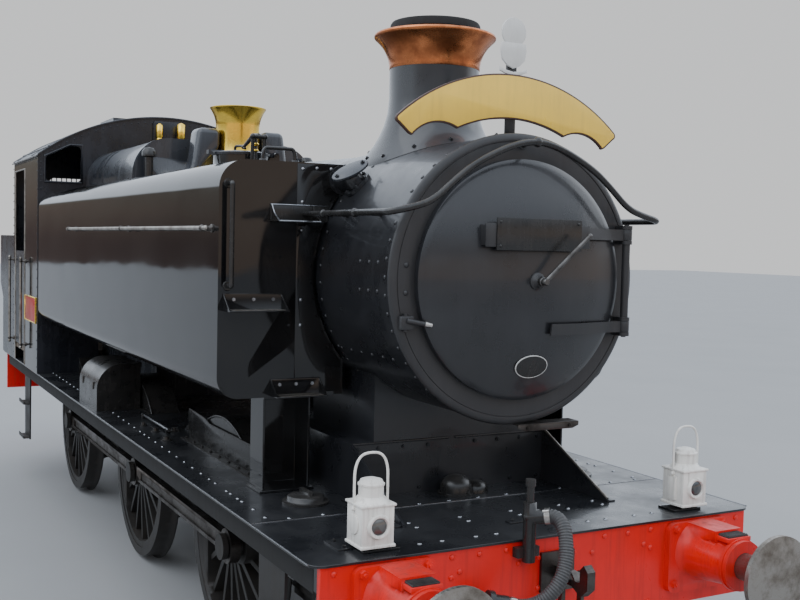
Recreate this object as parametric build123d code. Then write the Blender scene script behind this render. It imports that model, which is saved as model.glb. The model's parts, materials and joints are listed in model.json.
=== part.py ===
"""Six-coupled pannier tank steam locomotive, full size, in millimetres.

Frame: +X points forward (smokebox end), +Y to the locomotive's left, +Z up.
The origin lies midway between the buffer beams, on the centre line, at the
level of the lowest point of the wheel flanges.
"""
import os
from math import atan2, cos, degrees, pi, radians, sin, sqrt, tan

from build123d import *

os.makedirs("parts", exist_ok=True)

# Rail level and wheels
FLANGE_DEPTH = 28.0
RAIL = FLANGE_DEPTH
TREAD_R = 705.0
TREAD_WIDTH = 140.0
FLANGE_THICK = 32.0
BACK_TO_BACK = 1360.0
TYRE_DEPTH = 70.0
AXLE_R = 95.0
AXLE_Z = RAIL + TREAD_R
SPOKES = 18
CRANK_R = 280.0
CRANK_ANGLE_RIGHT = 7.0
CRANK_PIN_R = 50.0
PIN_GAP = 0.1
TURN_GAP = 0.3

# Lengths along the frame
BEAM_TO_BEAM = 8992.0
FRONT_OVERHANG = 2286.0
WHEELBASE_FRONT = 2210.0
WHEELBASE_REAR = 2515.0
FRONT_BEAM_X = BEAM_TO_BEAM / 2
REAR_BEAM_X = -BEAM_TO_BEAM / 2
FRONT_AXLE_X = FRONT_BEAM_X - FRONT_OVERHANG
DRIVING_AXLE_X = FRONT_AXLE_X - WHEELBASE_FRONT
REAR_AXLE_X = DRIVING_AXLE_X - WHEELBASE_REAR

# Frames and running plate
FRAME_THICK = 29.0
FRAME_OUTER_Y = 629.0
FRAME_BOTTOM_Z = RAIL + 560.0
PLATE_Z = RAIL + 1228.0
PLATE_THICK = 12.0
PLATE_HALF = 1257.0
PLATE_CORNER_R = 75.0
PLATE_LIP = 12.0
VALANCE_DEPTH = 140.0
VALANCE_THICK = 14.0
VALANCE_INSET = 60.0
BEAM_THICK = 32.0
BEAM_HALF = 1213.0
BEAM_DEPTH = 430.0

# Buffers and drawgear
BUFFER_HALF_SPACING = 870.0
BUFFER_Z = RAIL + 1054.0
BUFFER_LENGTH = 559.0
BUFFER_HEAD_R = 203.0
BUFFER_HEAD_THICK = 38.0
BUFFER_SHANK_R = 65.0
BUFFER_BASE = 400.0

# Boiler and smokebox
BOILER_Z = RAIL + 2402.0
SMOKEBOX_R = 710.0
SMOKEBOX_SHELL = 14.0
RING_R = 722.0
RING_DEPTH = 26.0
RING_FACE_X = FRONT_BEAM_X - 374.0
DOOR_OPENING_R = 560.0
DOOR_R = 592.0
DOOR_THICK = 14.0
DOOR_BULGE = 118.0
DOOR_SEAT_GAP = 0.3
DOOR_STANDOFF = 38.0
CHIMNEY_X = RING_FACE_X - 885.0
CHIMNEY_BODY_R = 252.0
CHIMNEY_WALL = 60.0
CHIMNEY_LIP_R = 343.0
CHIMNEY_TOP_Z = RAIL + 3800.0
CHIMNEY_LIP_Z = RAIL + 3710.0
CAP_BOTTOM_Z = RAIL + 3540.0
BONNET_X = RING_FACE_X - 4160.0
BONNET_R = 181.0
BONNET_LIP_R = 232.0
BONNET_TOP_Z = RAIL + 3665.0
BARREL_FRONT_R = 700.0
BARREL_REAR_R = 760.0
FIREBOX_LENGTH = 1830.0
FIREBOX_HALF = 800.0
FIREBOX_TOP_Z = RAIL + 3400.0
FIREBOX_SHOULDER = 300.0
FIREBOX_LOW_HALF = 580.0
FIREBOX_BOTTOM_Z = RAIL + 900.0

# Pannier tanks
TANK_FRONT_X = RING_FACE_X - 860.0
TANK_LENGTH = 5400.0
TANK_HALF = 1257.0
TANK_BOTTOM_Z = RAIL + 1745.0
TANK_TOP_Z = RAIL + 2985.0
TANK_INNER_Y = 545.0
TANK_TOP_RADIUS = 150.0
TANK_BOTTOM_RADIUS = 115.0
BOILER_GAP = 12.0

# Tank fillers
FILLER_X = RING_FACE_X - 1450.0
FILLER_Y = 930.0
FILLER_R = 160.0
FILLER_WALL = 12.0
FILLER_NECK = 60.0
FILLER_WELL = 160.0
LID_THICK = 14.0

# Cab and bunker
CAB_FRONT_X = TANK_FRONT_X - TANK_LENGTH
FIREBOX_FRONT_X = CAB_FRONT_X + FIREBOX_LENGTH
CAB_HALF = 1262.0
CAB_SHEET = 8.0
CAB_EAVES_Z = RAIL + 3345.0
CAB_CROWN_Z = RAIL + 3780.0
ROOF_THICK = 10.0
DOORWAY_FRONT_X = CAB_FRONT_X - 760.0
DOORWAY_WIDTH = 620.0
DOORWAY_TOP_Z = RAIL + 3240.0
CAB_BACK_X = DOORWAY_FRONT_X - DOORWAY_WIDTH - 110.0
BUNKER_TOP_Z = RAIL + 2560.0
BUNKER_STEP_Z = RAIL + 1850.0
BUNKER_OVERHANG = 200.0
BUNKER_SHEET = 10.0
CAB_DOOR_TOP_Z = RAIL + 2400.0
CAB_DOOR_THICK = 30.0
CAB_DOOR_GAP = 8.0

nodes = {}


def store(name, shape):
    """Keep a finished piece under its node name."""
    nodes[name] = shape
    return shape


def box(x0, x1, y0, y1, z0, z1):
    """Block between two corners."""
    centre = ((x0 + x1) / 2, (y0 + y1) / 2, (z0 + z1) / 2)
    return Pos(*centre) * Box(abs(x1 - x0), abs(y1 - y0), abs(z1 - z0))


def rod_x(radius, x0, x1, y, z):
    """Round bar along X."""
    return Pos((x0 + x1) / 2, y, z) * Rot(0, 90, 0) * Cylinder(radius, abs(x1 - x0))


def rod_y(radius, y0, y1, x, z):
    """Round bar along Y."""
    return Pos(x, (y0 + y1) / 2, z) * Rot(90, 0, 0) * Cylinder(radius, abs(y1 - y0))


def rod_z(radius, z0, z1, x, y):
    """Round bar along Z."""
    return Pos(x, y, (z0 + z1) / 2) * Cylinder(radius, abs(z1 - z0))


def plate_x(outline, x0, x1, corner=0.0):
    """Plate standing across the locomotive: outline of (y, z) points."""
    plane = Plane(origin=(x0, 0, 0), x_dir=(0, 1, 0), z_dir=(1, 0, 0))
    return extrude(plane * closed_face(outline, corner), amount=x1 - x0)


def plate_y(outline, y0, y1, corner=0.0):
    """Plate standing along the locomotive: outline of (x, z) points."""
    plane = Plane(origin=(0, y0, 0), x_dir=(1, 0, 0), z_dir=(0, -1, 0))
    return extrude(plane * closed_face(outline, corner), amount=y0 - y1)


def plate_z(outline, z0, z1, corner=0.0):
    """Flat plate: outline of (x, y) points."""
    return extrude(Pos(0, 0, z0) * closed_face(outline, corner), amount=z1 - z0)


def closed_face(outline, corner):
    """Face inside an outline, with every corner rounded if a radius is given."""
    if corner > 0:
        return make_face(FilletPolyline(*outline, radius=corner, close=True))
    return make_face(Polyline(*outline, close=True))


def spin_x(profile, y, z):
    """Solid of revolution about an axis along X: profile of (x, radius) points."""
    plane = Plane(origin=(0, y, z), x_dir=(1, 0, 0), z_dir=(0, -1, 0))
    return revolve(plane * make_face(Polyline(*profile, close=True)), Axis((0, y, z), (1, 0, 0)))


def spin_y(profile, x, z):
    """Solid of revolution about an axis along Y: profile of (y, radius) points."""
    plane = Plane(origin=(x, 0, z), x_dir=(0, 1, 0), z_dir=(1, 0, 0))
    return revolve(plane * make_face(Polyline(*profile, close=True)), Axis((x, 0, z), (0, 1, 0)))


def spin_z(profile, x, y):
    """Solid of revolution about an upright axis: profile of (radius, z) points."""
    plane = Plane(origin=(x, y, 0), x_dir=(1, 0, 0), z_dir=(0, -1, 0))
    return revolve(plane * make_face(Polyline(*profile, close=True)), Axis((x, y, 0), (0, 0, 1)))


def tube(points, radius, bend):
    """Round bar bent along a path of (x, y, z) points."""
    path = FilletPolyline(*points, radius=bend) if bend else Polyline(*points)
    return sweep(Plane(origin=path @ 0, z_dir=path % 0) * Circle(radius), path=path)


def both_sides(shape):
    """The piece and its mirror image on the other side."""
    return Compound(children=[shape, mirror(shape, about=Plane.XZ)])


def mirrored(shape):
    """The piece's mirror image on the other side."""
    return mirror(shape, about=Plane.XZ)


# Wheels, axles and rods

WHEEL_INNER_Y = BACK_TO_BACK / 2
WHEEL_OUTER_Y = WHEEL_INNER_Y + TREAD_WIDTH
HUB_R = 150.0
HUB_OUTER_Y = WHEEL_OUTER_Y + 20.0
RIM_DEPTH = 45.0
ROD_INNER_Y = HUB_OUTER_Y + 30.0
ROD_THICK = 60.0
ROD_OUTER_Y = ROD_INNER_Y + ROD_THICK
PIN_COLLAR_R = 78.0
PIN_COLLAR_LENGTH = 34.0
ROD_BOSS_R = 105.0
ROD_DEPTH = 110.0
ROD_FLUTE = 14.0
CRANK_ANGLE_LEFT = CRANK_ANGLE_RIGHT - 90.0


def crank_point(axle_x, angle):
    """Centre of a crank pin beside one axle."""
    x = axle_x + CRANK_R * cos(radians(angle))
    z = AXLE_Z + CRANK_R * sin(radians(angle))
    return x, z


def wheel(axle_x, angle, side):
    """One spoked wheel with tyre, balance weight, crank boss and pin."""
    inner_r = TREAD_R - TYRE_DEPTH
    tyre = spin_y(
        [
            (WHEEL_INNER_Y, inner_r),
            (WHEEL_INNER_Y, TREAD_R + FLANGE_DEPTH * 0.6),
            (WHEEL_INNER_Y + FLANGE_THICK * 0.3, TREAD_R + FLANGE_DEPTH),
            (WHEEL_INNER_Y + FLANGE_THICK * 0.6, TREAD_R + FLANGE_DEPTH),
            (WHEEL_INNER_Y + FLANGE_THICK, TREAD_R),
            (WHEEL_OUTER_Y, TREAD_R - 5.0),
            (WHEEL_OUTER_Y, inner_r),
        ],
        axle_x,
        AXLE_Z,
    )
    rim_in = inner_r - RIM_DEPTH
    rim = spin_y(
        [
            (WHEEL_INNER_Y + 10.0, rim_in),
            (WHEEL_INNER_Y + 10.0, inner_r),
            (WHEEL_OUTER_Y - 8.0, inner_r),
            (WHEEL_OUTER_Y - 8.0, rim_in),
        ],
        axle_x,
        AXLE_Z,
    )
    hub = rod_y(HUB_R, WHEEL_INNER_Y, HUB_OUTER_Y, axle_x, AXLE_Z)
    spoke_mid = (WHEEL_INNER_Y + WHEEL_OUTER_Y) / 2
    centre = Plane(origin=(axle_x, spoke_mid, AXLE_Z), x_dir=(1, 0, 0), z_dir=(0, -1, 0))
    spokes = []
    for k in range(SPOKES):
        turn = Rot(0, 0, 360.0 / SPOKES * (k + 0.5))
        arm = loft(
            [
                Plane(origin=(HUB_R - 12.0, 0, 0), x_dir=(0, 1, 0), z_dir=(1, 0, 0)) * Rectangle(40, 88),
                Plane(origin=(rim_in + 8.0, 0, 0), x_dir=(0, 1, 0), z_dir=(1, 0, 0)) * Rectangle(30, 62),
            ]
        )
        spokes.append(centre.location * turn * arm)
    pin_x, pin_z = crank_point(0.0, angle)
    boss = rod_y(PIN_COLLAR_R + 40.0, WHEEL_INNER_Y + 25.0, HUB_OUTER_Y, axle_x + pin_x, pin_z)
    web = plate_y(
        [
            (axle_x + HUB_R * sin(radians(angle)), AXLE_Z - HUB_R * cos(radians(angle))),
            (axle_x + pin_x + 110.0 * sin(radians(angle)), pin_z - 110.0 * cos(radians(angle))),
            (axle_x + pin_x - 110.0 * sin(radians(angle)), pin_z + 110.0 * cos(radians(angle))),
            (axle_x - HUB_R * sin(radians(angle)), AXLE_Z + HUB_R * cos(radians(angle))),
        ],
        WHEEL_INNER_Y + 25.0,
        HUB_OUTER_Y - 6.0,
    )
    opposite = angle + 180.0
    weight = centre.location * Rot(0, 0, opposite) * extrude(
        balance_outline(rim_in), amount=(TREAD_WIDTH - 30.0) / 2, both=True
    )
    pin = rod_y(CRANK_PIN_R, HUB_OUTER_Y - 5.0, ROD_OUTER_Y + 6.0, axle_x + pin_x, pin_z)
    collar = rod_y(
        PIN_COLLAR_R, ROD_OUTER_Y + 6.0, ROD_OUTER_Y + 6.0 + PIN_COLLAR_LENGTH, axle_x + pin_x, pin_z
    )
    seat = rod_y(CRANK_PIN_R + 16.0, HUB_OUTER_Y - 5.0, ROD_INNER_Y - 4.0, axle_x + pin_x, pin_z)
    body = tyre.fuse(rim, hub, boss, web, weight, pin, collar, seat, *spokes)
    return body if side > 0 else mirror(body, about=Plane.XZ)


def balance_outline(rim_in):
    """Crescent between the rim and a chord, centred on local +X."""
    half = radians(38.0)
    outer = rim_in + 10.0
    start = (outer * cos(half), -outer * sin(half))
    middle = (outer, 0.0)
    end = (outer * cos(half), outer * sin(half))
    inner = (outer * cos(half) - 20.0, 0.0)
    return make_face([ThreePointArc(start, middle, end), ThreePointArc(end, inner, start)])


def wheelset():
    """Axle at X = 0 with two wheels, the cranks a quarter turn apart."""
    axle = rod_y(AXLE_R, -WHEEL_INNER_Y - 60.0, WHEEL_INNER_Y + 60.0, 0, AXLE_Z)
    right = wheel(0, CRANK_ANGLE_RIGHT, -1)
    left = wheel(0, CRANK_ANGLE_LEFT, 1)
    return axle.fuse(right, left)


def coupling_rod(angle, side):
    """Fluted rod in two lengths over three crank pins, knuckled as one rigid bar."""
    points = [crank_point(x, angle) for x in (FRONT_AXLE_X, DRIVING_AXLE_X, REAR_AXLE_X)]
    body = None
    for (xa, za), (xb, zb) in zip(points, points[1:]):
        bar = box(xb, xa, ROD_INNER_Y + 8.0, ROD_OUTER_Y - 8.0, za - ROD_DEPTH / 2, za + ROD_DEPTH / 2)
        flute = box(
            xb + ROD_BOSS_R + 60.0,
            xa - ROD_BOSS_R - 60.0,
            ROD_OUTER_Y - 8.0 - ROD_FLUTE,
            ROD_OUTER_Y,
            za - ROD_DEPTH / 2 + 24.0,
            za + ROD_DEPTH / 2 - 24.0,
        )
        bar = bar - flute
        body = bar if body is None else body + bar
    for x, z in points:
        body += rod_y(ROD_BOSS_R, ROD_INNER_Y, ROD_OUTER_Y, x, z)
        body += box(x - 34, x + 34, ROD_INNER_Y + 10, ROD_OUTER_Y - 10, z, z + ROD_BOSS_R + 46)
        body += rod_z(17.0, z + ROD_BOSS_R + 40, z + ROD_BOSS_R + 70, x, (ROD_INNER_Y + ROD_OUTER_Y) / 2)
    for x, z in points:
        body -= rod_y(CRANK_PIN_R + PIN_GAP, ROD_INNER_Y - 1, ROD_OUTER_Y + 1, x, z)
    return body if side > 0 else mirror(body, about=Plane.XZ)


coupled_wheels = wheelset()
store("wheelset_front", Pos(FRONT_AXLE_X, 0, 0) * coupled_wheels)
store("wheelset_driving", Pos(DRIVING_AXLE_X, 0, 0) * coupled_wheels)
store("wheelset_rear", Pos(REAR_AXLE_X, 0, 0) * coupled_wheels)
store("coupling_rod_right", coupling_rod(CRANK_ANGLE_RIGHT, -1))
store("coupling_rod_left", coupling_rod(CRANK_ANGLE_LEFT, 1))

# Main frames, axleboxes and springs

HORN_WIDTH = 260.0
HORN_HEIGHT = 190.0
AXLEBOX_GAP = 0.4
AXLEBOX_DROP = 170.0
AXLEBOX_RISE = 180.0
SPRING_DROP = 300.0
SPRING_LEAF = 16.0
SPRING_LEAVES = 7
SPRING_HALF = 470.0
SPRING_STEP = 58.0
SPRING_WIDTH = 90.0
FRAME_TOP_Z = PLATE_Z - PLATE_THICK - TURN_GAP
FRAME_INNER_Y = FRAME_OUTER_Y - FRAME_THICK
AXLES = (FRONT_AXLE_X, DRIVING_AXLE_X, REAR_AXLE_X)


def frames():
    """Two plates with horn gaps, joined by stretchers."""
    front_x = FRONT_BEAM_X - BEAM_THICK
    rear_x = REAR_BEAM_X + BEAM_THICK
    outline = [
        (rear_x, FRAME_TOP_Z),
        (front_x, FRAME_TOP_Z),
        (front_x, RAIL + 800.0),
        (front_x - 500.0, RAIL + 620.0),
        (front_x - 900.0, FRAME_BOTTOM_Z),
        (rear_x + 900.0, FRAME_BOTTOM_Z),
        (rear_x + 400.0, RAIL + 700.0),
        (rear_x, RAIL + 800.0),
    ]
    plate = plate_y(outline, FRAME_INNER_Y, FRAME_OUTER_Y)
    for x in AXLES:
        plate -= box(
            x - HORN_WIDTH / 2,
            x + HORN_WIDTH / 2,
            FRAME_INNER_Y - 1,
            FRAME_OUTER_Y + 1,
            FRAME_BOTTOM_Z - 1,
            AXLE_Z + HORN_HEIGHT,
        )
    body = plate + mirrored(plate)
    # Stretchers: position, thickness along X, bottom and top
    stretchers = [
        (FRONT_AXLE_X - 620.0, 25.0, FRAME_BOTTOM_Z + 60, FRAME_TOP_Z - 60),
        (DRIVING_AXLE_X + 520.0, 25.0, FRAME_BOTTOM_Z + 60, FRAME_TOP_Z - 60),
        (REAR_AXLE_X + 480.0, 25.0, FRAME_BOTTOM_Z + 20, RAIL + 900.0),
        (REAR_AXLE_X - 700.0, 25.0, FRAME_BOTTOM_Z + 60, FRAME_TOP_Z - 60),
    ]
    for x, thick, low, high in stretchers:
        body += box(x, x + thick, -FRAME_INNER_Y - 1, FRAME_INNER_Y + 1, low, high)
    return body


def axleboxes():
    """Six boxes between the horns, each with a bored journal and an underhung spring."""
    pieces = []
    inner = FRAME_INNER_Y - 45.0
    outer = WHEEL_INNER_Y - 8.0
    half = HORN_WIDTH / 2 - AXLEBOX_GAP
    for x in AXLES:
        block = box(x - half, x + half, inner, outer, AXLE_Z - AXLEBOX_DROP, AXLE_Z + AXLEBOX_RISE)
        block -= rod_y(AXLE_R + PIN_GAP, inner - 1, outer + 1, x, AXLE_Z)
        mid = (inner + outer) / 2
        leaves = leaf_spring(x, mid)
        hanger = box(
            x - 30, x + 30, mid - 30, mid + 30, AXLE_Z - SPRING_DROP, AXLE_Z - AXLEBOX_DROP + 1
        )
        piece = block + hanger + leaves
        pieces += [piece, mirrored(piece)]
    return Compound(children=pieces)


def leaf_spring(x, y):
    """Underhung leaf spring as a stack of shorter and shorter leaves."""
    body = None
    top = AXLE_Z - SPRING_DROP
    width = SPRING_WIDTH / 2
    for k in range(SPRING_LEAVES):
        half = SPRING_HALF - SPRING_STEP * k
        z0 = top - SPRING_LEAF * k
        strip = box(x - half, x + half, y - width, y + width, z0 - SPRING_LEAF, z0)
        body = strip if body is None else body + strip
    low = top - SPRING_LEAF * SPRING_LEAVES
    body += box(x - 55, x + 55, y - width - 7, y + width + 7, low - 10, top + 10)
    return body


store("frames", frames())
store("axleboxes", axleboxes())

# Buffer beams, buffers and drawgear

BEAM_LOW_Z = PLATE_Z - PLATE_THICK - BEAM_DEPTH
HOUSING_LENGTH = 300.0
HOUSING_BASE = 34.0
HOUSING_BORE_X = 200.0
STEP_PAD_HALF = 85.0


def beam(x0, x1):
    """Buffer beam plate with the slot for the drawhook."""
    body = box(x0, x1, -BEAM_HALF, BEAM_HALF, BEAM_LOW_Z, PLATE_Z - PLATE_THICK - TURN_GAP)
    body -= box(x0 - 1, x1 + 1, -32, 32, BUFFER_Z - 60, BUFFER_Z + 60)
    return body


def buffer_housing(face_x, direction):
    """Flanged base and tapered housing of one buffer, standing off a beam."""
    base = HOUSING_BASE
    length = HOUSING_LENGTH
    profile = [
        (face_x + direction * (TURN_GAP + base - 1), 0.0),
        (face_x + direction * (TURN_GAP + base - 1), 160.0),
        (face_x + direction * (base + 30), 138.0),
        (face_x + direction * length, 108.0),
        (face_x + direction * length, 122.0),
        (face_x + direction * (length + 34), 122.0),
        (face_x + direction * (length + 34), 0.0),
    ]
    body = spin_x(profile, BUFFER_HALF_SPACING, BUFFER_Z)
    flange = BUFFER_BASE / 2
    low = BUFFER_Z - flange
    high = min(BUFFER_Z + flange, PLATE_Z - PLATE_THICK - 10.0)
    xs = sorted((face_x + direction * TURN_GAP, face_x + direction * (TURN_GAP + base)))
    plate = plate_x(
        [
            (BUFFER_HALF_SPACING - flange, low),
            (BUFFER_HALF_SPACING + flange, low),
            (BUFFER_HALF_SPACING + flange, high),
            (BUFFER_HALF_SPACING - flange, high),
        ],
        xs[0],
        xs[1],
        40.0,
    )
    xs = sorted((face_x + direction * (base - 4), face_x + direction * (base + 190)))
    step = box(
        xs[0],
        xs[1],
        BUFFER_HALF_SPACING - STEP_PAD_HALF,
        BUFFER_HALF_SPACING + STEP_PAD_HALF,
        BUFFER_Z + 100,
        BUFFER_Z + 152,
    )
    body = body + plate + step
    body -= rod_x(
        BUFFER_SHANK_R + 1.0,
        face_x + direction * HOUSING_BORE_X,
        face_x + direction * (length + 60),
        BUFFER_HALF_SPACING,
        BUFFER_Z,
    )
    return body


def buffer_head(face_x, direction):
    """Shank and slightly domed head of one buffer."""
    tip = face_x + direction * BUFFER_LENGTH
    rim = tip - direction * 10.0
    back = tip - direction * (BUFFER_HEAD_THICK + 6.0)
    root = face_x + direction * (HOUSING_BORE_X + 1.0)
    profile = [
        (tip, 0.0),
        (tip, BUFFER_HEAD_R * 0.55),
        (rim, BUFFER_HEAD_R),
        (rim - direction * 24.0, BUFFER_HEAD_R),
        (back, BUFFER_SHANK_R * 1.5),
        (back - direction * 26.0, BUFFER_SHANK_R),
        (root, BUFFER_SHANK_R),
        (root, 0.0),
    ]
    return spin_x(profile, BUFFER_HALF_SPACING, BUFFER_Z)


def four_corners(maker):
    """One buffer piece at each end of both beams."""
    pieces = [maker(x, direction) for x, direction in BEAM_FACES]
    return Compound(children=pieces + [mirrored(piece) for piece in pieces])


LINK_OFFSET = 120.0
LINK_HALF = 54.0
LINK_DROP = 190.0
SCREW_DROP = 320.0
BOW_DROP = 520.0
BOW_HALF = 62.0
BOW_R = 16.0


def drawgear(face_x, direction):
    """Drawhook with its plate, and a screw coupling hanging from it."""
    hook = [
        (0.0, -30.0),
        (150.0, -30.0),
        (215.0, -62.0),
        (262.0, -20.0),
        (262.0, 62.0),
        (232.0, 88.0),
        (206.0, 62.0),
        (206.0, 4.0),
        (176.0, -2.0),
        (150.0, 30.0),
        (0.0, 30.0),
    ]
    outline = [(face_x + direction * a, BUFFER_Z + b) for a, b in hook]
    body = plate_y(outline, -22.0, 22.0)
    xs = sorted((face_x - direction * 60.0, face_x + direction * 2.0))
    body += box(xs[0], xs[1], -22, 22, BUFFER_Z - 30, BUFFER_Z + 30)
    xs = sorted((face_x + direction * TURN_GAP, face_x + direction * 16.0))
    body += box(xs[0], xs[1], -95, 95, BUFFER_Z - 95, BUFFER_Z + 95)
    link_x = face_x + direction * LINK_OFFSET
    body += rod_y(17.0, -LINK_HALF - 8, LINK_HALF + 8, link_x, BUFFER_Z)
    for y in (-LINK_HALF, LINK_HALF):
        body += box(link_x - 16, link_x + 16, y - 9, y + 9, BUFFER_Z - LINK_DROP, BUFFER_Z + 22)
    body += rod_y(20.0, -BOW_HALF - 13, BOW_HALF + 13, link_x, BUFFER_Z - LINK_DROP)
    body += rod_z(19.0, BUFFER_Z - SCREW_DROP - 10, BUFFER_Z - LINK_DROP + 10, link_x, 0)
    body += rod_y(20.0, -BOW_HALF - 13, BOW_HALF + 13, link_x, BUFFER_Z - SCREW_DROP)
    bow = tube(
        [
            (link_x, -BOW_HALF, BUFFER_Z - SCREW_DROP),
            (link_x, -BOW_HALF, BUFFER_Z - BOW_DROP),
            (link_x, BOW_HALF, BUFFER_Z - BOW_DROP),
            (link_x, BOW_HALF, BUFFER_Z - SCREW_DROP),
        ],
        BOW_R,
        55.0,
    )
    return body + bow


BEAM_FACES = ((FRONT_BEAM_X, 1), (REAR_BEAM_X, -1))
store("buffer_beam_front", beam(FRONT_BEAM_X - BEAM_THICK, FRONT_BEAM_X))
store("buffer_beam_rear", beam(REAR_BEAM_X, REAR_BEAM_X + BEAM_THICK))
store("buffer_housings", four_corners(buffer_housing))
store("buffer_heads", four_corners(buffer_head))
store("drawgear", Compound(children=[drawgear(x, direction) for x, direction in BEAM_FACES]))

# Running plate, splashers and steps

WHEEL_SLOT_IN = WHEEL_INNER_Y - 25.0
SPLASHER_R = TREAD_R + FLANGE_DEPTH + 30.0
SPLASHER_OUT_Y = WHEEL_OUTER_Y + 40.0


def running_plate():
    """Plate over the frames with valances, slotted over the wheels."""
    x0 = REAR_BEAM_X
    x1 = FRONT_BEAM_X + PLATE_LIP
    body = plate_z(
        [(x0, -PLATE_HALF), (x1, -PLATE_HALF), (x1, PLATE_HALF), (x0, PLATE_HALF)],
        PLATE_Z - PLATE_THICK,
        PLATE_Z,
        PLATE_CORNER_R,
    )
    half = sqrt(SPLASHER_R**2 - (PLATE_Z - AXLE_Z) ** 2)
    for x in AXLES:
        for side in (-1, 1):
            ys = sorted((side * WHEEL_SLOT_IN, side * (SPLASHER_OUT_Y - 6)))
            body -= box(x - half + 8, x + half - 8, ys[0], ys[1], PLATE_Z - PLATE_THICK - 1, PLATE_Z + 1)
    for side in (-1, 1):
        outer = side * (PLATE_HALF - VALANCE_INSET)
        inner = side * (PLATE_HALF - VALANCE_INSET - VALANCE_THICK)
        ys = sorted((outer, inner))
        body += box(
            REAR_BEAM_X + BEAM_THICK + TURN_GAP,
            FRONT_BEAM_X - BEAM_THICK - TURN_GAP,
            ys[0],
            ys[1],
            PLATE_Z - VALANCE_DEPTH,
            PLATE_Z - PLATE_THICK + 1,
        )
    body -= box(
        CAB_FRONT_X - 300.0,
        FIREBOX_FRONT_X + 20.0,
        -FIREBOX_LOW_HALF - 10,
        FIREBOX_LOW_HALF + 10,
        PLATE_Z - PLATE_THICK - 1,
        PLATE_Z + 1,
    )
    return body


def splasher(x):
    """Curved cover over the top of one wheel, closed on its outer side."""
    rise = PLATE_Z + TURN_GAP - AXLE_Z
    half = sqrt(SPLASHER_R**2 - rise**2)
    cover = 5.0
    plane = Plane(origin=(x, WHEEL_SLOT_IN - 8, AXLE_Z), x_dir=(1, 0, 0), z_dir=(0, -1, 0))
    width = SPLASHER_OUT_Y - WHEEL_SLOT_IN + 8

    def segment(radius, base):
        edge = sqrt(radius**2 - base**2)
        arc = ThreePointArc((edge, base), (0, radius), (-edge, base))
        return make_face([arc, Line((-edge, base), (edge, base))])

    solid = extrude(plane * segment(SPLASHER_R, rise), amount=-width)
    inner_plane = Plane(origin=(x, WHEEL_SLOT_IN - 20, AXLE_Z), x_dir=(1, 0, 0), z_dir=(0, -1, 0))
    hollow = extrude(inner_plane * segment(SPLASHER_R - cover, rise - 40), amount=-(width + 12 - cover))
    return solid - hollow


def steps(x, side):
    """Two treads on a hanging plate under the running plate."""
    outer = PLATE_HALF - 12.0
    hang = plate_y(
        [
            (x - 170, PLATE_Z - PLATE_THICK - TURN_GAP),
            (x + 170, PLATE_Z - PLATE_THICK - TURN_GAP),
            (x + 150, RAIL + 420),
            (x - 150, RAIL + 420),
        ],
        PLATE_HALF - VALANCE_INSET - VALANCE_THICK - 14.0 - TURN_GAP,
        PLATE_HALF - VALANCE_INSET - VALANCE_THICK - TURN_GAP,
    )
    body = hang
    for z in (RAIL + 430, RAIL + 790):
        body += box(x - 150, x + 150, PLATE_HALF - VALANCE_INSET - VALANCE_THICK - 8, outer, z, z + 10)
        body += box(x - 150, x + 150, outer - 8, outer, z, z + 34)
    return body if side > 0 else mirrored(body)


store("running_plate", running_plate())
store("splashers", Compound(children=[s for x in AXLES for s in (splasher(x), mirrored(splasher(x)))]))
STEP_XS = (FRONT_BEAM_X - 620.0, DOORWAY_FRONT_X - DOORWAY_WIDTH / 2)
store("footsteps", Compound(children=[steps(x, side) for x in STEP_XS for side in (-1, 1)]))

# Smokebox, saddle and boiler

SADDLE_FRONT_X = RING_FACE_X - 600.0
SADDLE_HALF = 478.0
APRON_HALF = 620.0
APRON_TOP_Z = RAIL + 1520.0
SMOKEBOX_BACK_X = RING_FACE_X - 1420.0
SADDLE_BACK_X = SMOKEBOX_BACK_X + 20.0
GUSSET_THICK = 12.0
RING_BACK_X = RING_FACE_X - RING_DEPTH
RING_BEAD = 38.0
TUBE_PLATE = 25.0

# Smokebox door
DISH_R = (DOOR_R**2 + DOOR_BULGE**2) / (2 * DOOR_BULGE)
DOOR_NOSE_X = RING_FACE_X + DOOR_SEAT_GAP + DOOR_STANDOFF + DOOR_BULGE
DISH_CENTRE_X = DOOR_NOSE_X - DISH_R
DOOR_RIM = 34.0
HINGE_Y = DOOR_R + 30.0
HINGE_X = RING_FACE_X + 63.0
HINGE_PIN_R = 13.0
HINGE_ROD_R = 20.0
STRAP_OFFSET = 236.0
STRAP_ZS = (BOILER_Z + STRAP_OFFSET, BOILER_Z - STRAP_OFFSET)
STRAP_HALF = 28.0
STRAP_END_Y = 95.0
EYE_R = 29.0
LUG_DEPTH = 20.0
DART_REACH = 325.0
DART_ANGLE = radians(43.5)


def smokebox():
    """Rolled shell with its back plate, open to the front and under the chimney."""
    shell = rod_x(SMOKEBOX_R, SMOKEBOX_BACK_X, RING_BACK_X - TURN_GAP, 0, BOILER_Z)
    hollow = rod_x(
        SMOKEBOX_R - SMOKEBOX_SHELL, SMOKEBOX_BACK_X + TUBE_PLATE, RING_BACK_X + 1.0, 0, BOILER_Z
    )
    flue = rod_z(CHIMNEY_BODY_R - CHIMNEY_WALL, BOILER_Z + 400, BOILER_Z + SMOKEBOX_R + 50, CHIMNEY_X, 0)
    return shell - hollow - flue


def smokebox_ring():
    """Heavy ring around the door opening, with a rounded rim."""
    profile = [
        (RING_BACK_X, DOOR_OPENING_R),
        (RING_BACK_X, RING_R),
        (RING_FACE_X - 17.0, RING_R),
        (RING_FACE_X - 8.0, RING_R - 5.0),
        (RING_FACE_X - 2.0, RING_R - 16.0),
        (RING_FACE_X, RING_R - RING_BEAD),
        (RING_FACE_X, DOOR_OPENING_R),
    ]
    return spin_x(profile, 0, BOILER_Z)


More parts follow.
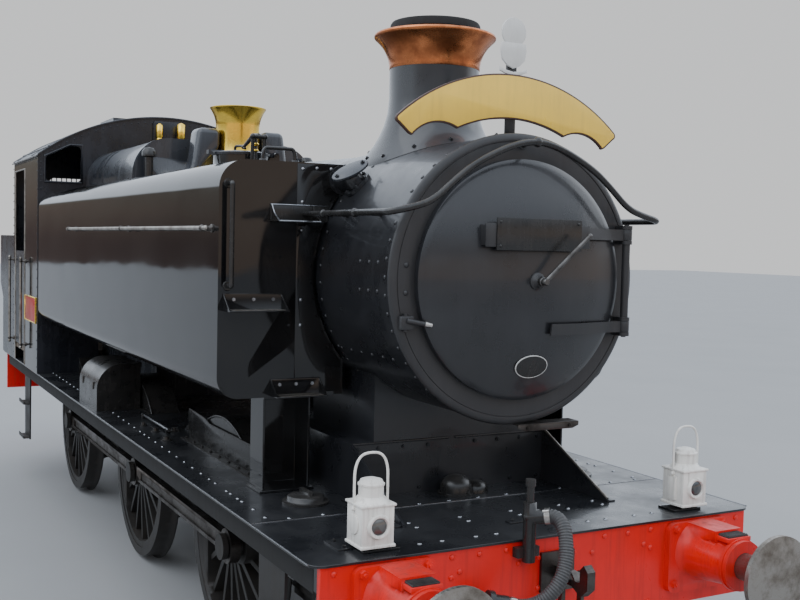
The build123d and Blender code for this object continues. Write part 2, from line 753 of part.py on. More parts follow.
def door_shell():
    """Dished door that seats on the ring face."""
    x0 = RING_FACE_X + DOOR_SEAT_GAP
    plane = Plane(origin=(0, 0, BOILER_Z), x_dir=(1, 0, 0), z_dir=(0, -1, 0))
    mid = radians(degrees(atan2(DOOR_R, DISH_R - DOOR_BULGE)) / 2)
    edge = (x0 + DOOR_STANDOFF, DOOR_R)
    top = (x0 + DOOR_STANDOFF + DOOR_BULGE, 0)
    way = (DISH_CENTRE_X + DISH_R * cos(mid), DISH_R * sin(mid))
    inner = DISH_R - DOOR_THICK
    inner_r = DOOR_R - DOOR_RIM
    inner_x = DISH_CENTRE_X + sqrt(inner**2 - inner_r**2)
    inner_mid = radians(degrees(atan2(inner_r, inner_x - DISH_CENTRE_X)) / 2)
    face = make_face(
        [
            Line((x0, DOOR_R), edge),
            ThreePointArc(edge, way, top),
            Line(top, (DISH_CENTRE_X + inner, 0)),
            ThreePointArc(
                (DISH_CENTRE_X + inner, 0),
                (DISH_CENTRE_X + inner * cos(inner_mid), inner * sin(inner_mid)),
                (inner_x, inner_r),
            ),
            Line((inner_x, inner_r), (x0, inner_r)),
            Line((x0, inner_r), (x0, DOOR_R)),
        ]
    )
    return revolve(plane * face, Axis((0, 0, BOILER_Z), (1, 0, 0)))


def hinge_strap(z):
    """Strap that lies on the dish, with a straight link out to its eye."""
    reach = box(RING_FACE_X, DOOR_NOSE_X + 20, STRAP_END_Y, DOOR_R - 62, z - STRAP_HALF, z + STRAP_HALF)
    outer = Pos(DISH_CENTRE_X, 0, BOILER_Z) * Sphere(DISH_R + DOOR_THICK)
    inner = Pos(DISH_CENTRE_X, 0, BOILER_Z) * Sphere(DISH_R - 5.0)
    strap = (outer & reach) - inner
    link = box(
        HINGE_X - 13, HINGE_X + 13, DOOR_R - 102, HINGE_Y, z - STRAP_HALF, z + STRAP_HALF
    )
    return strap + link + rod_z(EYE_R, z - STRAP_HALF, z + STRAP_HALF, HINGE_X, HINGE_Y)


def smokebox_door():
    """Door with its straps, as one riveted piece."""
    body = door_shell()
    for z in STRAP_ZS:
        body += hinge_strap(z)
        body -= rod_z(HINGE_PIN_R + PIN_GAP, z - 30, z + 30, HINGE_X, HINGE_Y)
    return body


def hinge_posts():
    """Lugs on the ring, the pins that carry the door and the thick rod between them."""
    near = STRAP_HALF + 0.4
    far = STRAP_HALF + LUG_DEPTH
    body = rod_z(HINGE_ROD_R, STRAP_ZS[1] + far - 1, STRAP_ZS[0] - far + 1, HINGE_X, HINGE_Y)
    for z in STRAP_ZS:
        for low, high in ((z + near, z + far), (z - far, z - near)):
            lug = box(RING_FACE_X + TURN_GAP, HINGE_X, HINGE_Y - 22, HINGE_Y + 22, low, high)
            lug += rod_z(EYE_R, low, high, HINGE_X, HINGE_Y)
            body += lug
        body += rod_z(HINGE_PIN_R, z - far - 6, z + far + 6, HINGE_X, HINGE_Y)
    return body


def door_dart():
    """Boss and single handle at the door's centre."""
    x0 = DOOR_NOSE_X + TURN_GAP
    body = spin_x(
        [(x0, 0), (x0, 38), (x0 + 12, 38), (x0 + 22, 22), (x0 + 84, 20), (x0 + 84, 0)], 0, BOILER_Z
    )
    tip = (x0 + 96, DART_REACH * cos(DART_ANGLE), BOILER_Z + DART_REACH * sin(DART_ANGLE))
    body += tube([(x0 + 62, 0, BOILER_Z), tip], 11.0, 0)
    return body


def saddle():
    """Cast saddle under the smokebox, shaped to its shell, over a wider apron box."""
    high = box(SADDLE_BACK_X, SADDLE_FRONT_X, -SADDLE_HALF, SADDLE_HALF, APRON_TOP_Z - 5, BOILER_Z - 380)
    low = box(
        SADDLE_BACK_X,
        SADDLE_FRONT_X + 2.0,
        -APRON_HALF,
        APRON_HALF,
        PLATE_Z + TURN_GAP,
        APRON_TOP_Z,
    )
    body = high + low
    body -= rod_x(SMOKEBOX_R + TURN_GAP, SADDLE_BACK_X - 5, SADDLE_FRONT_X + 5, 0, BOILER_Z)
    for side in (-1, 1):
        ys = sorted((side * (APRON_HALF - GUSSET_THICK), side * APRON_HALF))
        body += plate_y(
            [
                (SADDLE_FRONT_X - 5, PLATE_Z + TURN_GAP),
                (RING_FACE_X, PLATE_Z + TURN_GAP),
                (RING_FACE_X, PLATE_Z + 14),
                (SADDLE_FRONT_X + 20, APRON_TOP_Z),
                (SADDLE_FRONT_X - 5, APRON_TOP_Z),
            ],
            ys[0],
            ys[1],
        )
    return body


def barrel_form(extra, back_x, front_x):
    """Tapered barrel between two stations, grown by an extra thickness."""
    taper = (BARREL_REAR_R - BARREL_FRONT_R) / (SMOKEBOX_BACK_X - FIREBOX_FRONT_X)
    back_r = BARREL_FRONT_R + taper * (SMOKEBOX_BACK_X - back_x) + extra
    front_r = BARREL_FRONT_R + taper * (SMOKEBOX_BACK_X - front_x) + extra
    return spin_x([(back_x, 0), (back_x, back_r), (front_x, front_r), (front_x, 0)], 0, BOILER_Z)


def boiler():
    """Tapered barrel and flat-topped firebox in their cladding, as one closed form."""
    barrel = barrel_form(0.0, FIREBOX_FRONT_X - 50, SMOKEBOX_BACK_X - TURN_GAP)
    splasher_top = AXLE_Z + TREAD_R + FLANGE_DEPTH + 60.0
    outline = [
        (-FIREBOX_LOW_HALF, FIREBOX_BOTTOM_Z),
        (FIREBOX_LOW_HALF, FIREBOX_BOTTOM_Z),
        (FIREBOX_LOW_HALF, splasher_top),
        (FIREBOX_HALF, BOILER_Z - 250),
        (FIREBOX_HALF, FIREBOX_TOP_Z),
        (-FIREBOX_HALF, FIREBOX_TOP_Z),
        (-FIREBOX_HALF, BOILER_Z - 250),
        (-FIREBOX_LOW_HALF, splasher_top),
    ]
    box_form = plate_x(outline, CAB_FRONT_X + TURN_GAP, FIREBOX_FRONT_X)
    top_edges = box_form.edges().filter_by(Axis.X).group_by(Axis.Z)[-1]
    box_form = fillet(top_edges, FIREBOX_SHOULDER)
    return barrel + box_form


store("smokebox", smokebox())
store("smokebox_ring", smokebox_ring())
store("smokebox_door", smokebox_door())
store("door_hinge_lugs", hinge_posts())
store("door_dart", door_dart())
store("saddle", saddle())
store("boiler", boiler())

# Chimney, bonnet and top fittings

CAP_SEAT = TURN_GAP
SMOKEBOX_TOP_Z = BOILER_Z + SMOKEBOX_R
BASE_R = 400.0


def chimney():
    """Cast body with flared base on the smokebox and a thin inner rim."""
    profile = [
        (CHIMNEY_BODY_R - CHIMNEY_WALL, SMOKEBOX_TOP_Z - 140),
        (BASE_R, SMOKEBOX_TOP_Z - 140),
        (BASE_R, SMOKEBOX_TOP_Z + 2),
        (BASE_R - 28, SMOKEBOX_TOP_Z + 20),
        (BASE_R - 66, SMOKEBOX_TOP_Z + 48),
        (BASE_R - 97, SMOKEBOX_TOP_Z + 85),
        (BASE_R - 122, SMOKEBOX_TOP_Z + 130),
        (BASE_R - 140, SMOKEBOX_TOP_Z + 185),
        (CHIMNEY_BODY_R, SMOKEBOX_TOP_Z + 260),
        (CHIMNEY_BODY_R, CAP_BOTTOM_Z - CAP_SEAT),
        (CHIMNEY_BODY_R - 22, CAP_BOTTOM_Z - CAP_SEAT),
        (CHIMNEY_BODY_R - 22, CHIMNEY_TOP_Z),
        (CHIMNEY_BODY_R - CHIMNEY_WALL, CHIMNEY_TOP_Z),
    ]
    body = spin_z(profile, CHIMNEY_X, 0)
    body -= rod_x(SMOKEBOX_R + TURN_GAP, CHIMNEY_X - 600, CHIMNEY_X + 600, 0, BOILER_Z)
    return body


def chimney_cap():
    """Copper cap: tapered sleeve swelling to a rolled lip."""
    inner = CHIMNEY_BODY_R - 22 + TURN_GAP
    profile = [
        (inner, CAP_BOTTOM_Z),
        (CHIMNEY_BODY_R + 4, CAP_BOTTOM_Z),
        (CHIMNEY_BODY_R + 14, CAP_BOTTOM_Z + 90),
        (CHIMNEY_LIP_R - 30, CHIMNEY_LIP_Z - 24),
        (CHIMNEY_LIP_R, CHIMNEY_LIP_Z),
        (CHIMNEY_LIP_R - 14, CHIMNEY_LIP_Z + 22),
        (CHIMNEY_BODY_R + 20, CHIMNEY_LIP_Z + 40),
        (CHIMNEY_BODY_R + 4, CHIMNEY_LIP_Z + 70),
        (inner, CHIMNEY_LIP_Z + 70),
    ]
    return spin_z(profile, CHIMNEY_X, 0)


BONNET_BASE_Z = BOILER_Z + BARREL_REAR_R
COVER_TOP_Z = RAIL + 3469.0
COVER_OUT_Y = 530.0


def bonnet():
    """Brass safety-valve bonnet, flared at its lip and its foot."""
    profile = [
        (BONNET_R - 12, BONNET_BASE_Z - 60),
        (BONNET_R + 66, BONNET_BASE_Z - 60),
        (BONNET_R + 40, BONNET_BASE_Z + 30),
        (BONNET_R + 6, BONNET_BASE_Z + 120),
        (BONNET_R, BONNET_TOP_Z - 160),
        (BONNET_R + 8, BONNET_TOP_Z - 60),
        (BONNET_LIP_R, BONNET_TOP_Z - 14),
        (BONNET_LIP_R, BONNET_TOP_Z),
        (BONNET_R - 12, BONNET_TOP_Z),
    ]
    body = spin_z(profile, BONNET_X, 0)
    body -= barrel_form(TURN_GAP, BONNET_X - 500, BONNET_X + 500)
    return body


def top_feed():
    """Covers of the feed clacks each side of the bonnet, sail-shaped from the front."""
    outline = [
        (178, COVER_TOP_Z - 10),
        (385, COVER_TOP_Z),
        (430, COVER_TOP_Z - 14),
        (512, COVER_TOP_Z - 336),
        (COVER_OUT_Y, COVER_TOP_Z - 460),
        (COVER_OUT_Y, BONNET_BASE_Z - 300),
        (440, BONNET_BASE_Z - 300),
        (398, COVER_TOP_Z - 312),
        (245, COVER_TOP_Z - 171),
    ]
    piece = plate_x(outline, BONNET_X - 110, BONNET_X + 110)
    piece -= barrel_form(TURN_GAP, BONNET_X - 500, BONNET_X + 500)
    piece -= rod_z(BONNET_R + 22, BONNET_BASE_Z - 100, BONNET_TOP_Z, BONNET_X, 0)
    return both_sides(piece)


def safety_valves():
    """Two valve columns inside the bonnet."""
    pieces = []
    for dx in (-70.0, 70.0):
        pieces.append(
            spin_z(
                [
                    (0, BONNET_BASE_Z - 20),
                    (52, BONNET_BASE_Z - 20),
                    (52, BONNET_TOP_Z - 130),
                    (34, BONNET_TOP_Z - 90),
                    (34, BONNET_TOP_Z - 50),
                    (0, BONNET_TOP_Z - 50),
                ],
                BONNET_X + dx,
                0,
            )
            - barrel_form(TURN_GAP, BONNET_X - 500, BONNET_X + 500)
        )
    return Compound(children=pieces)


WHISTLE_X = CAB_FRONT_X + 80.0


def whistles():
    """Two bell whistles on one short manifold over the firebox."""
    base = FIREBOX_TOP_Z + TURN_GAP
    body = box(WHISTLE_X - 40, WHISTLE_X + 30, -190, 190, base, base + 60)
    for y, bell, top in ((-110.0, 34.0, 310.0), (110.0, 42.0, 330.0)):
        body += spin_z(
            [
                (0, base + 50),
                (18, base + 50),
                (18, base + 110),
                (bell, base + 120),
                (bell, base + 150),
                (bell - 8, base + 165),
                (bell, base + 180),
                (bell, base + top - 20),
                (12, base + top),
                (0, base + top),
            ],
            WHISTLE_X,
            y,
        )
    return body


store("chimney", chimney())
store("chimney_cap", chimney_cap())
store("safety_valve_bonnet", bonnet())
store("safety_valves", safety_valves())
store("top_feed", top_feed())
store("whistles", whistles())

# Pannier tanks

LID_SEAT_Z = TANK_TOP_Z + FILLER_NECK
LID_HINGE_Y = FILLER_Y - FILLER_R - 34.0
LID_HINGE_Z = LID_SEAT_Z + 12.0
LID_PIN_R = 9.0


def tank():
    """Left tank: rounded outer edges, inner side shaped to the boiler, filler neck on top."""
    x0 = CAB_FRONT_X + TURN_GAP
    x1 = TANK_FRONT_X
    outline = [
        (TANK_INNER_Y, TANK_BOTTOM_Z),
        (TANK_HALF, TANK_BOTTOM_Z),
        (TANK_HALF, TANK_TOP_Z),
        (TANK_INNER_Y, TANK_TOP_Z),
    ]
    body = plate_x(outline, x0, x1)
    long_edges = body.edges().filter_by(Axis.X)
    outer = long_edges.filter_by(lambda e: e.center().Y > TANK_INNER_Y + 50)
    body = fillet(outer.group_by(Axis.Z)[-1], TANK_TOP_RADIUS)
    outer = body.edges().filter_by(Axis.X).filter_by(lambda e: e.center().Y > TANK_HALF - 5)
    body = fillet(outer.group_by(Axis.Z)[0], TANK_BOTTOM_RADIUS)
    body -= barrel_form(BOILER_GAP, x0 - 10, x1 + 10)
    body -= rod_x(SMOKEBOX_R + BOILER_GAP, SMOKEBOX_BACK_X - BOILER_GAP, x1 + 10, 0, BOILER_Z)
    body -= box(
        x0 - 10,
        FIREBOX_FRONT_X + BOILER_GAP,
        TANK_INNER_Y - 10,
        FIREBOX_HALF + BOILER_GAP,
        TANK_BOTTOM_Z - 10,
        TANK_TOP_Z + 10,
    )
    body += rod_z(FILLER_R, TANK_TOP_Z - 10, LID_SEAT_Z, FILLER_X, FILLER_Y)
    body -= rod_z(
        FILLER_R - FILLER_WALL, TANK_TOP_Z - FILLER_WELL, LID_SEAT_Z + 1, FILLER_X, FILLER_Y
    )
    for dx in (-46.0, 46.0):
        body += box(
            FILLER_X + dx - 10,
            FILLER_X + dx + 10,
            LID_HINGE_Y - 16,
            FILLER_Y - FILLER_R + 24,
            TANK_TOP_Z - 5,
            LID_HINGE_Z - 14,
        )
        body += rod_x(15.0, FILLER_X + dx - 10, FILLER_X + dx + 10, LID_HINGE_Y, LID_HINGE_Z)
        body += box(
            FILLER_X + dx - 10,
            FILLER_X + dx + 10,
            LID_HINGE_Y - 15,
            LID_HINGE_Y + 15,
            LID_HINGE_Z - 20,
            LID_HINGE_Z,
        )
    body += rod_x(LID_PIN_R, FILLER_X - 60, FILLER_X + 60, LID_HINGE_Y, LID_HINGE_Z)
    return body


def filler_lid():
    """Left filler lid with its hinge strap and clamp lug."""
    z0 = LID_SEAT_Z + TURN_GAP
    body = spin_z(
        [
            (0, z0),
            (FILLER_R + 8, z0),
            (FILLER_R + 8, z0 + LID_THICK),
            (FILLER_R - 40, z0 + LID_THICK + 10),
            (0, z0 + LID_THICK + 16),
        ],
        FILLER_X,
        FILLER_Y,
    )
    body += box(FILLER_X - 32, FILLER_X + 32, LID_HINGE_Y, FILLER_Y + 20, z0 + 2, z0 + LID_THICK + 12)
    body += rod_x(16.0, FILLER_X - 32, FILLER_X + 32, LID_HINGE_Y, LID_HINGE_Z)
    lug_top = z0 + LID_THICK + 12
    body += box(FILLER_X - 20, FILLER_X + 20, FILLER_Y + 20, FILLER_Y + FILLER_R + 40, z0 + 2, lug_top)
    body -= rod_x(LID_PIN_R + PIN_GAP, FILLER_X - 40, FILLER_X + 40, LID_HINGE_Y, LID_HINGE_Z)
    return body


left_tank = tank()
store("tank_left", left_tank)
store("tank_right", mirrored(left_tank))
left_lid = filler_lid()
store("filler_lid_left", left_lid)
store("filler_lid_right", mirrored(left_lid))

SUPPORT_X = TANK_FRONT_X - 40.0
SUPPORT_LENGTH = 190.0
SUPPORT_IN_Y = 715.0
SUPPORT_OUT_Y = 985.0
SUPPORT_PLATE = 12.0


def tank_support():
    """Box bracket under the tank's front end, open to the front."""
    z0 = PLATE_Z + TURN_GAP
    z1 = TANK_BOTTOM_Z - TURN_GAP
    x0 = SUPPORT_X - SUPPORT_LENGTH
    body = box(x0, x0 + SUPPORT_PLATE, SUPPORT_IN_Y, SUPPORT_OUT_Y, z0, z1)
    for y in (SUPPORT_IN_Y, SUPPORT_OUT_Y - SUPPORT_PLATE):
        body += box(x0, SUPPORT_X, y, y + SUPPORT_PLATE, z0, z1)
    body += box(x0, SUPPORT_X + 20, SUPPORT_IN_Y - 20, SUPPORT_OUT_Y + 20, z0, z0 + 14)
    body += box(x0, SUPPORT_X + 10, SUPPORT_IN_Y, SUPPORT_OUT_Y, z1 - 16, z1)
    return body


STEP_DEPTH = 110.0
UPPER_STEP = (905.0, 1230.0, RAIL + 2203.0)
LOWER_STEP = (680.0, 965.0, RAIL + 1752.0)


def front_step(y0, y1, z):
    """Shelf step with end brackets on the tank front."""
    x0 = TANK_FRONT_X + TURN_GAP
    depth = STEP_DEPTH
    body = box(x0, x0 + depth, y0, y1, z, z + 8)
    for y in (y0, y1 - 8):
        body += plate_y([(x0, z), (x0 + depth, z), (x0, z + 90)], y, y + 8)
    body += box(x0, x0 + 8, y0, y1, z, z + 90)
    return body


def tank_fittings():
    """Steps on the tank front, on one side."""
    return [front_step(*UPPER_STEP), front_step(*LOWER_STEP)]


VENT_X = -210.0
VENT_Y = 700.0
VENT_HEIGHT = 327.0
VENT_CAP_R = 59.0


def tank_vent():
    """Mushroom vent on the tank top, on one side."""
    z0 = TANK_TOP_Z + TURN_GAP
    top = TANK_TOP_Z + VENT_HEIGHT
    profile = [
        (0, z0),
        (62, z0),
        (62, z0 + 14),
        (34, z0 + 24),
        (34, top - 84),
        (VENT_CAP_R, top - 76),
        (VENT_CAP_R, top - 40),
        (40, top - 8),
        (0, top),
    ]
    return spin_z(profile, VENT_X, VENT_Y)


ELBOW_R = 56.0
ELBOW_X = TANK_FRONT_X + 118.0
ELBOW_Y = -566.0
ELBOW_Z = BOILER_Z + 500.0


def exhaust_elbow():
    """Cast elbow on the right of the smokebox, in front of the tank."""
    inward = Vector(0, -ELBOW_Y, BOILER_Z - ELBOW_Z).normalized()
    body = rod_x(ELBOW_R, TANK_FRONT_X + 14, ELBOW_X, ELBOW_Y, ELBOW_Z)
    body += rod_x(ELBOW_R + 26, TANK_FRONT_X + TURN_GAP, TANK_FRONT_X + 16, ELBOW_Y, ELBOW_Z)
    body += Pos(ELBOW_X, ELBOW_Y, ELBOW_Z) * Sphere(ELBOW_R)
    corner = Vector(ELBOW_X, ELBOW_Y, ELBOW_Z)
    body += extrude(Plane(origin=corner, z_dir=inward) * Circle(ELBOW_R), amount=90.0)
    foot = corner + inward * (corner - Vector(ELBOW_X, 0, BOILER_Z)).length
    foot -= inward * (SMOKEBOX_R + 16.0)
    body += extrude(Plane(origin=foot, z_dir=inward) * Circle(ELBOW_R + 26), amount=40.0)
    return body - rod_x(SMOKEBOX_R + TURN_GAP, ELBOW_X - 200, ELBOW_X + 200, 0, BOILER_Z)


store("tank_vents", both_sides(tank_vent()))
store("exhaust_elbow", exhaust_elbow())

# Cab and bunker

ROOF_RADIUS = (CAB_HALF**2 + (CAB_CROWN_Z - CAB_EAVES_Z) ** 2) / (2 * (CAB_CROWN_Z - CAB_EAVES_Z))
ROOF_CENTRE_Z = CAB_CROWN_Z - ROOF_RADIUS
CAB_FLOOR_Z = PLATE_Z + 180.0


def roof_z(y, drop=0.0):
    """Height of the roof line over a distance from the centre line."""
    return ROOF_CENTRE_Z + sqrt((ROOF_RADIUS - drop) ** 2 - y**2)


def arched_face(plane, half, low, drop):
    """Upright panel outline under the roof arc."""
    top = roof_z(half, drop)
    return plane * make_face(
        [
            Line((-half, low), (half, low)),
            Line((half, low), (half, top)),
            ThreePointArc((half, top), (0, roof_z(0, drop)), (-half, top)),
            Line((-half, top), (-half, low)),
        ]
    )


def cab_wall(x, low, half):
    """Arched wall across the cab."""
    plane = Plane(origin=(x, 0, 0), x_dir=(0, 1, 0), z_dir=(1, 0, 0))
    return extrude(arched_face(plane, half, low, ROOF_THICK + TURN_GAP), amount=CAB_SHEET)


def cab_front():
    """Front spectacle plate with its two windows and the firebox cut-out."""
    body = cab_wall(CAB_FRONT_X - CAB_SHEET, PLATE_Z + TURN_GAP, CAB_HALF)
    window = [(858, 3095), (1188, 3095), (1188, 3325), (960, 3440), (858, 3440)]
    outline = [(y, RAIL + z) for y, z in window]
    hole = plate_x(outline, CAB_FRONT_X - CAB_SHEET - 5, CAB_FRONT_X + 5, 40.0)
    body -= hole
    body -= mirrored(hole)
    body -= box(
        CAB_FRONT_X - CAB_SHEET - 5,
        CAB_FRONT_X + 5,
        -FIREBOX_HALF + 120,
        FIREBOX_HALF - 120,
        PLATE_Z - 5,
        FIREBOX_TOP_Z - 160,
    )
    arch = rod_y(SPLASHER_R + 4.0, WHEEL_SLOT_IN - 12, SPLASHER_OUT_Y + 4, REAR_AXLE_X, AXLE_Z)
    body -= arch
    body -= mirrored(arch)
    return body


def cab_side():
    """Left cab side sheet with the doorway cut, running back along the bunker."""
    x1 = CAB_FRONT_X - CAB_SHEET - TURN_GAP
    x0 = CAB_BACK_X
    y0 = CAB_HALF - CAB_SHEET
    top = roof_z(CAB_HALF, ROOF_THICK + TURN_GAP) - 2
    body = box(x0, x1, y0, CAB_HALF, PLATE_Z + TURN_GAP, top)
    door = plate_y(
        [
            (DOORWAY_FRONT_X - DOORWAY_WIDTH, PLATE_Z - 50),
            (DOORWAY_FRONT_X, PLATE_Z - 50),
            (DOORWAY_FRONT_X, DOORWAY_TOP_Z),
            (DOORWAY_FRONT_X - DOORWAY_WIDTH, DOORWAY_TOP_Z),
        ],
        y0 - 5,
        CAB_HALF + 5,
    )
    return body - door


def cab_back():
    """Rear cab wall with two windows over the bunker."""
    x = CAB_BACK_X
    body = cab_wall(x, CAB_FLOOR_Z + TURN_GAP, CAB_HALF - CAB_SHEET - TURN_GAP)
    hole = plate_x(
        [
            (420, BUNKER_TOP_Z + 160),
            (900, BUNKER_TOP_Z + 160),
            (900, BUNKER_TOP_Z + 640),
            (420, BUNKER_TOP_Z + 640),
        ],
        x - 5,
        x + CAB_SHEET + 5,
        60.0,
    )
    return body - hole - mirrored(hole)


def cab_roof():
    """Curved roof sheet with a raised vent hatch and rain strips."""
    x1 = CAB_FRONT_X + 12.0
    x0 = CAB_BACK_X - 60.0
    plane = Plane(origin=(x0, 0, 0), x_dir=(0, 1, 0), z_dir=(1, 0, 0))
    outer = arched_face(plane, CAB_HALF + 14, ROOF_CENTRE_Z, 0)
    inner = arched_face(plane, CAB_HALF + 20, ROOF_CENTRE_Z - 10, ROOF_THICK)
    body = extrude(outer, amount=x1 - x0) - extrude(inner, amount=x1 - x0)
    vent = box(
        (x0 + x1) / 2 - 350, (x0 + x1) / 2 + 250, -430, 430, CAB_CROWN_Z - 75, CAB_CROWN_Z + 22
    )
    vent -= Pos((x0 + x1) / 2, 0, ROOF_CENTRE_Z) * Rot(0, 90, 0) * Cylinder(ROOF_RADIUS - 2, 2000)
    return body + vent


def cab_floor():
    """Wooden footplate of the cab on its bearers."""
    body = box(
        CAB_BACK_X + CAB_SHEET,
        CAB_FRONT_X - 300.0,
        -CAB_HALF + CAB_SHEET + 2,
        CAB_HALF - CAB_SHEET - 2,
        CAB_FLOOR_Z - 45,
        CAB_FLOOR_Z,
    )
    half = sqrt(SPLASHER_R**2 - (PLATE_Z - AXLE_Z) ** 2) + 15
    for side in (-1, 1):
        ys = sorted((side * (WHEEL_SLOT_IN - 15), side * (SPLASHER_OUT_Y + 5)))
        body -= box(REAR_AXLE_X - half, REAR_AXLE_X + half, ys[0], ys[1], PLATE_Z, CAB_FLOOR_Z + 1)
    return body


def bunker():
    """Coal bunker: open top, with the overhanging upper back."""
    y0 = -CAB_HALF
    x1 = CAB_BACK_X - TURN_GAP
    x0 = REAR_BEAM_X + 30.0
    high = BUNKER_TOP_Z
    low = PLATE_Z + TURN_GAP
    outer = [
        (x0, low),
        (x1, low),
        (x1, high),
        (x0 - BUNKER_OVERHANG, high),
        (x0 - BUNKER_OVERHANG, BUNKER_STEP_Z + 160),
        (x0, BUNKER_STEP_Z),
    ]
    s = BUNKER_SHEET
    inner = [
        (x0 + s, low + s),
        (x1 - s, low + s),
        (x1 - s, high + 50),
        (x0 - BUNKER_OVERHANG + s, high + 50),
        (x0 - BUNKER_OVERHANG + s, BUNKER_STEP_Z + 165),
        (x0 + s, BUNKER_STEP_Z + 5),
    ]
    body = plate_y(outer, y0, CAB_HALF)
    body -= plate_y(inner, y0 + s, CAB_HALF - s)
    return body


DOOR_PIVOT_X = DOORWAY_FRONT_X - DOORWAY_WIDTH + 4.0
DOOR_PIVOT_Y = CAB_HALF - CAB_DOOR_THICK - 6.0
DOOR_PIVOT_R = 8.0
DOOR_EYE_HALF = 25.0
DOOR_HINGE_ZS = (CAB_FLOOR_Z + 150.0, CAB_DOOR_TOP_Z - 150.0)


def cab_door():
    """Left half-door of the cab doorway, with its two hinge eyes."""
    x0 = DOORWAY_FRONT_X - DOORWAY_WIDTH + CAB_DOOR_GAP
    x1 = DOORWAY_FRONT_X - CAB_DOOR_GAP
    inner = CAB_HALF - CAB_DOOR_THICK
    body = box(x0, x1, inner, CAB_HALF, CAB_FLOOR_Z + 12, CAB_DOOR_TOP_Z)
    for z in DOOR_HINGE_ZS:
        low, high = z - DOOR_EYE_HALF, z + DOOR_EYE_HALF
        body += box(DOOR_PIVOT_X, DOOR_PIVOT_X + 90, DOOR_PIVOT_Y - 6, inner + 1, low, high)
        body += rod_z(14.0, low, high, DOOR_PIVOT_X, DOOR_PIVOT_Y)
    for z in DOOR_HINGE_ZS:
        body -= rod_z(DOOR_PIVOT_R + PIN_GAP, z - 40, z + 40, DOOR_PIVOT_X, DOOR_PIVOT_Y)
        notch = rod_z(16.0, z - DOOR_EYE_HALF - 22, z - DOOR_EYE_HALF, DOOR_PIVOT_X, DOOR_PIVOT_Y)
        body -= notch
        body -= rod_z(16.0, z + DOOR_EYE_HALF, z + DOOR_EYE_HALF + 22, DOOR_PIVOT_X, DOOR_PIVOT_Y)
    return body


def door_lugs():
    """Lugs and pins inside the left side sheet that carry the half-door."""
    body = None
    gap = 0.4
    for z in DOOR_HINGE_ZS:
        pin = rod_z(DOOR_PIVOT_R, z - DOOR_EYE_HALF - 18, z + DOOR_EYE_HALF + 18, DOOR_PIVOT_X, DOOR_PIVOT_Y)
        body = pin if body is None else body + pin
        for low in (z - DOOR_EYE_HALF - gap - 16, z + DOOR_EYE_HALF + gap):
            body += rod_z(13.0, low, low + 16, DOOR_PIVOT_X, DOOR_PIVOT_Y)
            body += box(
                DOOR_PIVOT_X - 50,
                DOOR_PIVOT_X - 5,
                DOOR_PIVOT_Y - 10,
                CAB_HALF - CAB_SHEET + 1,
                low,
                low + 16,
            )
    return body


def backhead():
    """Firebox back with fire door ring, regulator and gauges."""
    x1 = CAB_FRONT_X - CAB_SHEET - TURN_GAP
    x0 = x1 - 260.0
    half = FIREBOX_HALF - 100
    low = FIREBOX_LOW_HALF
    body = plate_x(
        [
            (-low, PLATE_Z + 40),
            (low, PLATE_Z + 40),
            (low, PLATE_Z + 300),
            (half, PLATE_Z + 460),
            (half, FIREBOX_TOP_Z - 170),
            (-half, FIREBOX_TOP_Z - 170),
            (-half, PLATE_Z + 460),
            (-low, PLATE_Z + 300),
        ],
        x0,
        x1,
        90.0,
    )
    body += rod_x(210.0, x0 - 30, x0 + 5, 0, PLATE_Z + 600)
    body += rod_x(60.0, x0 - 110, x0 + 5, 0, FIREBOX_TOP_Z - 420)
    body += box(x0 - 105, x0 - 85, -16, 330, FIREBOX_TOP_Z - 450, FIREBOX_TOP_Z - 415)
    for y in (-300.0, 300.0):
        body += rod_z(22.0, FIREBOX_TOP_Z - 640, FIREBOX_TOP_Z - 330, x0 - 46, y)
        body += box(x0 - 60, x0 + 2, y - 14, y + 14, FIREBOX_TOP_Z - 630, FIREBOX_TOP_Z - 600)
        body += box(x0 - 60, x0 + 2, y - 14, y + 14, FIREBOX_TOP_Z - 370, FIREBOX_TOP_Z - 340)
    return body


store("cab_front", cab_front())
left_side = cab_side() + door_lugs()
store("cab_sides", both_sides(left_side))
store("cab_back", cab_back())
store("cab_roof", cab_roof())
store("cab_floor", cab_floor())
store("bunker", bunker())
left_door = cab_door()
store("cab_door_left", left_door)
store("cab_door_right", mirrored(left_door))
store("backhead", backhead())

# Toolboxes, sand fillers and gear under the plate

TOOLBOX_X0 = RING_FACE_X - 4480.0
TOOLBOX_LENGTH = 640.0
TOOLBOX_OUT_Y = 1215.0
TOOLBOX_IN_Y = 880.0
TOOLBOX_HEIGHT = 360.0
TOOLBOX_WALL = 6.0


TOOLBOX_SHOULDER = 190.0
TOOLBOX_SPLIT = 150.0
TOOLBOX_PIN_R = 6.0
TOOLBOX_FLOOR_Z = PLATE_Z + TURN_GAP
TOOLBOX_TOP_Z = TOOLBOX_FLOOR_Z + TOOLBOX_HEIGHT
TOOLBOX_HINGE_Y = TOOLBOX_IN_Y - 14.0
TOOLBOX_HINGE_Z = TOOLBOX_TOP_Z - 8.0


def toolbox_form(inset, x0, x1):
    """Toolbox envelope with a rounded outer shoulder, shrunk by an inset."""
    outline = [
        (TOOLBOX_IN_Y + inset, TOOLBOX_FLOOR_Z + inset),
        (TOOLBOX_OUT_Y - inset, TOOLBOX_FLOOR_Z + inset),
        (TOOLBOX_OUT_Y - inset, TOOLBOX_TOP_Z - inset),
        (TOOLBOX_IN_Y + inset, TOOLBOX_TOP_Z - inset),
    ]
    body = plate_x(outline, x0, x1)
    edges = body.edges().filter_by(Axis.X).filter_by(lambda e: e.center().Y > TOOLBOX_OUT_Y - inset - 5)
    return fillet(edges.group_by(Axis.Z)[-1], TOOLBOX_SHOULDER - inset)


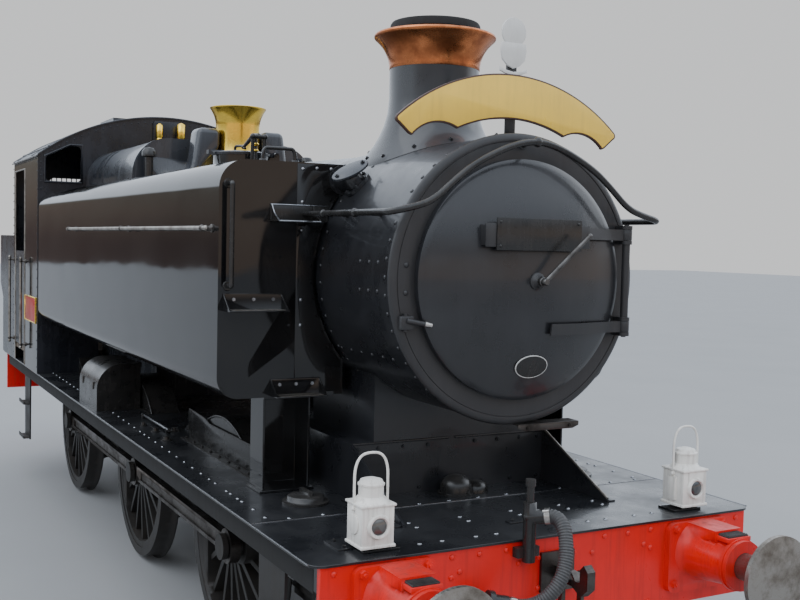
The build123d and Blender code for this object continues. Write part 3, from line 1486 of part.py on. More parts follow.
def toolbox_lid_zone(grow):
    """Space above the split line, from the hinge edge to the outer face."""
    split_z = TOOLBOX_FLOOR_Z + TOOLBOX_SPLIT
    return plate_x(
        [
            (TOOLBOX_IN_Y - 40, TOOLBOX_TOP_Z - TOOLBOX_WALL - grow),
            (TOOLBOX_IN_Y + 120, TOOLBOX_TOP_Z - TOOLBOX_WALL - grow),
            (TOOLBOX_OUT_Y + 40, split_z - grow),
            (TOOLBOX_OUT_Y + 40, TOOLBOX_TOP_Z + 40),
            (TOOLBOX_IN_Y - 40, TOOLBOX_TOP_Z + 40),
        ],
        TOOLBOX_X0 - 20,
        TOOLBOX_X0 + TOOLBOX_LENGTH + 20,
    )


def toolbox_body():
    """Left toolbox: open box whose ends follow the curved lid."""
    x1 = TOOLBOX_X0 + TOOLBOX_LENGTH
    w = TOOLBOX_WALL
    inside = toolbox_form(w, TOOLBOX_X0 + w, x1 - w)
    body = toolbox_form(0.0, TOOLBOX_X0, x1) - inside
    ends = toolbox_form(w + TURN_GAP, TOOLBOX_X0, x1) - toolbox_form(w, TOOLBOX_X0 + w, x1 - w)
    body = (body - toolbox_lid_zone(0.0)) + ends
    for x in (TOOLBOX_X0 + 90, x1 - 90):
        for dx in (-34, 16):
            low = TOOLBOX_HINGE_Z - 26
            body += box(x + dx, x + dx + 18, TOOLBOX_HINGE_Y - 8, TOOLBOX_IN_Y + 1, low, TOOLBOX_HINGE_Z)
            body += rod_x(9.0, x + dx, x + dx + 18, TOOLBOX_HINGE_Y, TOOLBOX_HINGE_Z)
        body += rod_x(TOOLBOX_PIN_R, x - 34, x + 34, TOOLBOX_HINGE_Y, TOOLBOX_HINGE_Z)
    return body


def toolbox_lid():
    """Curved lid of the left toolbox with its hinge knuckles and hasp."""
    x1 = TOOLBOX_X0 + TOOLBOX_LENGTH
    w = TOOLBOX_WALL
    shell = toolbox_form(0.0, TOOLBOX_X0, x1) - toolbox_form(w, TOOLBOX_X0 - 5, x1 + 5)
    zone = toolbox_lid_zone(-TURN_GAP)
    body = shell & zone
    for x in (TOOLBOX_X0 + 90, x1 - 90):
        body += box(x - 15, x + 15, TOOLBOX_HINGE_Y, TOOLBOX_IN_Y + 30, TOOLBOX_TOP_Z - 6, TOOLBOX_TOP_Z + 2)
        body += rod_x(10.0, x - 15, x + 15, TOOLBOX_HINGE_Y, TOOLBOX_HINGE_Z)
    for x in (TOOLBOX_X0 + 90, x1 - 90):
        body -= rod_x(TOOLBOX_PIN_R + PIN_GAP, x - 20, x + 20, TOOLBOX_HINGE_Y, TOOLBOX_HINGE_Z)
    return body


SAND_X = RING_FACE_X - 630.0
SAND_Y = 850.0


def sand_gear():
    """Sandbox under the plate, its round filler above, and the pipe to the rail."""
    z1 = PLATE_Z - PLATE_THICK - TURN_GAP
    tank_box = box(SAND_X - 170, SAND_X + 170, SAND_Y - 130, SAND_Y + 130, z1 - 330, z1)
    pipe = tube(
        [
            (SAND_X, 760, z1 - 325),
            (SAND_X, 750, z1 - 480),
            (SAND_X - 420, 750, RAIL + 190),
            (SAND_X - 560, 750, RAIL + 75),
        ],
        19.0,
        90.0,
    )
    return [tank_box + pipe]


def sand_fillers():
    """Round filler lids on the running plate."""
    z0 = PLATE_Z + TURN_GAP
    lid = spin_z(
        [
            (0, z0),
            (122, z0),
            (122, z0 + 12),
            (96, z0 + 14),
            (96, z0 + 34),
            (82, z0 + 42),
            (0, z0 + 46),
        ],
        SAND_X,
        SAND_Y,
    )
    lid += box(SAND_X - 60, SAND_X + 60, SAND_Y - 12, SAND_Y + 12, z0 + 40, z0 + 66)
    return lid


BRAKE_CLEAR = 8.0


def brake_gear():
    """Hangers, blocks and cross beams behind each axle."""
    pieces = []
    for x in AXLES:
        hang_x = x - TREAD_R - 75.0
        y0 = WHEEL_INNER_Y + 45.0
        y1 = WHEEL_INNER_Y + 125.0
        plane = Plane(origin=(x, y0, AXLE_Z), x_dir=(1, 0, 0), z_dir=(0, -1, 0))
        r0 = TREAD_R + BRAKE_CLEAR
        r1 = r0 + 55.0
        a0, a1 = radians(172.0), radians(208.0)
        mid = (a0 + a1) / 2
        sector = make_face(
            [
                ThreePointArc(
                    (r0 * cos(a0), r0 * sin(a0)), (r0 * cos(mid), r0 * sin(mid)), (r0 * cos(a1), r0 * sin(a1))
                ),
                Line((r0 * cos(a1), r0 * sin(a1)), (r1 * cos(a1), r1 * sin(a1))),
                ThreePointArc(
                    (r1 * cos(a1), r1 * sin(a1)), (r1 * cos(mid), r1 * sin(mid)), (r1 * cos(a0), r1 * sin(a0))
                ),
                Line((r1 * cos(a0), r1 * sin(a0)), (r0 * cos(a0), r0 * sin(a0))),
            ]
        )
        block = extrude(plane * sector, amount=-(y1 - y0))
        hanger = plate_y(
            [
                (hang_x - 30, PLATE_Z - 130),
                (hang_x + 10, PLATE_Z - 130),
                (hang_x + 14, AXLE_Z - 60),
                (x - r1 * cos(radians(24)) + 30, AXLE_Z - 330),
                (x - r1 * cos(radians(24)) - 30, AXLE_Z - 330),
                (hang_x - 40, AXLE_Z - 60),
            ],
            y0 + 26,
            y1 - 26,
        )
        pin = rod_y(18.0, FRAME_OUTER_Y + TURN_GAP, y1, hang_x - 10, PLATE_Z - 150)
        side = block + hanger + pin
        beam_x = x - r1 * cos(radians(24))
        cross = rod_y(24.0, -y1, y1, beam_x, AXLE_Z - 305)
        pieces.append(side + mirrored(side) + cross)
    return Compound(children=pieces)


def cylinders():
    """Inside cylinder casting between the frames, as one plain block with covers."""
    x0 = RING_FACE_X - 1350.0
    x1 = RING_FACE_X - 320.0
    half = FRAME_INNER_Y - TURN_GAP
    body = box(x0, x1, -half, half, RAIL + 500, PLATE_Z - PLATE_THICK - 20)
    for y in (-300.0, 300.0):
        body += rod_x(235.0, x1 - 5, x1 + 45, y, RAIL + 720)
    return body


store("toolboxes", both_sides(toolbox_body()))
left_toolbox_lid = toolbox_lid()
store("toolbox_lid_left", left_toolbox_lid)
store("toolbox_lid_right", mirrored(left_toolbox_lid))
sand = sand_gear() + [sand_fillers()]
store("sand_gear", Compound(children=sand + [mirrored(piece) for piece in sand]))
store("brake_gear", brake_gear())
store("cylinder_block", cylinders())

# Handrails, lamps, headboard and vacuum pipe

RAIL_R = 16.0


def bend_radii(points):
    """Radius for each corner of a route, so that neighbouring bends leave room for each other."""
    radii = []
    for a, b, c in zip(points, points[1:], points[2:]):
        before = Vector(*b) - Vector(*a)
        after = Vector(*c) - Vector(*b)
        turn = before.get_angle(after)
        radii.append(0.45 * min(before.length, after.length) / tan(radians(turn / 2)))
    return radii


POST_R = 11.0
RAIL_FRONT_X = RING_FACE_X + 128.0
RAIL_SIDE_Y = 785.0
RAIL_SIDE_Z = BOILER_Z + 310.0
RAIL_TOP_Z = BOILER_Z + RING_R - RING_BEAD - 16.0


def smokebox_handrail():
    """Rail along both sides of the smokebox and over the door, on stanchions."""
    back = TANK_FRONT_X + TURN_GAP
    route = [
        (90, RAIL_TOP_Z),
        (330, RAIL_TOP_Z - 105),
        (450, RAIL_TOP_Z - 195),
        (565, RAIL_TOP_Z - 296),
        (660, RAIL_TOP_Z - 330),
        (RAIL_SIDE_Y, RAIL_SIDE_Z),
    ]
    half = [(RAIL_FRONT_X, -y, z) for y, z in route] + [(back, -RAIL_SIDE_Y, RAIL_SIDE_Z)]
    points = [(x, y, z) for x, y, z in reversed(half)] + [(x, -y, z) for x, y, z in half]
    radii = [min(radius, 400.0) for radius in bend_radii(points)]
    path = FilletPolyline(*points, radius=radii)
    body = sweep(Plane(origin=path @ 0, z_dir=path % 0) * Circle(RAIL_R), path=path)
    for dx in (250.0, 620.0):
        for side in (-1, 1):
            post_x = RING_FACE_X - dx
            body += rod_y(POST_R, side * (SMOKEBOX_R - 70), side * RAIL_SIDE_Y, post_x, RAIL_SIDE_Z)
            body += Pos(post_x, side * RAIL_SIDE_Y, RAIL_SIDE_Z) * Sphere(RAIL_R + 7)
    body += rod_x(POST_R, RING_FACE_X + TURN_GAP, RAIL_FRONT_X, 0, RAIL_TOP_Z)
    body += rod_x(POST_R + 15, RING_FACE_X + TURN_GAP, RING_FACE_X + 10, 0, RAIL_TOP_Z)
    body += Pos(RAIL_FRONT_X, 0, RAIL_TOP_Z) * Sphere(RAIL_R + 9)
    body -= rod_x(SMOKEBOX_R + TURN_GAP, SMOKEBOX_BACK_X, RING_FACE_X - 60.0, 0, BOILER_Z)
    return body


def side_handrails():
    """Tank side rail, tank front rail and cab rails on the left."""
    z = RAIL + 2626.0
    y = TANK_HALF + 58.0
    x1 = TANK_FRONT_X - 40.0
    x0 = x1 - 3600.0
    body = rod_x(RAIL_R - 2, x0, x1, y, z)
    for x in (x0 + 60, (x0 + x1) / 2, x1 - 60):
        body += rod_y(10.0, TANK_HALF + TURN_GAP, y, x, z)
    xf = TANK_FRONT_X + 62.0
    front = rod_z(RAIL_R, RAIL + 2320, RAIL + 2850, xf, 1200)
    for zz in (RAIL + 2345, RAIL + 2825):
        front += rod_x(10.0, TANK_FRONT_X + TURN_GAP, xf, 1200, zz)
    pieces = [body, front]
    for x in (DOORWAY_FRONT_X + 70, DOORWAY_FRONT_X - DOORWAY_WIDTH - 70):
        yy = CAB_HALF + 55.0
        rail = rod_z(RAIL_R - 2, RAIL + 1420, RAIL + 2330, x, yy)
        for zz in (RAIL + 1450, RAIL + 2300):
            rail += rod_y(9.0, CAB_HALF + TURN_GAP, yy, x, zz)
        pieces.append(rail)
    return pieces


LAMP_X = RING_FACE_X + 240.0
LAMP_Y = 915.0
LAMP_SEAT_Z = PLATE_Z + 22.0


def lamp():
    """Square oil lamp with bull's-eye lens, chimney and bail."""
    x, y = LAMP_X, LAMP_Y
    z0 = LAMP_SEAT_Z
    body = box(x - 78, x + 78, y - 80, y + 80, z0, z0 + 190)
    body += box(x - 58, x + 58, y - 60, y + 60, z0 + 188, z0 + 214)
    body += rod_z(56.0, z0 + 210, z0 + 290, x, y)
    body += rod_x(48.0, x + 70, x + 92, y, z0 + 96)
    bail = tube(
        [
            (x, y - 68, z0 + 180),
            (x, y - 68, z0 + 400),
            (x, y + 68, z0 + 400),
            (x, y + 68, z0 + 180),
        ],
        6.0,
        60.0,
    )
    return body + bail


def lamp_iron():
    """Flat bracket on the front platform that carries one lamp."""
    x, y = LAMP_X, LAMP_Y
    z0 = PLATE_Z + TURN_GAP
    body = box(x - 60, x + 60, y - 62, y + 62, z0, z0 + 10)
    body += box(x - 60, x + 60, y - 120, y - 60, z0, z0 + 10)
    body += box(x - 30, x + 30, y - 40, y + 40, z0 + 9, LAMP_SEAT_Z - TURN_GAP)
    return body


BOARD_X = RING_FACE_X - 108.0
BOARD_THICK = 16.0
BOARD_R = 975.0
BOARD_TOP_Z = RAIL + 3422.0
BOARD_TIP = (646.0, RAIL + 3178.0)
CREST_Z = RAIL + 3630.0
CREST_R = 72.0


def headboard():
    """Arched blank board with a lobed lower edge, a bare crest above and its post."""
    x1 = BOARD_X + BOARD_THICK
    tip_y, tip_z = BOARD_TIP
    centre_z = BOARD_TOP_Z - BOARD_R
    lean = atan2(tip_y, tip_z - centre_z) / 2
    shoulder = (BOARD_R * sin(lean), centre_z + BOARD_R * cos(lean))
    plane = Plane(origin=(BOARD_X, 0, 0), x_dir=(0, 1, 0), z_dir=(1, 0, 0))

    def other(point):
        return (-point[0], point[1])

    low = (559.0, RAIL + 3094.0)
    cusp = (318.0, RAIL + 3132.0)
    lobe = (440.0, RAIL + 3153.0)
    middle = (0.0, RAIL + 3200.0)
    tip = BOARD_TIP
    face = make_face(
        [
            ThreePointArc(other(tip), other(shoulder), (0, BOARD_TOP_Z)),
            ThreePointArc((0, BOARD_TOP_Z), shoulder, tip),
            Line(tip, low),
            ThreePointArc(low, lobe, cusp),
            ThreePointArc(cusp, middle, other(cusp)),
            ThreePointArc(other(cusp), other(lobe), other(low)),
            Line(other(low), other(tip)),
        ]
    )
    body = extrude(plane * face, amount=BOARD_THICK)
    body += rod_x(CREST_R, BOARD_X, x1, 0, CREST_Z)
    shield = [
        (-80, BOARD_TOP_Z - 10),
        (80, BOARD_TOP_Z - 10),
        (76, CREST_Z - 70),
        (60, CREST_Z - 40),
        (-60, CREST_Z - 40),
        (-76, CREST_Z - 70),
    ]
    body += plate_x(shield, BOARD_X, x1)
    post = box(BOARD_X - 20, BOARD_X + 1, -28, 28, SMOKEBOX_TOP_Z + TURN_GAP, BOARD_TOP_Z - 40)
    foot = box(BOARD_X - 90, BOARD_X + 1, -60, 60, SMOKEBOX_TOP_Z - 6, SMOKEBOX_TOP_Z + 10)
    foot -= rod_x(SMOKEBOX_R + TURN_GAP, BOARD_X - 100, BOARD_X + 10, 0, BOILER_Z)
    return body + post + foot


PIPE_R = 30.0
PIPE_STUB_R = 18.0
PIPE_X = FRONT_BEAM_X + PLATE_LIP + PIPE_R + 1.0
PIPE_Y = -190.0
PIPE_FOOT_Z = RAIL + 1130.0
PIPE_HEAD_Z = RAIL + 1405.0
PIPE_TOP_Z = RAIL + 1505.0
CLIP_Z = RAIL + 1150.0
HOSE_R = 34.0
HOSE_ELBOW = 61.0
HOSE_POINTS = [
    (FRONT_BEAM_X + 80.0, -142.0, RAIL + 1344.0),
    (FRONT_BEAM_X + 107.0, -107.0, RAIL + 1350.0),
    (FRONT_BEAM_X + 130.0, -72.0, RAIL + 1334.0),
    (FRONT_BEAM_X + 146.0, -46.0, RAIL + 1294.0),
    (FRONT_BEAM_X + 157.0, -36.0, RAIL + 1238.0),
    (FRONT_BEAM_X + 168.0, -42.0, RAIL + 1180.0),
    (FRONT_BEAM_X + 177.0, -64.0, RAIL + 1120.0),
    (FRONT_BEAM_X + 180.0, -102.0, RAIL + 1060.0),
    (FRONT_BEAM_X + 174.0, -154.0, RAIL + 1008.0),
    (FRONT_BEAM_X + 160.0, -220.0, RAIL + 976.0),
    (FRONT_BEAM_X + 142.0, -290.0, RAIL + 968.0),
    (FRONT_BEAM_X + 125.0, -358.0, RAIL + 981.0),
]


def hose_tangent(a, b):
    """Unit direction from one route point to the next."""
    return (Vector(*b) - Vector(*a)).normalized()


def vacuum_standpipe():
    """Upright pipe with a capped head and side elbow, clipped to the front of the beam."""
    body = rod_z(PIPE_R, PIPE_FOOT_Z, PIPE_HEAD_Z, PIPE_X, PIPE_Y)
    body += rod_z(PIPE_STUB_R, PIPE_HEAD_Z - 5, PIPE_TOP_Z, PIPE_X, PIPE_Y)
    body += rod_z(PIPE_STUB_R + 6, PIPE_TOP_Z - 24, PIPE_TOP_Z + 6, PIPE_X, PIPE_Y)
    way = hose_tangent(*HOSE_POINTS[:2])
    start = Vector(*HOSE_POINTS[0]) - way * HOSE_ELBOW
    body += extrude(Plane(origin=start, z_dir=way) * Circle(PIPE_R + 3), amount=HOSE_ELBOW)
    body += Pos(start.X, start.Y, start.Z) * Sphere(PIPE_R + 3)
    body += box(
        FRONT_BEAM_X + TURN_GAP, PIPE_X, PIPE_Y - 60, PIPE_Y + 60, CLIP_Z, CLIP_Z + 45
    )
    return body


def vacuum_hose():
    """Hose from the elbow round to its stowed coupling."""
    radii = bend_radii(HOSE_POINTS)
    print("hose radii", [round(r) for r in radii])
    path = FilletPolyline(*HOSE_POINTS, radius=radii)
    body = sweep(Plane(origin=path @ 0, z_dir=path % 0) * Circle(HOSE_R), path=path)
    filled = body.volume / (pi * HOSE_R**2 * path.length)
    print("hose length", round(path.length), "volume ratio", round(filled, 4))
    return body


def hose_coupling():
    """Cast coupling on the hose's end, seated on its stowing bracket."""
    end = Vector(*HOSE_POINTS[-1])
    way = hose_tangent(HOSE_POINTS[-2], HOSE_POINTS[-1])
    plane = Plane(origin=end, z_dir=way)
    body = extrude(plane * Circle(HOSE_R + 4), amount=70.0)
    body += extrude(Plane(origin=end + way * 70.0, z_dir=way) * Circle(52.0), amount=26.0)
    tip = end + way * 80.0
    body += box(FRONT_BEAM_X + TURN_GAP, tip.X + 10, tip.Y - 42, tip.Y + 8, tip.Z - 22, tip.Z + 22)
    return body


store("handrail_smokebox", smokebox_handrail())
rails = side_handrails()
store("handrails_side", Compound(children=rails + [mirrored(piece) for piece in rails]))
store("lamps", both_sides(lamp()))
brackets = tank_fittings() + [tank_support(), lamp_iron()]
store("front_brackets", Compound(children=brackets + [mirrored(piece) for piece in brackets]))
store("headboard", headboard())
store("vacuum_standpipe", vacuum_standpipe())
store("vacuum_hose", vacuum_hose())
store("hose_coupling", hose_coupling())

for name, shape in nodes.items():
    export_step(shape, os.path.join("parts", name + ".step"))
print(len(nodes), "nodes written")
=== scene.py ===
"""Looks of the pannier tank locomotive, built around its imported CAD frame."""

import json
from math import cos, pi, radians, sin, sqrt

import bmesh
import bpy
from bpy.props import FloatProperty, FloatVectorProperty, PointerProperty
from mathutils import Matrix, Vector

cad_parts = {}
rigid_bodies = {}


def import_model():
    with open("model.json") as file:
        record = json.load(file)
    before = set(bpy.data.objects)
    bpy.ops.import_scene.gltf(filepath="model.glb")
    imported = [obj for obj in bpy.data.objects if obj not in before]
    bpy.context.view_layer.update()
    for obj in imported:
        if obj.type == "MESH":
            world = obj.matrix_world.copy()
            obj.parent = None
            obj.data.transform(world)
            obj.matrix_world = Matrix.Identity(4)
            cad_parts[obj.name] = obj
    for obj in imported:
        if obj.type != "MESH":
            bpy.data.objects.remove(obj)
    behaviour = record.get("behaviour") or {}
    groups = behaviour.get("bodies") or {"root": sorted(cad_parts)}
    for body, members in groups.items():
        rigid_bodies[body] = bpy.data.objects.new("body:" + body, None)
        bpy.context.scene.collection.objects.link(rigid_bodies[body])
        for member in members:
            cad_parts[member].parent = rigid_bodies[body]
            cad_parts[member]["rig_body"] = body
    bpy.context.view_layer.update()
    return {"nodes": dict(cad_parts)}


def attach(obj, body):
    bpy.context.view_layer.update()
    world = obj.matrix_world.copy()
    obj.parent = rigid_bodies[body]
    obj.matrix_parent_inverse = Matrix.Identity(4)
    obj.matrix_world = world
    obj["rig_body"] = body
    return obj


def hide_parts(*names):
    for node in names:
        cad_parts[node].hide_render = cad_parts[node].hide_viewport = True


bl_info = {
    "name": "Pannier Tank Locomotive",
    "version": (1, 0, 0),
    "blender": (4, 5, 0),
    "location": "3D View > Sidebar > Locomotive",
    "description": "Finishes and fine detail of a pannier tank locomotive on its CAD frame",
    "category": "Object",
}

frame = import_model()

X = Vector((1, 0, 0))
Y = Vector((0, 1, 0))
Z = Vector((0, 0, 1))
SIDES = ((-1, "right"), (1, "left"))

# Places that the CAD part gives, in metres
RAIL = 0.028
BEAM_X = 4.496
PLATE_Z = RAIL + 1.228
PLATE_HALF = 1.257
BOILER_Z = RAIL + 2.402
SMOKEBOX_R = 0.710
SMOKEBOX_TOP = BOILER_Z + SMOKEBOX_R
SMOKEBOX_BACK_X = 2.702
RING_X = 4.122
RING_DEPTH = 0.026
CHIMNEY_X = RING_X - 0.885
BONNET_X = RING_X - 4.160
FRAME_X = RING_X - 0.600
TANK_FRONT_X = RING_X - 0.860
TANK_BACK_X = TANK_FRONT_X - 5.400
TANK_HALF = 1.257
TANK_TOP_Z = RAIL + 2.985
CAB_HALF = 1.262
DOORWAY_X = TANK_BACK_X - 0.760
CAB_BACK_X = DOORWAY_X - 0.730
LAMP_X = RING_X + 0.240
LAMP_Y = 0.915
BUFFER_Y = 0.870
BUFFER_Z = RAIL + 1.054
HINGE = Vector((RING_X + 0.063, 0.622, BOILER_Z))
STRAP_OFFSET = 0.236

# Distance under which two vertices of a shape are one
MERGE = 0.00002


# ---------------------------------------------------------------- finishes

def new_group(name, inputs, outputs):
    """Shader node group with named inputs and outputs."""
    tree = bpy.data.node_groups.new(name, "ShaderNodeTree")
    for title, value in inputs.items():
        kind = "NodeSocketColor" if isinstance(value, tuple) else "NodeSocketFloat"
        made = tree.interface.new_socket(name=title, in_out="INPUT", socket_type=kind)
        made.default_value = value
    for title in outputs:
        kind = "NodeSocketColor" if title == "Colour" else "NodeSocketFloat"
        tree.interface.new_socket(name=title, in_out="OUTPUT", socket_type=kind)
    return tree, tree.nodes.new("NodeGroupInput").outputs, tree.nodes.new("NodeGroupOutput").inputs


def object_place(tree):
    return tree.nodes.new("ShaderNodeTexCoord").outputs["Object"]


def noise(tree, coords, scale, detail=4.0, rough=0.55, stretch=None):
    """Noise texture on object coordinates, stretched where wanted."""
    if stretch is not None:
        mapping = tree.nodes.new("ShaderNodeMapping")
        mapping.inputs["Scale"].default_value = stretch
        tree.links.new(coords, mapping.inputs["Vector"])
        coords = mapping.outputs["Vector"]
    node = tree.nodes.new("ShaderNodeTexNoise")
    node.inputs["Detail"].default_value = detail
    node.inputs["Roughness"].default_value = rough
    set_or_link(tree, node.inputs["Scale"], scale)
    tree.links.new(coords, node.inputs["Vector"])
    return node.outputs["Fac"]


def set_or_link(tree, target, value):
    """Gives a socket a plain value, or links another socket to it."""
    if isinstance(value, (int, float, tuple)):
        target.default_value = value
    else:
        tree.links.new(value, target)


def spread(tree, value, low, high, to_low=0.0, to_high=1.0):
    """Map Range from low..high to new limits, clamped."""
    node = tree.nodes.new("ShaderNodeMapRange")
    limits = {"From Min": low, "From Max": high, "To Min": to_low, "To Max": to_high}
    for title, amount in limits.items():
        node.inputs[title].default_value = amount
    tree.links.new(value, node.inputs["Value"])
    return node.outputs["Result"]


def maths(tree, kind, first, second, clamp=False):
    node = tree.nodes.new("ShaderNodeMath")
    node.operation = kind
    node.use_clamp = clamp
    set_or_link(tree, node.inputs[0], first)
    set_or_link(tree, node.inputs[1], second)
    return node.outputs[0]


def blend_colours(tree, factor, first, second):
    node = tree.nodes.new("ShaderNodeMix")
    node.data_type = "RGBA"
    for title, value in (("Factor", factor), ("A", first), ("B", second)):
        set_or_link(tree, [s for s in node.inputs if s.name == title and s.enabled][0], value)
    return [s for s in node.outputs if s.enabled][0]


def weathered_group():
    """Paint with dust on its upward faces (painted sky sheen too, where the dirt colour is pale
    blue-grey), run marks down its sides and fine orange peel.
    """
    tree, given, result = new_group(
        "weathered_paint",
        {
            "Paint": (0.02, 0.02, 0.02, 1), "Dirt": (0.12, 0.09, 0.06, 1), "Dust": 0.4,
            "Streaks": 0.2, "Scale": 4.0, "Gloss": 0.4, "Unevenness": 0.15,
        },
        ("Colour", "Roughness", "Height"),
    )
    coords = object_place(tree)
    cloud = noise(tree, coords, given["Scale"], 5.0, 0.6)
    fine = noise(tree, coords, maths(tree, "MULTIPLY", given["Scale"], 22.0), 3.0, 0.6)
    runs = noise(tree, coords, given["Scale"], 4.0, 0.6, (5.0, 5.0, 0.35))
    parts = tree.nodes.new("ShaderNodeSeparateXYZ")
    tree.links.new(tree.nodes.new("ShaderNodeNewGeometry").outputs["Normal"], parts.inputs[0])
    upward = spread(tree, parts.outputs["Z"], 0.25, 0.95)
    # Upward faces take the dirt colour: dust, and painted sky sheen where that colour is pale
    # blue-grey
    dust_and_sheen = maths(tree, "MULTIPLY", upward, spread(tree, cloud, 0.35, 0.7, 0.25, 1.0))
    dust_and_sheen = maths(tree, "MULTIPLY", dust_and_sheen, given["Dust"])
    washed = maths(tree, "MULTIPLY", spread(tree, runs, 0.5, 0.72), given["Streaks"])
    speckle = maths(tree, "MULTIPLY", spread(tree, fine, 0.55, 0.75), 0.25)
    dirt_and_sheen = maths(tree, "ADD", dust_and_sheen, washed)
    dirt_and_sheen = maths(tree, "ADD", dirt_and_sheen, maths(tree, "MULTIPLY", speckle, dirt_and_sheen), clamp=True)
    patchy = spread(tree, cloud, 0.3, 0.7, 0.0, 0.18)
    tone = blend_colours(tree, patchy, given["Paint"], given["Dirt"])
    colour = blend_colours(tree, dirt_and_sheen, tone, given["Dirt"])
    uneven = spread(tree, cloud, 0.3, 0.7, -0.5, 0.5)
    rough = maths(tree, "MULTIPLY", uneven, given["Unevenness"])
    rough = maths(tree, "ADD", rough, given["Gloss"])
    rough = maths(tree, "ADD", rough, maths(tree, "MULTIPLY", dirt_and_sheen, 0.45), clamp=True)
    height = maths(tree, "ADD", fine, maths(tree, "MULTIPLY", cloud, 0.5))
    for title, value in (("Colour", colour), ("Roughness", rough), ("Height", height)):
        tree.links.new(value, result[title])
    return tree


def metal_group():
    """Bare or polished metal with rub marks, tarnish patches and soot."""
    tree, given, result = new_group(
        "worked_metal",
        {
            "Metal": (0.7, 0.7, 0.7, 1), "Tarnish": (0.2, 0.15, 0.1, 1), "Amount": 0.4,
            "Scale": 6.0, "Gloss": 0.25, "Unevenness": 0.2,
        },
        ("Colour", "Roughness", "Height"),
    )
    coords = object_place(tree)
    cloud = noise(tree, coords, given["Scale"], 6.0, 0.65)
    rub_scale = maths(tree, "MULTIPLY", given["Scale"], 9.0)
    rub = noise(tree, coords, rub_scale, 3.0, 0.5, (1.0, 1.0, 9.0))
    patch = maths(tree, "MULTIPLY", spread(tree, cloud, 0.42, 0.66), given["Amount"], clamp=True)
    colour = blend_colours(tree, patch, given["Metal"], given["Tarnish"])
    uneven = spread(tree, rub, 0.3, 0.7, -0.4, 0.6)
    rough = maths(tree, "MULTIPLY", uneven, given["Unevenness"])
    rough = maths(tree, "ADD", rough, given["Gloss"])
    rough = maths(tree, "ADD", rough, maths(tree, "MULTIPLY", patch, 0.3), clamp=True)
    for title, value in (("Colour", colour), ("Roughness", rough), ("Height", rub)):
        tree.links.new(value, result[title])
    return tree


def wave_group():
    """Long, shallow waves of hand-beaten plate, for what a gloss side reflects."""
    tree, given, result = new_group("plate_waves", {"Scale": 1.6}, ("Height",))
    long_wave = noise(tree, object_place(tree), given["Scale"], 1.0, 0.4, (1.0, 1.0, 1.6))
    tree.links.new(long_wave, result["Height"])
    return tree


GROUP_MAKERS = {
    "weathered_paint": weathered_group, "worked_metal": metal_group, "plate_waves": wave_group,
}


def start_material(name):
    material = bpy.data.materials.new(name)
    material.use_nodes = True
    tree = material.node_tree
    return material, tree, tree.nodes["Principled BSDF"]


def place_group(tree, name, values):
    """A node of the named group, which is made once."""
    made = bpy.data.node_groups.get(name) or GROUP_MAKERS[name]()
    node = tree.nodes.new("ShaderNodeGroup")
    node.node_tree = made
    for title, value in values.items():
        node.inputs[title].default_value = (*value, 1) if isinstance(value, tuple) else value
    return node.outputs


def bump(tree, height, strength, distance, target):
    """Bump from a height into a normal socket."""
    node = tree.nodes.new("ShaderNodeBump")
    node.inputs["Strength"].default_value = strength
    node.inputs["Distance"].default_value = distance
    tree.links.new(height, node.inputs["Height"])
    tree.links.new(node.outputs["Normal"], target)
    return node


def worked(name, group, values, strength, depth):
    """Material whose colour, roughness and bump come from a shared group."""
    material, tree, shader = start_material(name)
    given = place_group(tree, group, values)
    tree.links.new(given["Colour"], shader.inputs["Base Color"])
    tree.links.new(given["Roughness"], shader.inputs["Roughness"])
    fine = bump(tree, given["Height"], strength, depth, shader.inputs["Normal"])
    return material, tree, shader, fine


def painted(name, colour, dirt_and_sheen, dust, streaks, scale, gloss, unevenness, depth, coat=0.0,
            waves=0.0):
    """A painted finish, weathered by the shared group; in the cab and boiler blacks its dirt colour
    on upward faces is painted sky sheen as well as dust.
    """
    material, tree, shader, fine = worked(name, "weathered_paint", {
        "Paint": colour, "Dirt": dirt_and_sheen, "Dust": dust, "Streaks": streaks,
        "Scale": scale, "Gloss": gloss, "Unevenness": unevenness,
    }, 0.25, depth)
    if waves:
        wavy = place_group(tree, "plate_waves", {"Scale": 1.6})
        bump(tree, wavy["Height"], 1.0, waves, fine.inputs["Normal"])
    shader.inputs["Coat Weight"].default_value = coat
    shader.inputs["Coat Roughness"].default_value = 0.06
    return material


def metallic(name, colour, tarnish, amount, scale, gloss, unevenness, depth=0.0002):
    """A bare metal finish from the shared group."""
    material, _, shader, _ = worked(name, "worked_metal", {
        "Metal": colour, "Tarnish": tarnish, "Amount": amount,
        "Scale": scale, "Gloss": gloss, "Unevenness": unevenness,
    }, 0.15, depth)
    shader.inputs["Metallic"].default_value = 1.0
    return material
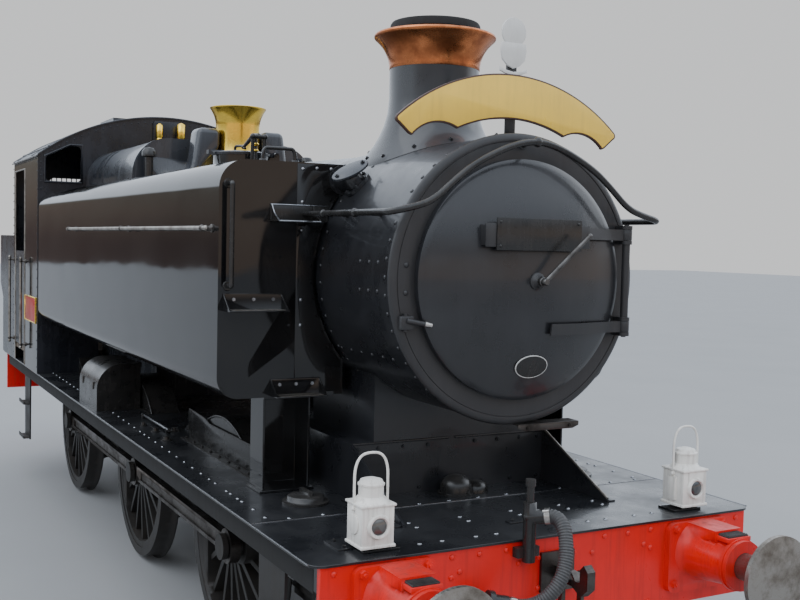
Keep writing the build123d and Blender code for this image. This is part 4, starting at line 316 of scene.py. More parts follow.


# Colour (or the name of the setting that holds it), dirt (also painted sky sheen in the cab and
# boiler blacks), dust, streaks, scale, gloss, unevenness, bump depth, clear coat, plate waves
PAINTS = {
    "gloss_black": (
        "tank_black", (0.05, 0.045, 0.04), 0.10, 0.02, 2.2, 0.07, 0.05, 0.00015, 0.0, 0.004),
    # Cab black: its pale blue-grey dirt on upward faces is dust and painted sky sheen on the roof
    # and tops
    "cab_black": (
        (0.0085, 0.0095, 0.0125), (0.062, 0.070, 0.090), 0.52, 0.10, 3.0, 0.27, 0.12,
        0.0003, 0.0, 0.003),
    # Boiler black: its colour, lighter than the other blacks, and its pale blue-grey dirt on upward
    # faces are painted sky sheen as well as dust, on the cladding, feed covers and elbow cover
    "boiler_black": (
        (0.026, 0.029, 0.035), (0.075, 0.083, 0.098), 0.45, 0.20, 4.0, 0.24, 0.12,
        0.0003, 0.35, 0.002),
    "smokebox_black": (
        "smokebox_black", (0.045, 0.047, 0.052), 0.22, 0.08, 5.0, 0.30, 0.14, 0.0006, 0.30),
    "ring_black": (
        (0.0215, 0.0220, 0.0240), (0.056, 0.052, 0.049), 0.22, 0.20, 7.0, 0.40, 0.16, 0.0008),
    "frame_black": ("frame_black", (0.060, 0.048, 0.037), 0.40, 0.18, 5.0, 0.55, 0.18, 0.001),
    "platform_black": (
        (0.0075, 0.0085, 0.0105), (0.036, 0.036, 0.037), 0.30, 0.05, 3.2, 0.22, 0.22,
        0.0007, 0.15),
    "fitting_black": (
        (0.012, 0.012, 0.012), (0.06, 0.055, 0.05), 0.30, 0.10, 9.0, 0.24, 0.15, 0.0004),
    "signal_red": ("beam_red", (0.13, 0.03, 0.018), 0.45, 0.30, 5.0, 0.34, 0.2, 0.0005),
    "plate_red": ((0.42, 0.012, 0.012), (0.12, 0.02, 0.015), 0.1, 0.1, 12.0, 0.3, 0.1, 0.0003),
    "lamp_white": ("lamp_white", (0.16, 0.13, 0.10), 0.18, 0.34, 11.0, 0.36, 0.2, 0.0006),
    "board_yellow": ("board_yellow", (0.40, 0.24, 0.07), 0.15, 0.16, 8.0, 0.34, 0.15, 0.0003),
    "board_brown": (
        (0.050, 0.020, 0.014), (0.09, 0.05, 0.03), 0.2, 0.1, 9.0, 0.35, 0.15, 0.0003),
    "badge_white": ((0.68, 0.68, 0.66), (0.3, 0.28, 0.25), 0.2, 0.15, 14.0, 0.35, 0.15, 0.0003),
    "hose_casting": (
        (0.022, 0.022, 0.022), (0.09, 0.08, 0.07), 0.35, 0.15, 12.0, 0.5, 0.2, 0.0006),
    "inside_cream": ((0.45, 0.42, 0.36), (0.16, 0.14, 0.11), 0.4, 0.4, 4.0, 0.5, 0.2, 0.0006),
    # Soot inside the chimney rim; the same near-black on the valance faces is painted shade
    "soot": ((0.008, 0.008, 0.008), (0.03, 0.028, 0.026), 0.4, 0.3, 6.0, 0.85, 0.1, 0.002),
}

# Colour or its setting, tarnish, amount of tarnish, scale, gloss, unevenness, bump depth
METALS = {
    # Pale bare metal on heads and edges that are black paint on the engine: on the platform rivets,
    # tank front bolts and bracket edges it is a painted highlight for their glints of the sky
    "rivet_bright": ((0.36, 0.37, 0.39), (0.06, 0.06, 0.06), 0.4, 30.0, 0.22, 0.2),
    "polished_copper": ("cap_copper", (0.20, 0.055, 0.025), 0.70, 7.0, 0.22, 0.12),
    "polished_brass": ("bonnet_brass", (0.45, 0.26, 0.06), 0.30, 6.0, 0.17, 0.12),
    "bright_steel": ((0.62, 0.61, 0.58), (0.22, 0.19, 0.16), 0.5, 14.0, 0.26, 0.2),
    "greasy_steel": ((0.115, 0.105, 0.097), (0.030, 0.026, 0.022), 0.8, 6.0, 0.34, 0.25, 0.0006),
    "buffer_steel": ((0.36, 0.34, 0.31), (0.10, 0.075, 0.05), 0.7, 9.0, 0.36, 0.3, 0.0008),
    "dart_steel": ((0.15, 0.145, 0.14), (0.05, 0.045, 0.04), 0.7, 12.0, 0.34, 0.25),
}


def hose_finish(name):
    """Dark ribbed rubber with grime on it."""
    return worked(name, "weathered_paint", {
        "Paint": (0.030, 0.031, 0.033), "Dirt": (0.11, 0.105, 0.10), "Dust": 0.45,
        "Streaks": 0.25, "Scale": 14.0, "Gloss": 0.48, "Unevenness": 0.2,
    }, 0.35, 0.0006)[0]


def wood_finish(name):
    """Grey-brown trodden boards."""
    material, tree, shader = start_material(name)
    coords = object_place(tree)
    grain = noise(tree, coords, 18.0, 6.0, 0.65, (0.35, 6.0, 6.0))
    patch = noise(tree, coords, 3.0)
    colour = blend_colours(tree, grain, (0.06, 0.045, 0.032, 1), (0.17, 0.125, 0.085, 1))
    trodden = spread(tree, patch, 0.45, 0.7, 0.0, 0.6)
    colour = blend_colours(tree, trodden, colour, (0.03, 0.027, 0.024, 1))
    tree.links.new(colour, shader.inputs["Base Color"])
    tree.links.new(spread(tree, grain, 0.2, 0.8, 0.8, 0.55), shader.inputs["Roughness"])
    bump(tree, grain, 0.5, 0.002, shader.inputs["Normal"])
    return material


def lens_finish(name):
    """Dark lamp lens with a little film and dust on it."""
    material, tree, shader = start_material(name)
    film = noise(tree, object_place(tree), 9.0, 5.0, 0.6)
    dusty = spread(tree, film, 0.4, 0.7, 0.0, 0.5)
    tint = blend_colours(tree, dusty, (0.03, 0.035, 0.04, 1), (0.16, 0.15, 0.13, 1))
    tree.links.new(tint, shader.inputs["Base Color"])
    tree.links.new(spread(tree, film, 0.35, 0.75, 0.03, 0.18), shader.inputs["Roughness"])
    shader.inputs["Coat Weight"].default_value = 0.8
    shader.inputs["IOR"].default_value = 1.5
    return material


OTHER_FINISHES = {
    "hose_rubber": hose_finish, "footplate_wood": wood_finish, "lens_glass": lens_finish,
}


FINISHES = {}


def finish(name):
    """The named finish, made once."""
    if name not in FINISHES:
        FINISHES[name] = make_finish(name)
    return FINISHES[name]


def make_finish(name):
    if name in OTHER_FINISHES:
        return OTHER_FINISHES[name](name)
    maker, table = (painted, PAINTS) if name in PAINTS else (metallic, METALS)
    colour, *rest = table[name]
    if isinstance(colour, str):
        colour = tuple(getattr(bpy.context.scene.loco_finishes, colour))
    return maker(name, colour, *rest)


# ---------------------------------------------------------------- forms

def place_piece(mesh, name, look, body, nodes):
    """Links a finished mesh as a named piece on its CAD body."""
    piece = bpy.data.objects.new(name, mesh)
    bpy.context.scene.collection.objects.link(piece)
    mesh.materials.clear()
    mesh.materials.append(finish(look))
    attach(piece, body)
    if nodes:
        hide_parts(*nodes)
    return piece


def finished(shape, name, look, nodes=(), sharp=38.0, body="chassis"):
    """Closes a bmesh, points its faces outwards and makes it a smooth-shaded piece."""
    bmesh.ops.remove_doubles(shape, verts=shape.verts, dist=MERGE)
    bmesh.ops.recalc_face_normals(shape, faces=shape.faces)
    mesh = to_mesh(shape, name)
    mesh.shade_smooth()
    mesh.set_sharp_from_angle(angle=radians(sharp))
    return place_piece(mesh, name, look, body, nodes)


def to_mesh(shape, name):
    mesh = bpy.data.meshes.new(name)
    shape.to_mesh(mesh)
    shape.free()
    return mesh


def smooth_copy(node, name, look, bevel=0.0):
    """A merged, smooth-shaded copy of a CAD node that stands for it."""
    source = frame["nodes"][node]
    shape = bmesh.new()
    shape.from_mesh(source.data)
    bmesh.ops.remove_doubles(shape, verts=shape.verts, dist=MERGE)
    bmesh.ops.dissolve_limit(
        shape, angle_limit=radians(0.6), verts=shape.verts, edges=shape.edges,
        use_dissolve_boundaries=False,
    )
    mesh = to_mesh(shape, name)
    mesh.shade_smooth()
    mesh.set_sharp_from_angle(angle=radians(35))
    piece = place_piece(mesh, name, look, source["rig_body"], (node,))
    if bevel:
        soften = piece.modifiers.new("soft_edges", "BEVEL")
        soften.width = bevel
        soften.segments = 2
        soften.limit_method = "ANGLE"
        soften.angle_limit = radians(50)
        soften.use_clamp_overlap = True
        soften.harden_normals = False


def moved_verts(made):
    """The vertices among what a bmesh operator made."""
    return [g for g in made["geom"] if isinstance(g, bmesh.types.BMVert)]


def turned_to(direction, at):
    """Matrix that stands local Z along direction, at a point."""
    turn = Vector(direction).normalized().to_track_quat("Z", "Y").to_matrix().to_4x4()
    return Matrix.Translation(at) @ turn


def bevel_edges(shape, edges, width, steps=2):
    bmesh.ops.bevel(
        shape, geom=edges, offset=width, offset_type="OFFSET", segments=steps, profile=0.5,
        affect="EDGES", material=-1, clamp_overlap=True,
    )


def round_edges(shape, verts, width, steps=2, only=None):
    """Bevels the edges among verts, or only those that a test picks."""
    chosen = set(verts)
    edges = {e for v in verts for e in v.link_edges}
    edges = [e for e in edges if all(v in chosen for v in e.verts) and (not only or only(e))]
    bevel_edges(shape, edges, width, steps)


def is_corner(edge):
    return len(edge.link_faces) == 2 and edge.calc_face_angle(0) > radians(50)


def add_block(shape, first, second, soft=0.0):
    """Rectangular block between any two opposite corners, with rounded edges."""
    low, high = Vector(map(min, first, second)), Vector(map(max, first, second))
    place = Matrix.Translation((low + high) / 2) @ Matrix.Diagonal((*(high - low), 1.0))
    made = bmesh.ops.create_cube(shape, size=1.0, matrix=place)
    if soft:
        round_edges(shape, made["verts"], soft)


def add_rod(shape, start, end, radius, radius_end=None, sides=20, soft=0.0):
    """Round or tapered bar from start to end."""
    start, end = Vector(start), Vector(end)
    made = bmesh.ops.create_cone(
        shape, cap_ends=True, segments=sides, radius1=radius,
        radius2=radius if radius_end is None else radius_end,
        depth=(end - start).length, matrix=turned_to(end - start, (start + end) / 2),
    )
    if soft:
        round_edges(shape, made["verts"], soft, only=is_corner)


def add_ball(shape, at, radius, squash=(1, 1, 1), around=(0, 0, 1), rings=10):
    place = turned_to(around, at) @ Matrix.Diagonal((*squash, 1.0))
    bmesh.ops.create_uvsphere(
        shape, u_segments=2 * rings, v_segments=rings, radius=radius, matrix=place)


def add_lathe(shape, profile, at, axis, steps=96, closed=True):
    """Spins a profile of (along, radius) points around an axis through a point."""
    axis = Vector(axis).normalized()
    side = axis.orthogonal().normalized()
    verts = [shape.verts.new(Vector(at) + axis * along + side * away) for along, away in profile]
    edges = [shape.edges.new((a, b)) for a, b in zip(verts, verts[1:])]
    if closed:
        edges.append(shape.edges.new((verts[-1], verts[0])))
    bmesh.ops.spin(
        shape, geom=verts + edges, cent=Vector(at), axis=axis, angle=2 * pi, steps=steps,
        use_merge=True,
    )


def raised(base, points):
    """A profile's points with their place along the axis counted from a base."""
    return [(base + along, radius) for along, radius in points]


def bow(start, end, sag, steps=10):
    """Points on the arc from start to end that stands sag to the left of the line between."""
    a, b = Vector(start), Vector(end)
    half = (b - a).length / 2
    radius = (half * half + sag * sag) / (2 * abs(sag))
    across = Vector((-(b - a).y, (b - a).x)).normalized() * (1 if sag > 0 else -1)
    centre = (a + b) / 2 - across * (radius - abs(sag))
    first, last = a - centre, b - centre
    swing = first.angle_signed(last)
    return [
        tuple(centre + Matrix.Rotation(-swing * step / steps, 2) @ first)
        for step in range(steps + 1)
    ]


def add_slab(shape, outline, at, across, along, thick, soft=0.0):
    """Flat plate with an outline of (across, along) points, extruded by its thickness."""
    across, along = Vector(across), Vector(along)
    out = across.cross(along).normalized()
    verts = [shape.verts.new(Vector(at) + across * a + along * b) for a, b in outline]
    made = bmesh.ops.extrude_face_region(shape, geom=[shape.faces.new(verts)])
    moved = moved_verts(made)
    bmesh.ops.translate(shape, verts=moved, vec=out * thick)
    if soft:
        faces = [g for g in made["geom"] if isinstance(g, bmesh.types.BMFace)]
        bevel_edges(shape, list({e for f in faces for e in f.edges}), soft)
    return verts + moved


def pipe_mesh(points, radius, sides=3, fine=10, caps=True):
    """Mesh of a round bar along a smooth spline through given control points."""
    line = bpy.data.curves.new("bar_line", "CURVE")
    line.dimensions = "3D"
    line.bevel_depth = radius
    line.bevel_resolution = sides
    line.resolution_u = fine
    line.use_fill_caps = caps
    spline = line.splines.new("NURBS")
    spline.points.add(len(points) - 1)
    for spot, place in zip(spline.points, points):
        spot.co = (*place, 1.0)
    spline.order_u = 3
    spline.use_endpoint_u = True
    holder = bpy.data.objects.new("bar_line", line)
    bpy.context.scene.collection.objects.link(holder)
    bpy.context.view_layer.update()
    mesh = bpy.data.meshes.new_from_object(holder)
    bpy.data.objects.remove(holder)
    bpy.data.curves.remove(line)
    return mesh


def add_mesh(shape, mesh):
    """Moves a mesh's geometry into a shape."""
    shape.from_mesh(mesh)
    bpy.data.meshes.remove(mesh)


def add_bar(shape, points, radius, sides=3, fine=10):
    """Adds a bent round bar to a shape."""
    add_mesh(shape, pipe_mesh(points, radius, sides, fine))


def add_rivets(shape, places, out, radius, height=0.55, rings=5):
    """Low domed heads at places on a face that looks outwards along out."""
    for place in places:
        turn = turned_to(out, place) @ Matrix.Diagonal((1, 1, height, 1))
        bmesh.ops.create_uvsphere(
            shape, u_segments=8, v_segments=rings, radius=radius, matrix=turn)


def add_bolts(shape, places, out, radius, height):
    """Hexagon heads with a stud end, at places on a face that looks outwards along out."""
    out = Vector(out).normalized()
    for place in places:
        base = Vector(place) - out * 0.002
        for sides, wide, narrow, tall, middle in (
            (6, radius, radius * 0.96, height, height / 2),
            (8, radius * 0.5, radius * 0.42, height * 0.5, height * 1.2),
        ):
            bmesh.ops.create_cone(
                shape, cap_ends=True, segments=sides, radius1=wide, radius2=narrow,
                depth=tall, matrix=turned_to(out, base + out * middle),
            )


def row_of(first, last, count):
    """Evenly spaced numbers from first to last."""
    return [first + (last - first) * i / (count - 1) for i in range(count)]


def ring_turns(count, start=0.0):
    """Angles of evenly spaced places around a circle, from a start in steps."""
    return [2 * pi * (i + start) / count for i in range(count)]


def arc_through(first, middle, last, steps):
    """Points on the circle through three (across, height) points, last one left out."""
    a, b, c = Vector(first), Vector(middle), Vector(last)
    d = 2 * (a.x * (b.y - c.y) + b.x * (c.y - a.y) + c.x * (a.y - b.y))
    sums = [p.length_squared for p in (a, b, c)]
    centre = Vector((
        (sums[0] * (b.y - c.y) + sums[1] * (c.y - a.y) + sums[2] * (a.y - b.y)) / d,
        (sums[0] * (c.x - b.x) + sums[1] * (a.x - c.x) + sums[2] * (b.x - a.x)) / d,
    ))
    swing = (b - centre).angle_signed(a - centre) + (c - centre).angle_signed(b - centre)
    return [
        tuple(centre + Matrix.Rotation(swing * i / steps, 2) @ (a - centre)) for i in range(steps)
    ]


def drawn_in(outline, amount):
    """The outline moved inwards by an amount, or outwards if it is negative."""
    points = [Vector(p) for p in outline]
    turned = sum(a.x * b.y - b.x * a.y for a, b in zip(points, points[1:] + points[:1]))
    hand = 1 if turned > 0 else -1
    moved = []
    for before, here, after in zip(points[-1:] + points[:-1], points, points[1:] + points[:1]):
        sides = [(here - before).normalized(), (after - here).normalized()]
        inward = sum((Vector((-s.y, s.x)) for s in sides), Vector((0, 0)))
        inward = inward.normalized() * hand
        share = max(inward.dot(Vector((-sides[0].y, sides[0].x))) * hand, 0.5)
        moved.append(tuple(here + inward * amount / share))
    return moved


# ---------------------------------------------------------------- sizes and colours

def size_property(title, words, default):
    return FloatProperty(name=title, description=words, default=default, unit="LENGTH")


def colour_property(title, words, default):
    return FloatVectorProperty(
        name=title, description=words, default=default, size=3, min=0.0, max=1.0, subtype="COLOR"
    )


class LocomotiveSizes(bpy.types.PropertyGroup):
    """Sizes of the fine work that a user may change."""

    door_bulge: size_property(
        "Door bulge", "How far the smokebox door's middle stands out", 0.118)
    rivet_radius: size_property("Rivet radius", "Radius of a smokebox rivet head", 0.0115)
    plate_rivet_radius: size_property(
        "Platform rivet radius", "Radius of a rivet head on the running plate", 0.012)
    bolt_radius: size_property("Bolt radius", "Radius of a bolt head on the buffer beams", 0.021)
    hose_radius: size_property("Hose radius", "Outside radius of the vacuum hose", 0.034)
    handrail_radius: size_property("Handrail radius", "Radius of the smokebox handrail", 0.016)


class LocomotiveFinishes(bpy.types.PropertyGroup):
    """Colours of the paints and metals that a user may change."""

    tank_black: colour_property(
        "Tank black", "Gloss black of tanks and cab sides", (0.0045, 0.0047, 0.0055))
    smokebox_black: colour_property(
        "Smokebox black", "Heat-proof black of the smokebox", (0.011, 0.0115, 0.0135))
    frame_black: colour_property(
        "Frame black", "Black of frames, wheels and gear", (0.0100, 0.0098, 0.0095))
    beam_red: colour_property("Beam red", "Red of the buffer beams", (0.76, 0.007, 0.004))
    lamp_white: colour_property("Lamp white", "White of the oil lamps", (0.86, 0.84, 0.79))
    board_yellow: colour_property("Board yellow", "Face of the headboard", (0.86, 0.56, 0.075))
    cap_copper: colour_property("Cap copper", "Copper of the chimney cap", (0.62, 0.22, 0.085))
    bonnet_brass: colour_property(
        "Bonnet brass", "Brass of the safety-valve bonnet", (0.97, 0.66, 0.10))


# ---------------------------------------------------------------- stage

CAMERA_PLACE = Vector((8.4101, -2.9755, 2.5995))
CAMERA_TURN = 0.4945
CAMERA_PITCH = 0.0542
CAMERA_ROLL = 0.0227
CAMERA_LENS = 47.21
SKY_STRENGTH = 1.9
BACKDROP = (0.43, 0.435, 0.44, 1)

# Colour of the sky by the height of a direction, behind the locomotive and ahead of it
SKY_BEHIND = (
    (0.0, (0.060, 0.045, 0.042)), (0.035, (0.105, 0.085, 0.072)), (0.066, (0.12, 0.11, 0.095)),
    (0.095, (0.66, 0.72, 0.80)), (0.42, (0.76, 0.83, 0.93)), (1.0, (0.80, 0.88, 1.0)),
)
SKY_AHEAD = (
    (0.0, (0.50, 0.39, 0.32)), (0.09, (0.48, 0.38, 0.31)), (0.16, (0.14, 0.13, 0.13)),
    (0.26, (0.42, 0.47, 0.54)), (0.45, (0.72, 0.79, 0.90)), (1.0, (0.80, 0.88, 1.0)),
)

# Name, place, aim, size, power, colour, seen in reflections
LIGHTS = (
    ("sky_panel", (3.0, -6.0, 9.5), (2.6, 0, 2.4), 9.0, 340.0, (0.93, 0.96, 1.0), True),
    ("front_panel", (13.0, -3.0, 5.0), (4.0, 0, 2.2), 5.0, 140.0, (1.0, 0.98, 0.95), False),
    ("far_panel", (5.0, 9.0, 7.5), (2.6, 0, 2.4), 6.0, 110.0, (0.95, 0.97, 1.0), True),
)


class LOCO_OT_stage(bpy.types.Operator):
    """Floor, soft studio light and the camera"""

    bl_idname = "loco.stage"
    bl_label = "Stage"

    def execute(self, context):
        place_camera(context.scene)
        place_floor(context.scene)
        light_studio(context.scene)
        return {"FINISHED"}


def place_camera(scene):
    ahead = Vector((-cos(CAMERA_TURN), sin(CAMERA_TURN), 0))
    right = Vector((sin(CAMERA_TURN), cos(CAMERA_TURN), 0))
    view = ahead * cos(CAMERA_PITCH) - Z * sin(CAMERA_PITCH)
    top = Z * cos(CAMERA_PITCH) + ahead * sin(CAMERA_PITCH)
    side = right * cos(CAMERA_ROLL) + top * sin(CAMERA_ROLL)
    top = top * cos(CAMERA_ROLL) - right * sin(CAMERA_ROLL)
    data = bpy.data.cameras.new("view")
    data.lens = CAMERA_LENS
    data.sensor_width = 36.0
    data.clip_end = 400.0
    camera = bpy.data.objects.new("view", data)
    scene.collection.objects.link(camera)
    turn = Matrix((side, top, -view)).transposed().to_4x4()
    camera.matrix_world = Matrix.Translation(CAMERA_PLACE) @ turn
    scene.camera = camera


def place_floor(scene):
    shape = bmesh.new()
    bmesh.ops.create_grid(shape, x_segments=4, y_segments=4, size=90.0)
    bmesh.ops.translate(shape, verts=shape.verts, vec=(0, 0, -0.001))
    mesh = to_mesh(shape, "floor")
    floor = bpy.data.objects.new("floor", mesh)
    scene.collection.objects.link(floor)
    material, tree, shader = start_material("floor")
    cloud = noise(tree, object_place(tree), 0.5)
    tone = blend_colours(tree, cloud, (0.29, 0.29, 0.288, 1), (0.33, 0.33, 0.328, 1))
    tree.links.new(tone, shader.inputs["Base Color"])
    shader.inputs["Roughness"].default_value = 0.85
    mesh.materials.append(material)


def light_studio(scene):
    """Sky that reflections see, a plain backdrop for the camera, and three soft panels."""
    world = bpy.data.worlds.new("studio")
    world.use_nodes = True
    tree = world.node_tree
    back = tree.nodes["Background"]
    coords = tree.nodes.new("ShaderNodeTexCoord").outputs["Generated"]
    parts = tree.nodes.new("ShaderNodeSeparateXYZ")
    tree.links.new(coords, parts.inputs[0])
    behind = sky_ramp(tree, parts.outputs["Z"], SKY_BEHIND)
    ahead = sky_ramp(tree, parts.outputs["Z"], SKY_AHEAD)
    sky = blend_colours(tree, spread(tree, parts.outputs["X"], 0.05, 0.35), behind, ahead)
    plain = tree.nodes.new("ShaderNodeLightPath").outputs["Is Camera Ray"]
    tree.links.new(blend_colours(tree, plain, sky, BACKDROP), back.inputs["Color"])
    back.inputs["Strength"].default_value = SKY_STRENGTH
    scene.world = world
    for light in LIGHTS:
        add_light(scene, *light)


def sky_ramp(tree, height, stops):
    """Colour ramp of the sky over the height of a direction."""
    ramp = tree.nodes.new("ShaderNodeValToRGB")
    elements = ramp.color_ramp.elements
    elements[0].color = (*stops[0][1], 1)
    elements[1].color = (*stops[-1][1], 1)
    for place, colour in stops[1:-1]:
        elements.new(place).color = (*colour, 1)
    tree.links.new(height, ramp.inputs["Fac"])
    return ramp.outputs["Color"]


def add_light(scene, name, place, aim, size, power, colour, glossy):
    data = bpy.data.lights.new(name, "AREA")
    data.shape = "SQUARE"
    data.size = size
    data.energy = power
    data.color = colour
    light = bpy.data.objects.new(name, data)
    scene.collection.objects.link(light)
    light.matrix_world = turned_to(Vector(place) - Vector(aim), place)
    light.visible_glossy = glossy


# ---------------------------------------------------------------- vacuum hose

# Control points ahead of the beam, to the left and above the rail
HOSE_POINTS = [(BEAM_X + ahead, left, RAIL + up) for ahead, left, up in (
    (0.080, -0.142, 1.344), (0.108, -0.110, 1.350), (0.148, -0.094, 1.335),
    (0.186, -0.096, 1.292), (0.214, -0.108, 1.236), (0.236, -0.124, 1.176),
    (0.250, -0.152, 1.116), (0.250, -0.192, 1.060), (0.232, -0.236, 1.014),
    (0.196, -0.276, 0.984), (0.150, -0.310, 0.971), (0.125, -0.358, 0.981),
)]
HOSE_FINE = 30
RIB_PITCH = 0.0125
RIB_DEPTH = 0.075
CLIP_HALF = 0.012
CLIP_SCREW_OUT = 0.045


class LOCO_OT_hose(bpy.types.Operator):
    """Vacuum hose from the standpipe to its coupling"""

    bl_idname = "loco.hose"
    bl_label = "Vacuum hose"

    def execute(self, context):
        radius = context.scene.loco_sizes.hose_radius
        route = pipe_mesh(HOSE_POINTS, 0.0, fine=HOSE_FINE)
        path = [spot.co.copy() for spot in route.vertices]
        bpy.data.meshes.remove(route)
        hose = self.ribbed_tube(path, radius)
        clips = bmesh.new()
        for first, second, along in ((0, 1, 0.45), (-1, -2, 0.35)):
            start, way = Vector(HOSE_POINTS[first]), Vector(HOSE_POINTS[second])
            way -= start
            middle = start + way * along
            way.normalize()
            band = [(-CLIP_HALF, 0.032), (-CLIP_HALF, 0.0375),
                    (CLIP_HALF, 0.0375), (CLIP_HALF, 0.032)]
            add_lathe(clips, band, middle, way, steps=40)
            screw = middle + way.orthogonal() * CLIP_SCREW_OUT
            add_rod(clips, screw - way * 0.014, screw + way * 0.014, 0.007, sides=12)
        clip = finished(clips, "hose_clips", "bright_steel")
        coupling = frame["nodes"]["hose_coupling"]
        coupling.data.materials.clear()
        coupling.data.materials.append(finish("fitting_black"))
        return {"FINISHED"}

    def ribbed_tube(self, path, radius):
        """Tube along the route with one spiral rib wound round it."""
        mesh = pipe_mesh(HOSE_POINTS, radius, sides=6, fine=HOSE_FINE, caps=False)
        around = len(mesh.vertices) // len(path)
        if around * len(path) != len(mesh.vertices):
            raise ValueError("the hose's rings don't match its route")
        gone = 0.0
        for ring, centre in enumerate(path):
            gone += (centre - path[max(ring - 1, 0)]).length
            for step in range(around):
                vert = mesh.vertices[ring * around + step]
                if abs((vert.co - centre).length - radius) > 0.001:
                    raise ValueError("a ring of the hose is off its route")
                turn = 2 * pi * (gone / RIB_PITCH + step / around)
                groove = RIB_DEPTH * (0.5 - 0.5 * cos(turn))
                vert.co = centre + (vert.co - centre) * (1.0 - groove)
        shape = bmesh.new()
        add_mesh(shape, mesh)
        ends = [e for e in shape.edges if e.is_boundary]
        bmesh.ops.holes_fill(shape, edges=ends, sides=0)
        return finished(
            shape, "vacuum_hose_cord", "hose_rubber", ("vacuum_hose",), sharp=60)


# ---------------------------------------------------------------- smokebox

WALL = 0.014
AXIS_AT = (0, 0, BOILER_Z)

# Front ring's section, (ahead of RING_X, radius), from its moulded rim inwards
RING_FACE = (
    (-0.0130, 0.7205), (-0.0085, 0.7165), (-0.0050, 0.7105), (-0.0024, 0.703), (-0.0008, 0.695),
    (0, 0.686), (-0.0005, 0.6835), (-0.0042, 0.682), (-0.0042, 0.679), (-0.0010, 0.677),
    (-0.0008, 0.640), (-0.0008, 0.600), (-0.0010, 0.566), (-0.006, 0.560),
)

# Rows of rivets along the smokebox: degrees down from its top, and their X
RIVET_ROWS = (
    (83.9, (3.779, 3.877, 3.972)),
    (95.1, (3.782, 3.877, 3.972)),
    (124.0, (2.86, 2.98, 3.10, 3.22, 3.34, 3.46, 3.58, 3.70, 3.82, 3.93)),
)
# Rings of rivets round the smokebox: X, how many, first one in degrees from the top
RIVET_RINGS = ((RING_X - 0.070, 51, 2.36), (TANK_FRONT_X + 0.045, 49, 1.5))


def around_boiler(degrees_down):
    """Outward direction at an angle from the boiler's top, towards the left."""
    return Vector((0, sin(radians(degrees_down)), cos(radians(degrees_down))))


class LOCO_OT_smokebox(bpy.types.Operator):
    """Smokebox shell, its ring and their rivets"""

    bl_idname = "loco.smokebox"
    bl_label = "Smokebox"

    def execute(self, context):
        back, joint = RING_X - RING_DEPTH, RING_X - RING_DEPTH - 0.0005
        inside, wall_x = SMOKEBOX_R - WALL, SMOKEBOX_BACK_X + 0.025
        shell = bmesh.new()
        add_lathe(
            shell,
            [(SMOKEBOX_BACK_X, 0.0), (SMOKEBOX_BACK_X, SMOKEBOX_R), (joint - 0.004, SMOKEBOX_R),
             (joint, SMOKEBOX_R - 0.004), (joint, inside), (wall_x, inside), (wall_x, 0.0)],
            AXIS_AT, X, steps=144, closed=False,
        )
        finished(shell, "smokebox_shell", "smokebox_black", ("smokebox",))
        ring = bmesh.new()
        section = raised(back, ((0, 0.560), (0, 0.717), (0.003, 0.7215), (0.008, 0.722)))
        add_lathe(ring, section + raised(RING_X, RING_FACE), AXIS_AT, X, steps=144)
        finished(
            ring, "smokebox_ring_turned", "ring_black", ("smokebox_ring",),
            sharp=30)
        self.rivets(context.scene.loco_sizes.rivet_radius)
        self.ring_details()
        return {"FINISHED"}

    def rivets(self, radius):
        """Rings and rows of rivets on the smokebox, none of them under the chimney's foot."""
        spots = []
        for x, count, start in RIVET_RINGS:
            spots += [(x, around_boiler(start + 360.0 * i / count)) for i in range(count)]
        for side, _ in SIDES:
            for degrees_down, places in RIVET_ROWS:
                spots += [(x, around_boiler(side * degrees_down)) for x in places]
        heads = bmesh.new()
        for x, out in spots:
            place = Vector((x, 0, BOILER_Z)) + out * SMOKEBOX_R
            if place.z <= BOILER_Z + 0.6 or abs(place.x - CHIMNEY_X) >= 0.36:
                add_rivets(heads, [place], out, radius)
        finished(heads, "smokebox_rivets", "smokebox_black", sharp=60)

    def ring_details(self):
        """Studs and clamp at the ring's right edge, and the plate under it."""
        domes = bmesh.new()
        face = RING_X - 0.002
        add_rivets(domes, [(face, -0.634, height) for height in (2.498, 2.368)], X, 0.0145, 0.75, 8)
        finished(domes, "ring_studs", "ring_black", sharp=60)
        clamp = bmesh.new()
        add_block(clamp, (face, -0.672, 2.196), (RING_X + 0.034, -0.604, 2.262), 0.007)
        add_rod(
            clamp, (RING_X + 0.030, -0.640, 2.240), (RING_X + 0.062, -0.556, 2.224), 0.014, 0.011)
        pin_x = RING_X + 0.016
        add_rod(clamp, (pin_x, -0.640, 2.188), (pin_x, -0.640, 2.272), 0.010, sides=12)
        finished(clamp, "ring_clamp", "ring_black")
        tip = bmesh.new()
        add_rod(
            tip, (RING_X + 0.060, -0.562, 2.2255), (RING_X + 0.066, -0.526, 2.2180), 0.014, 0.011,
            soft=0.004)
        finished(tip, "ring_clamp_tip", "bright_steel")
        bracket = bmesh.new()
        add_block(bracket, (RING_X - 0.060, 0.003, 1.706), (RING_X + 0.030, 0.377, 1.712), 0.0015)
        lip = [(0.003, 1.710), (0.377, 1.710), (0.377, 1.690), (0.340, 1.676), (0.045, 1.676),
               (0.003, 1.692)]
        add_slab(bracket, lip, (RING_X + 0.024, 0, 0), Y, Z, 0.006, 0.0015)
        places = [(RING_X + 0.030, y, 1.692) for y in (0.06, 0.32)]
        add_bolts(bracket, places, X, 0.011, 0.010)
        finished(bracket, "ring_foot_plate", "greasy_steel")


# ---------------------------------------------------------------- smokebox door

DOOR_BACK_X = RING_X + 0.0003
DOOR_FLAT_X = DOOR_BACK_X + 0.038
DOOR_RIM_R = 0.592
STRAP_HALF = 0.028
STRAP_THICK = 0.012
STRAP_START = 0.092
STRAP_RIVETS = (0.115, 0.205, 0.305, 0.405, 0.500)
OVAL_HALF = (0.095, 0.059)
OVAL_FACE_HALF = (0.095 * 0.957, 0.0552)
PLATE_CORNER = (0.2475, 2.577, 2.730)


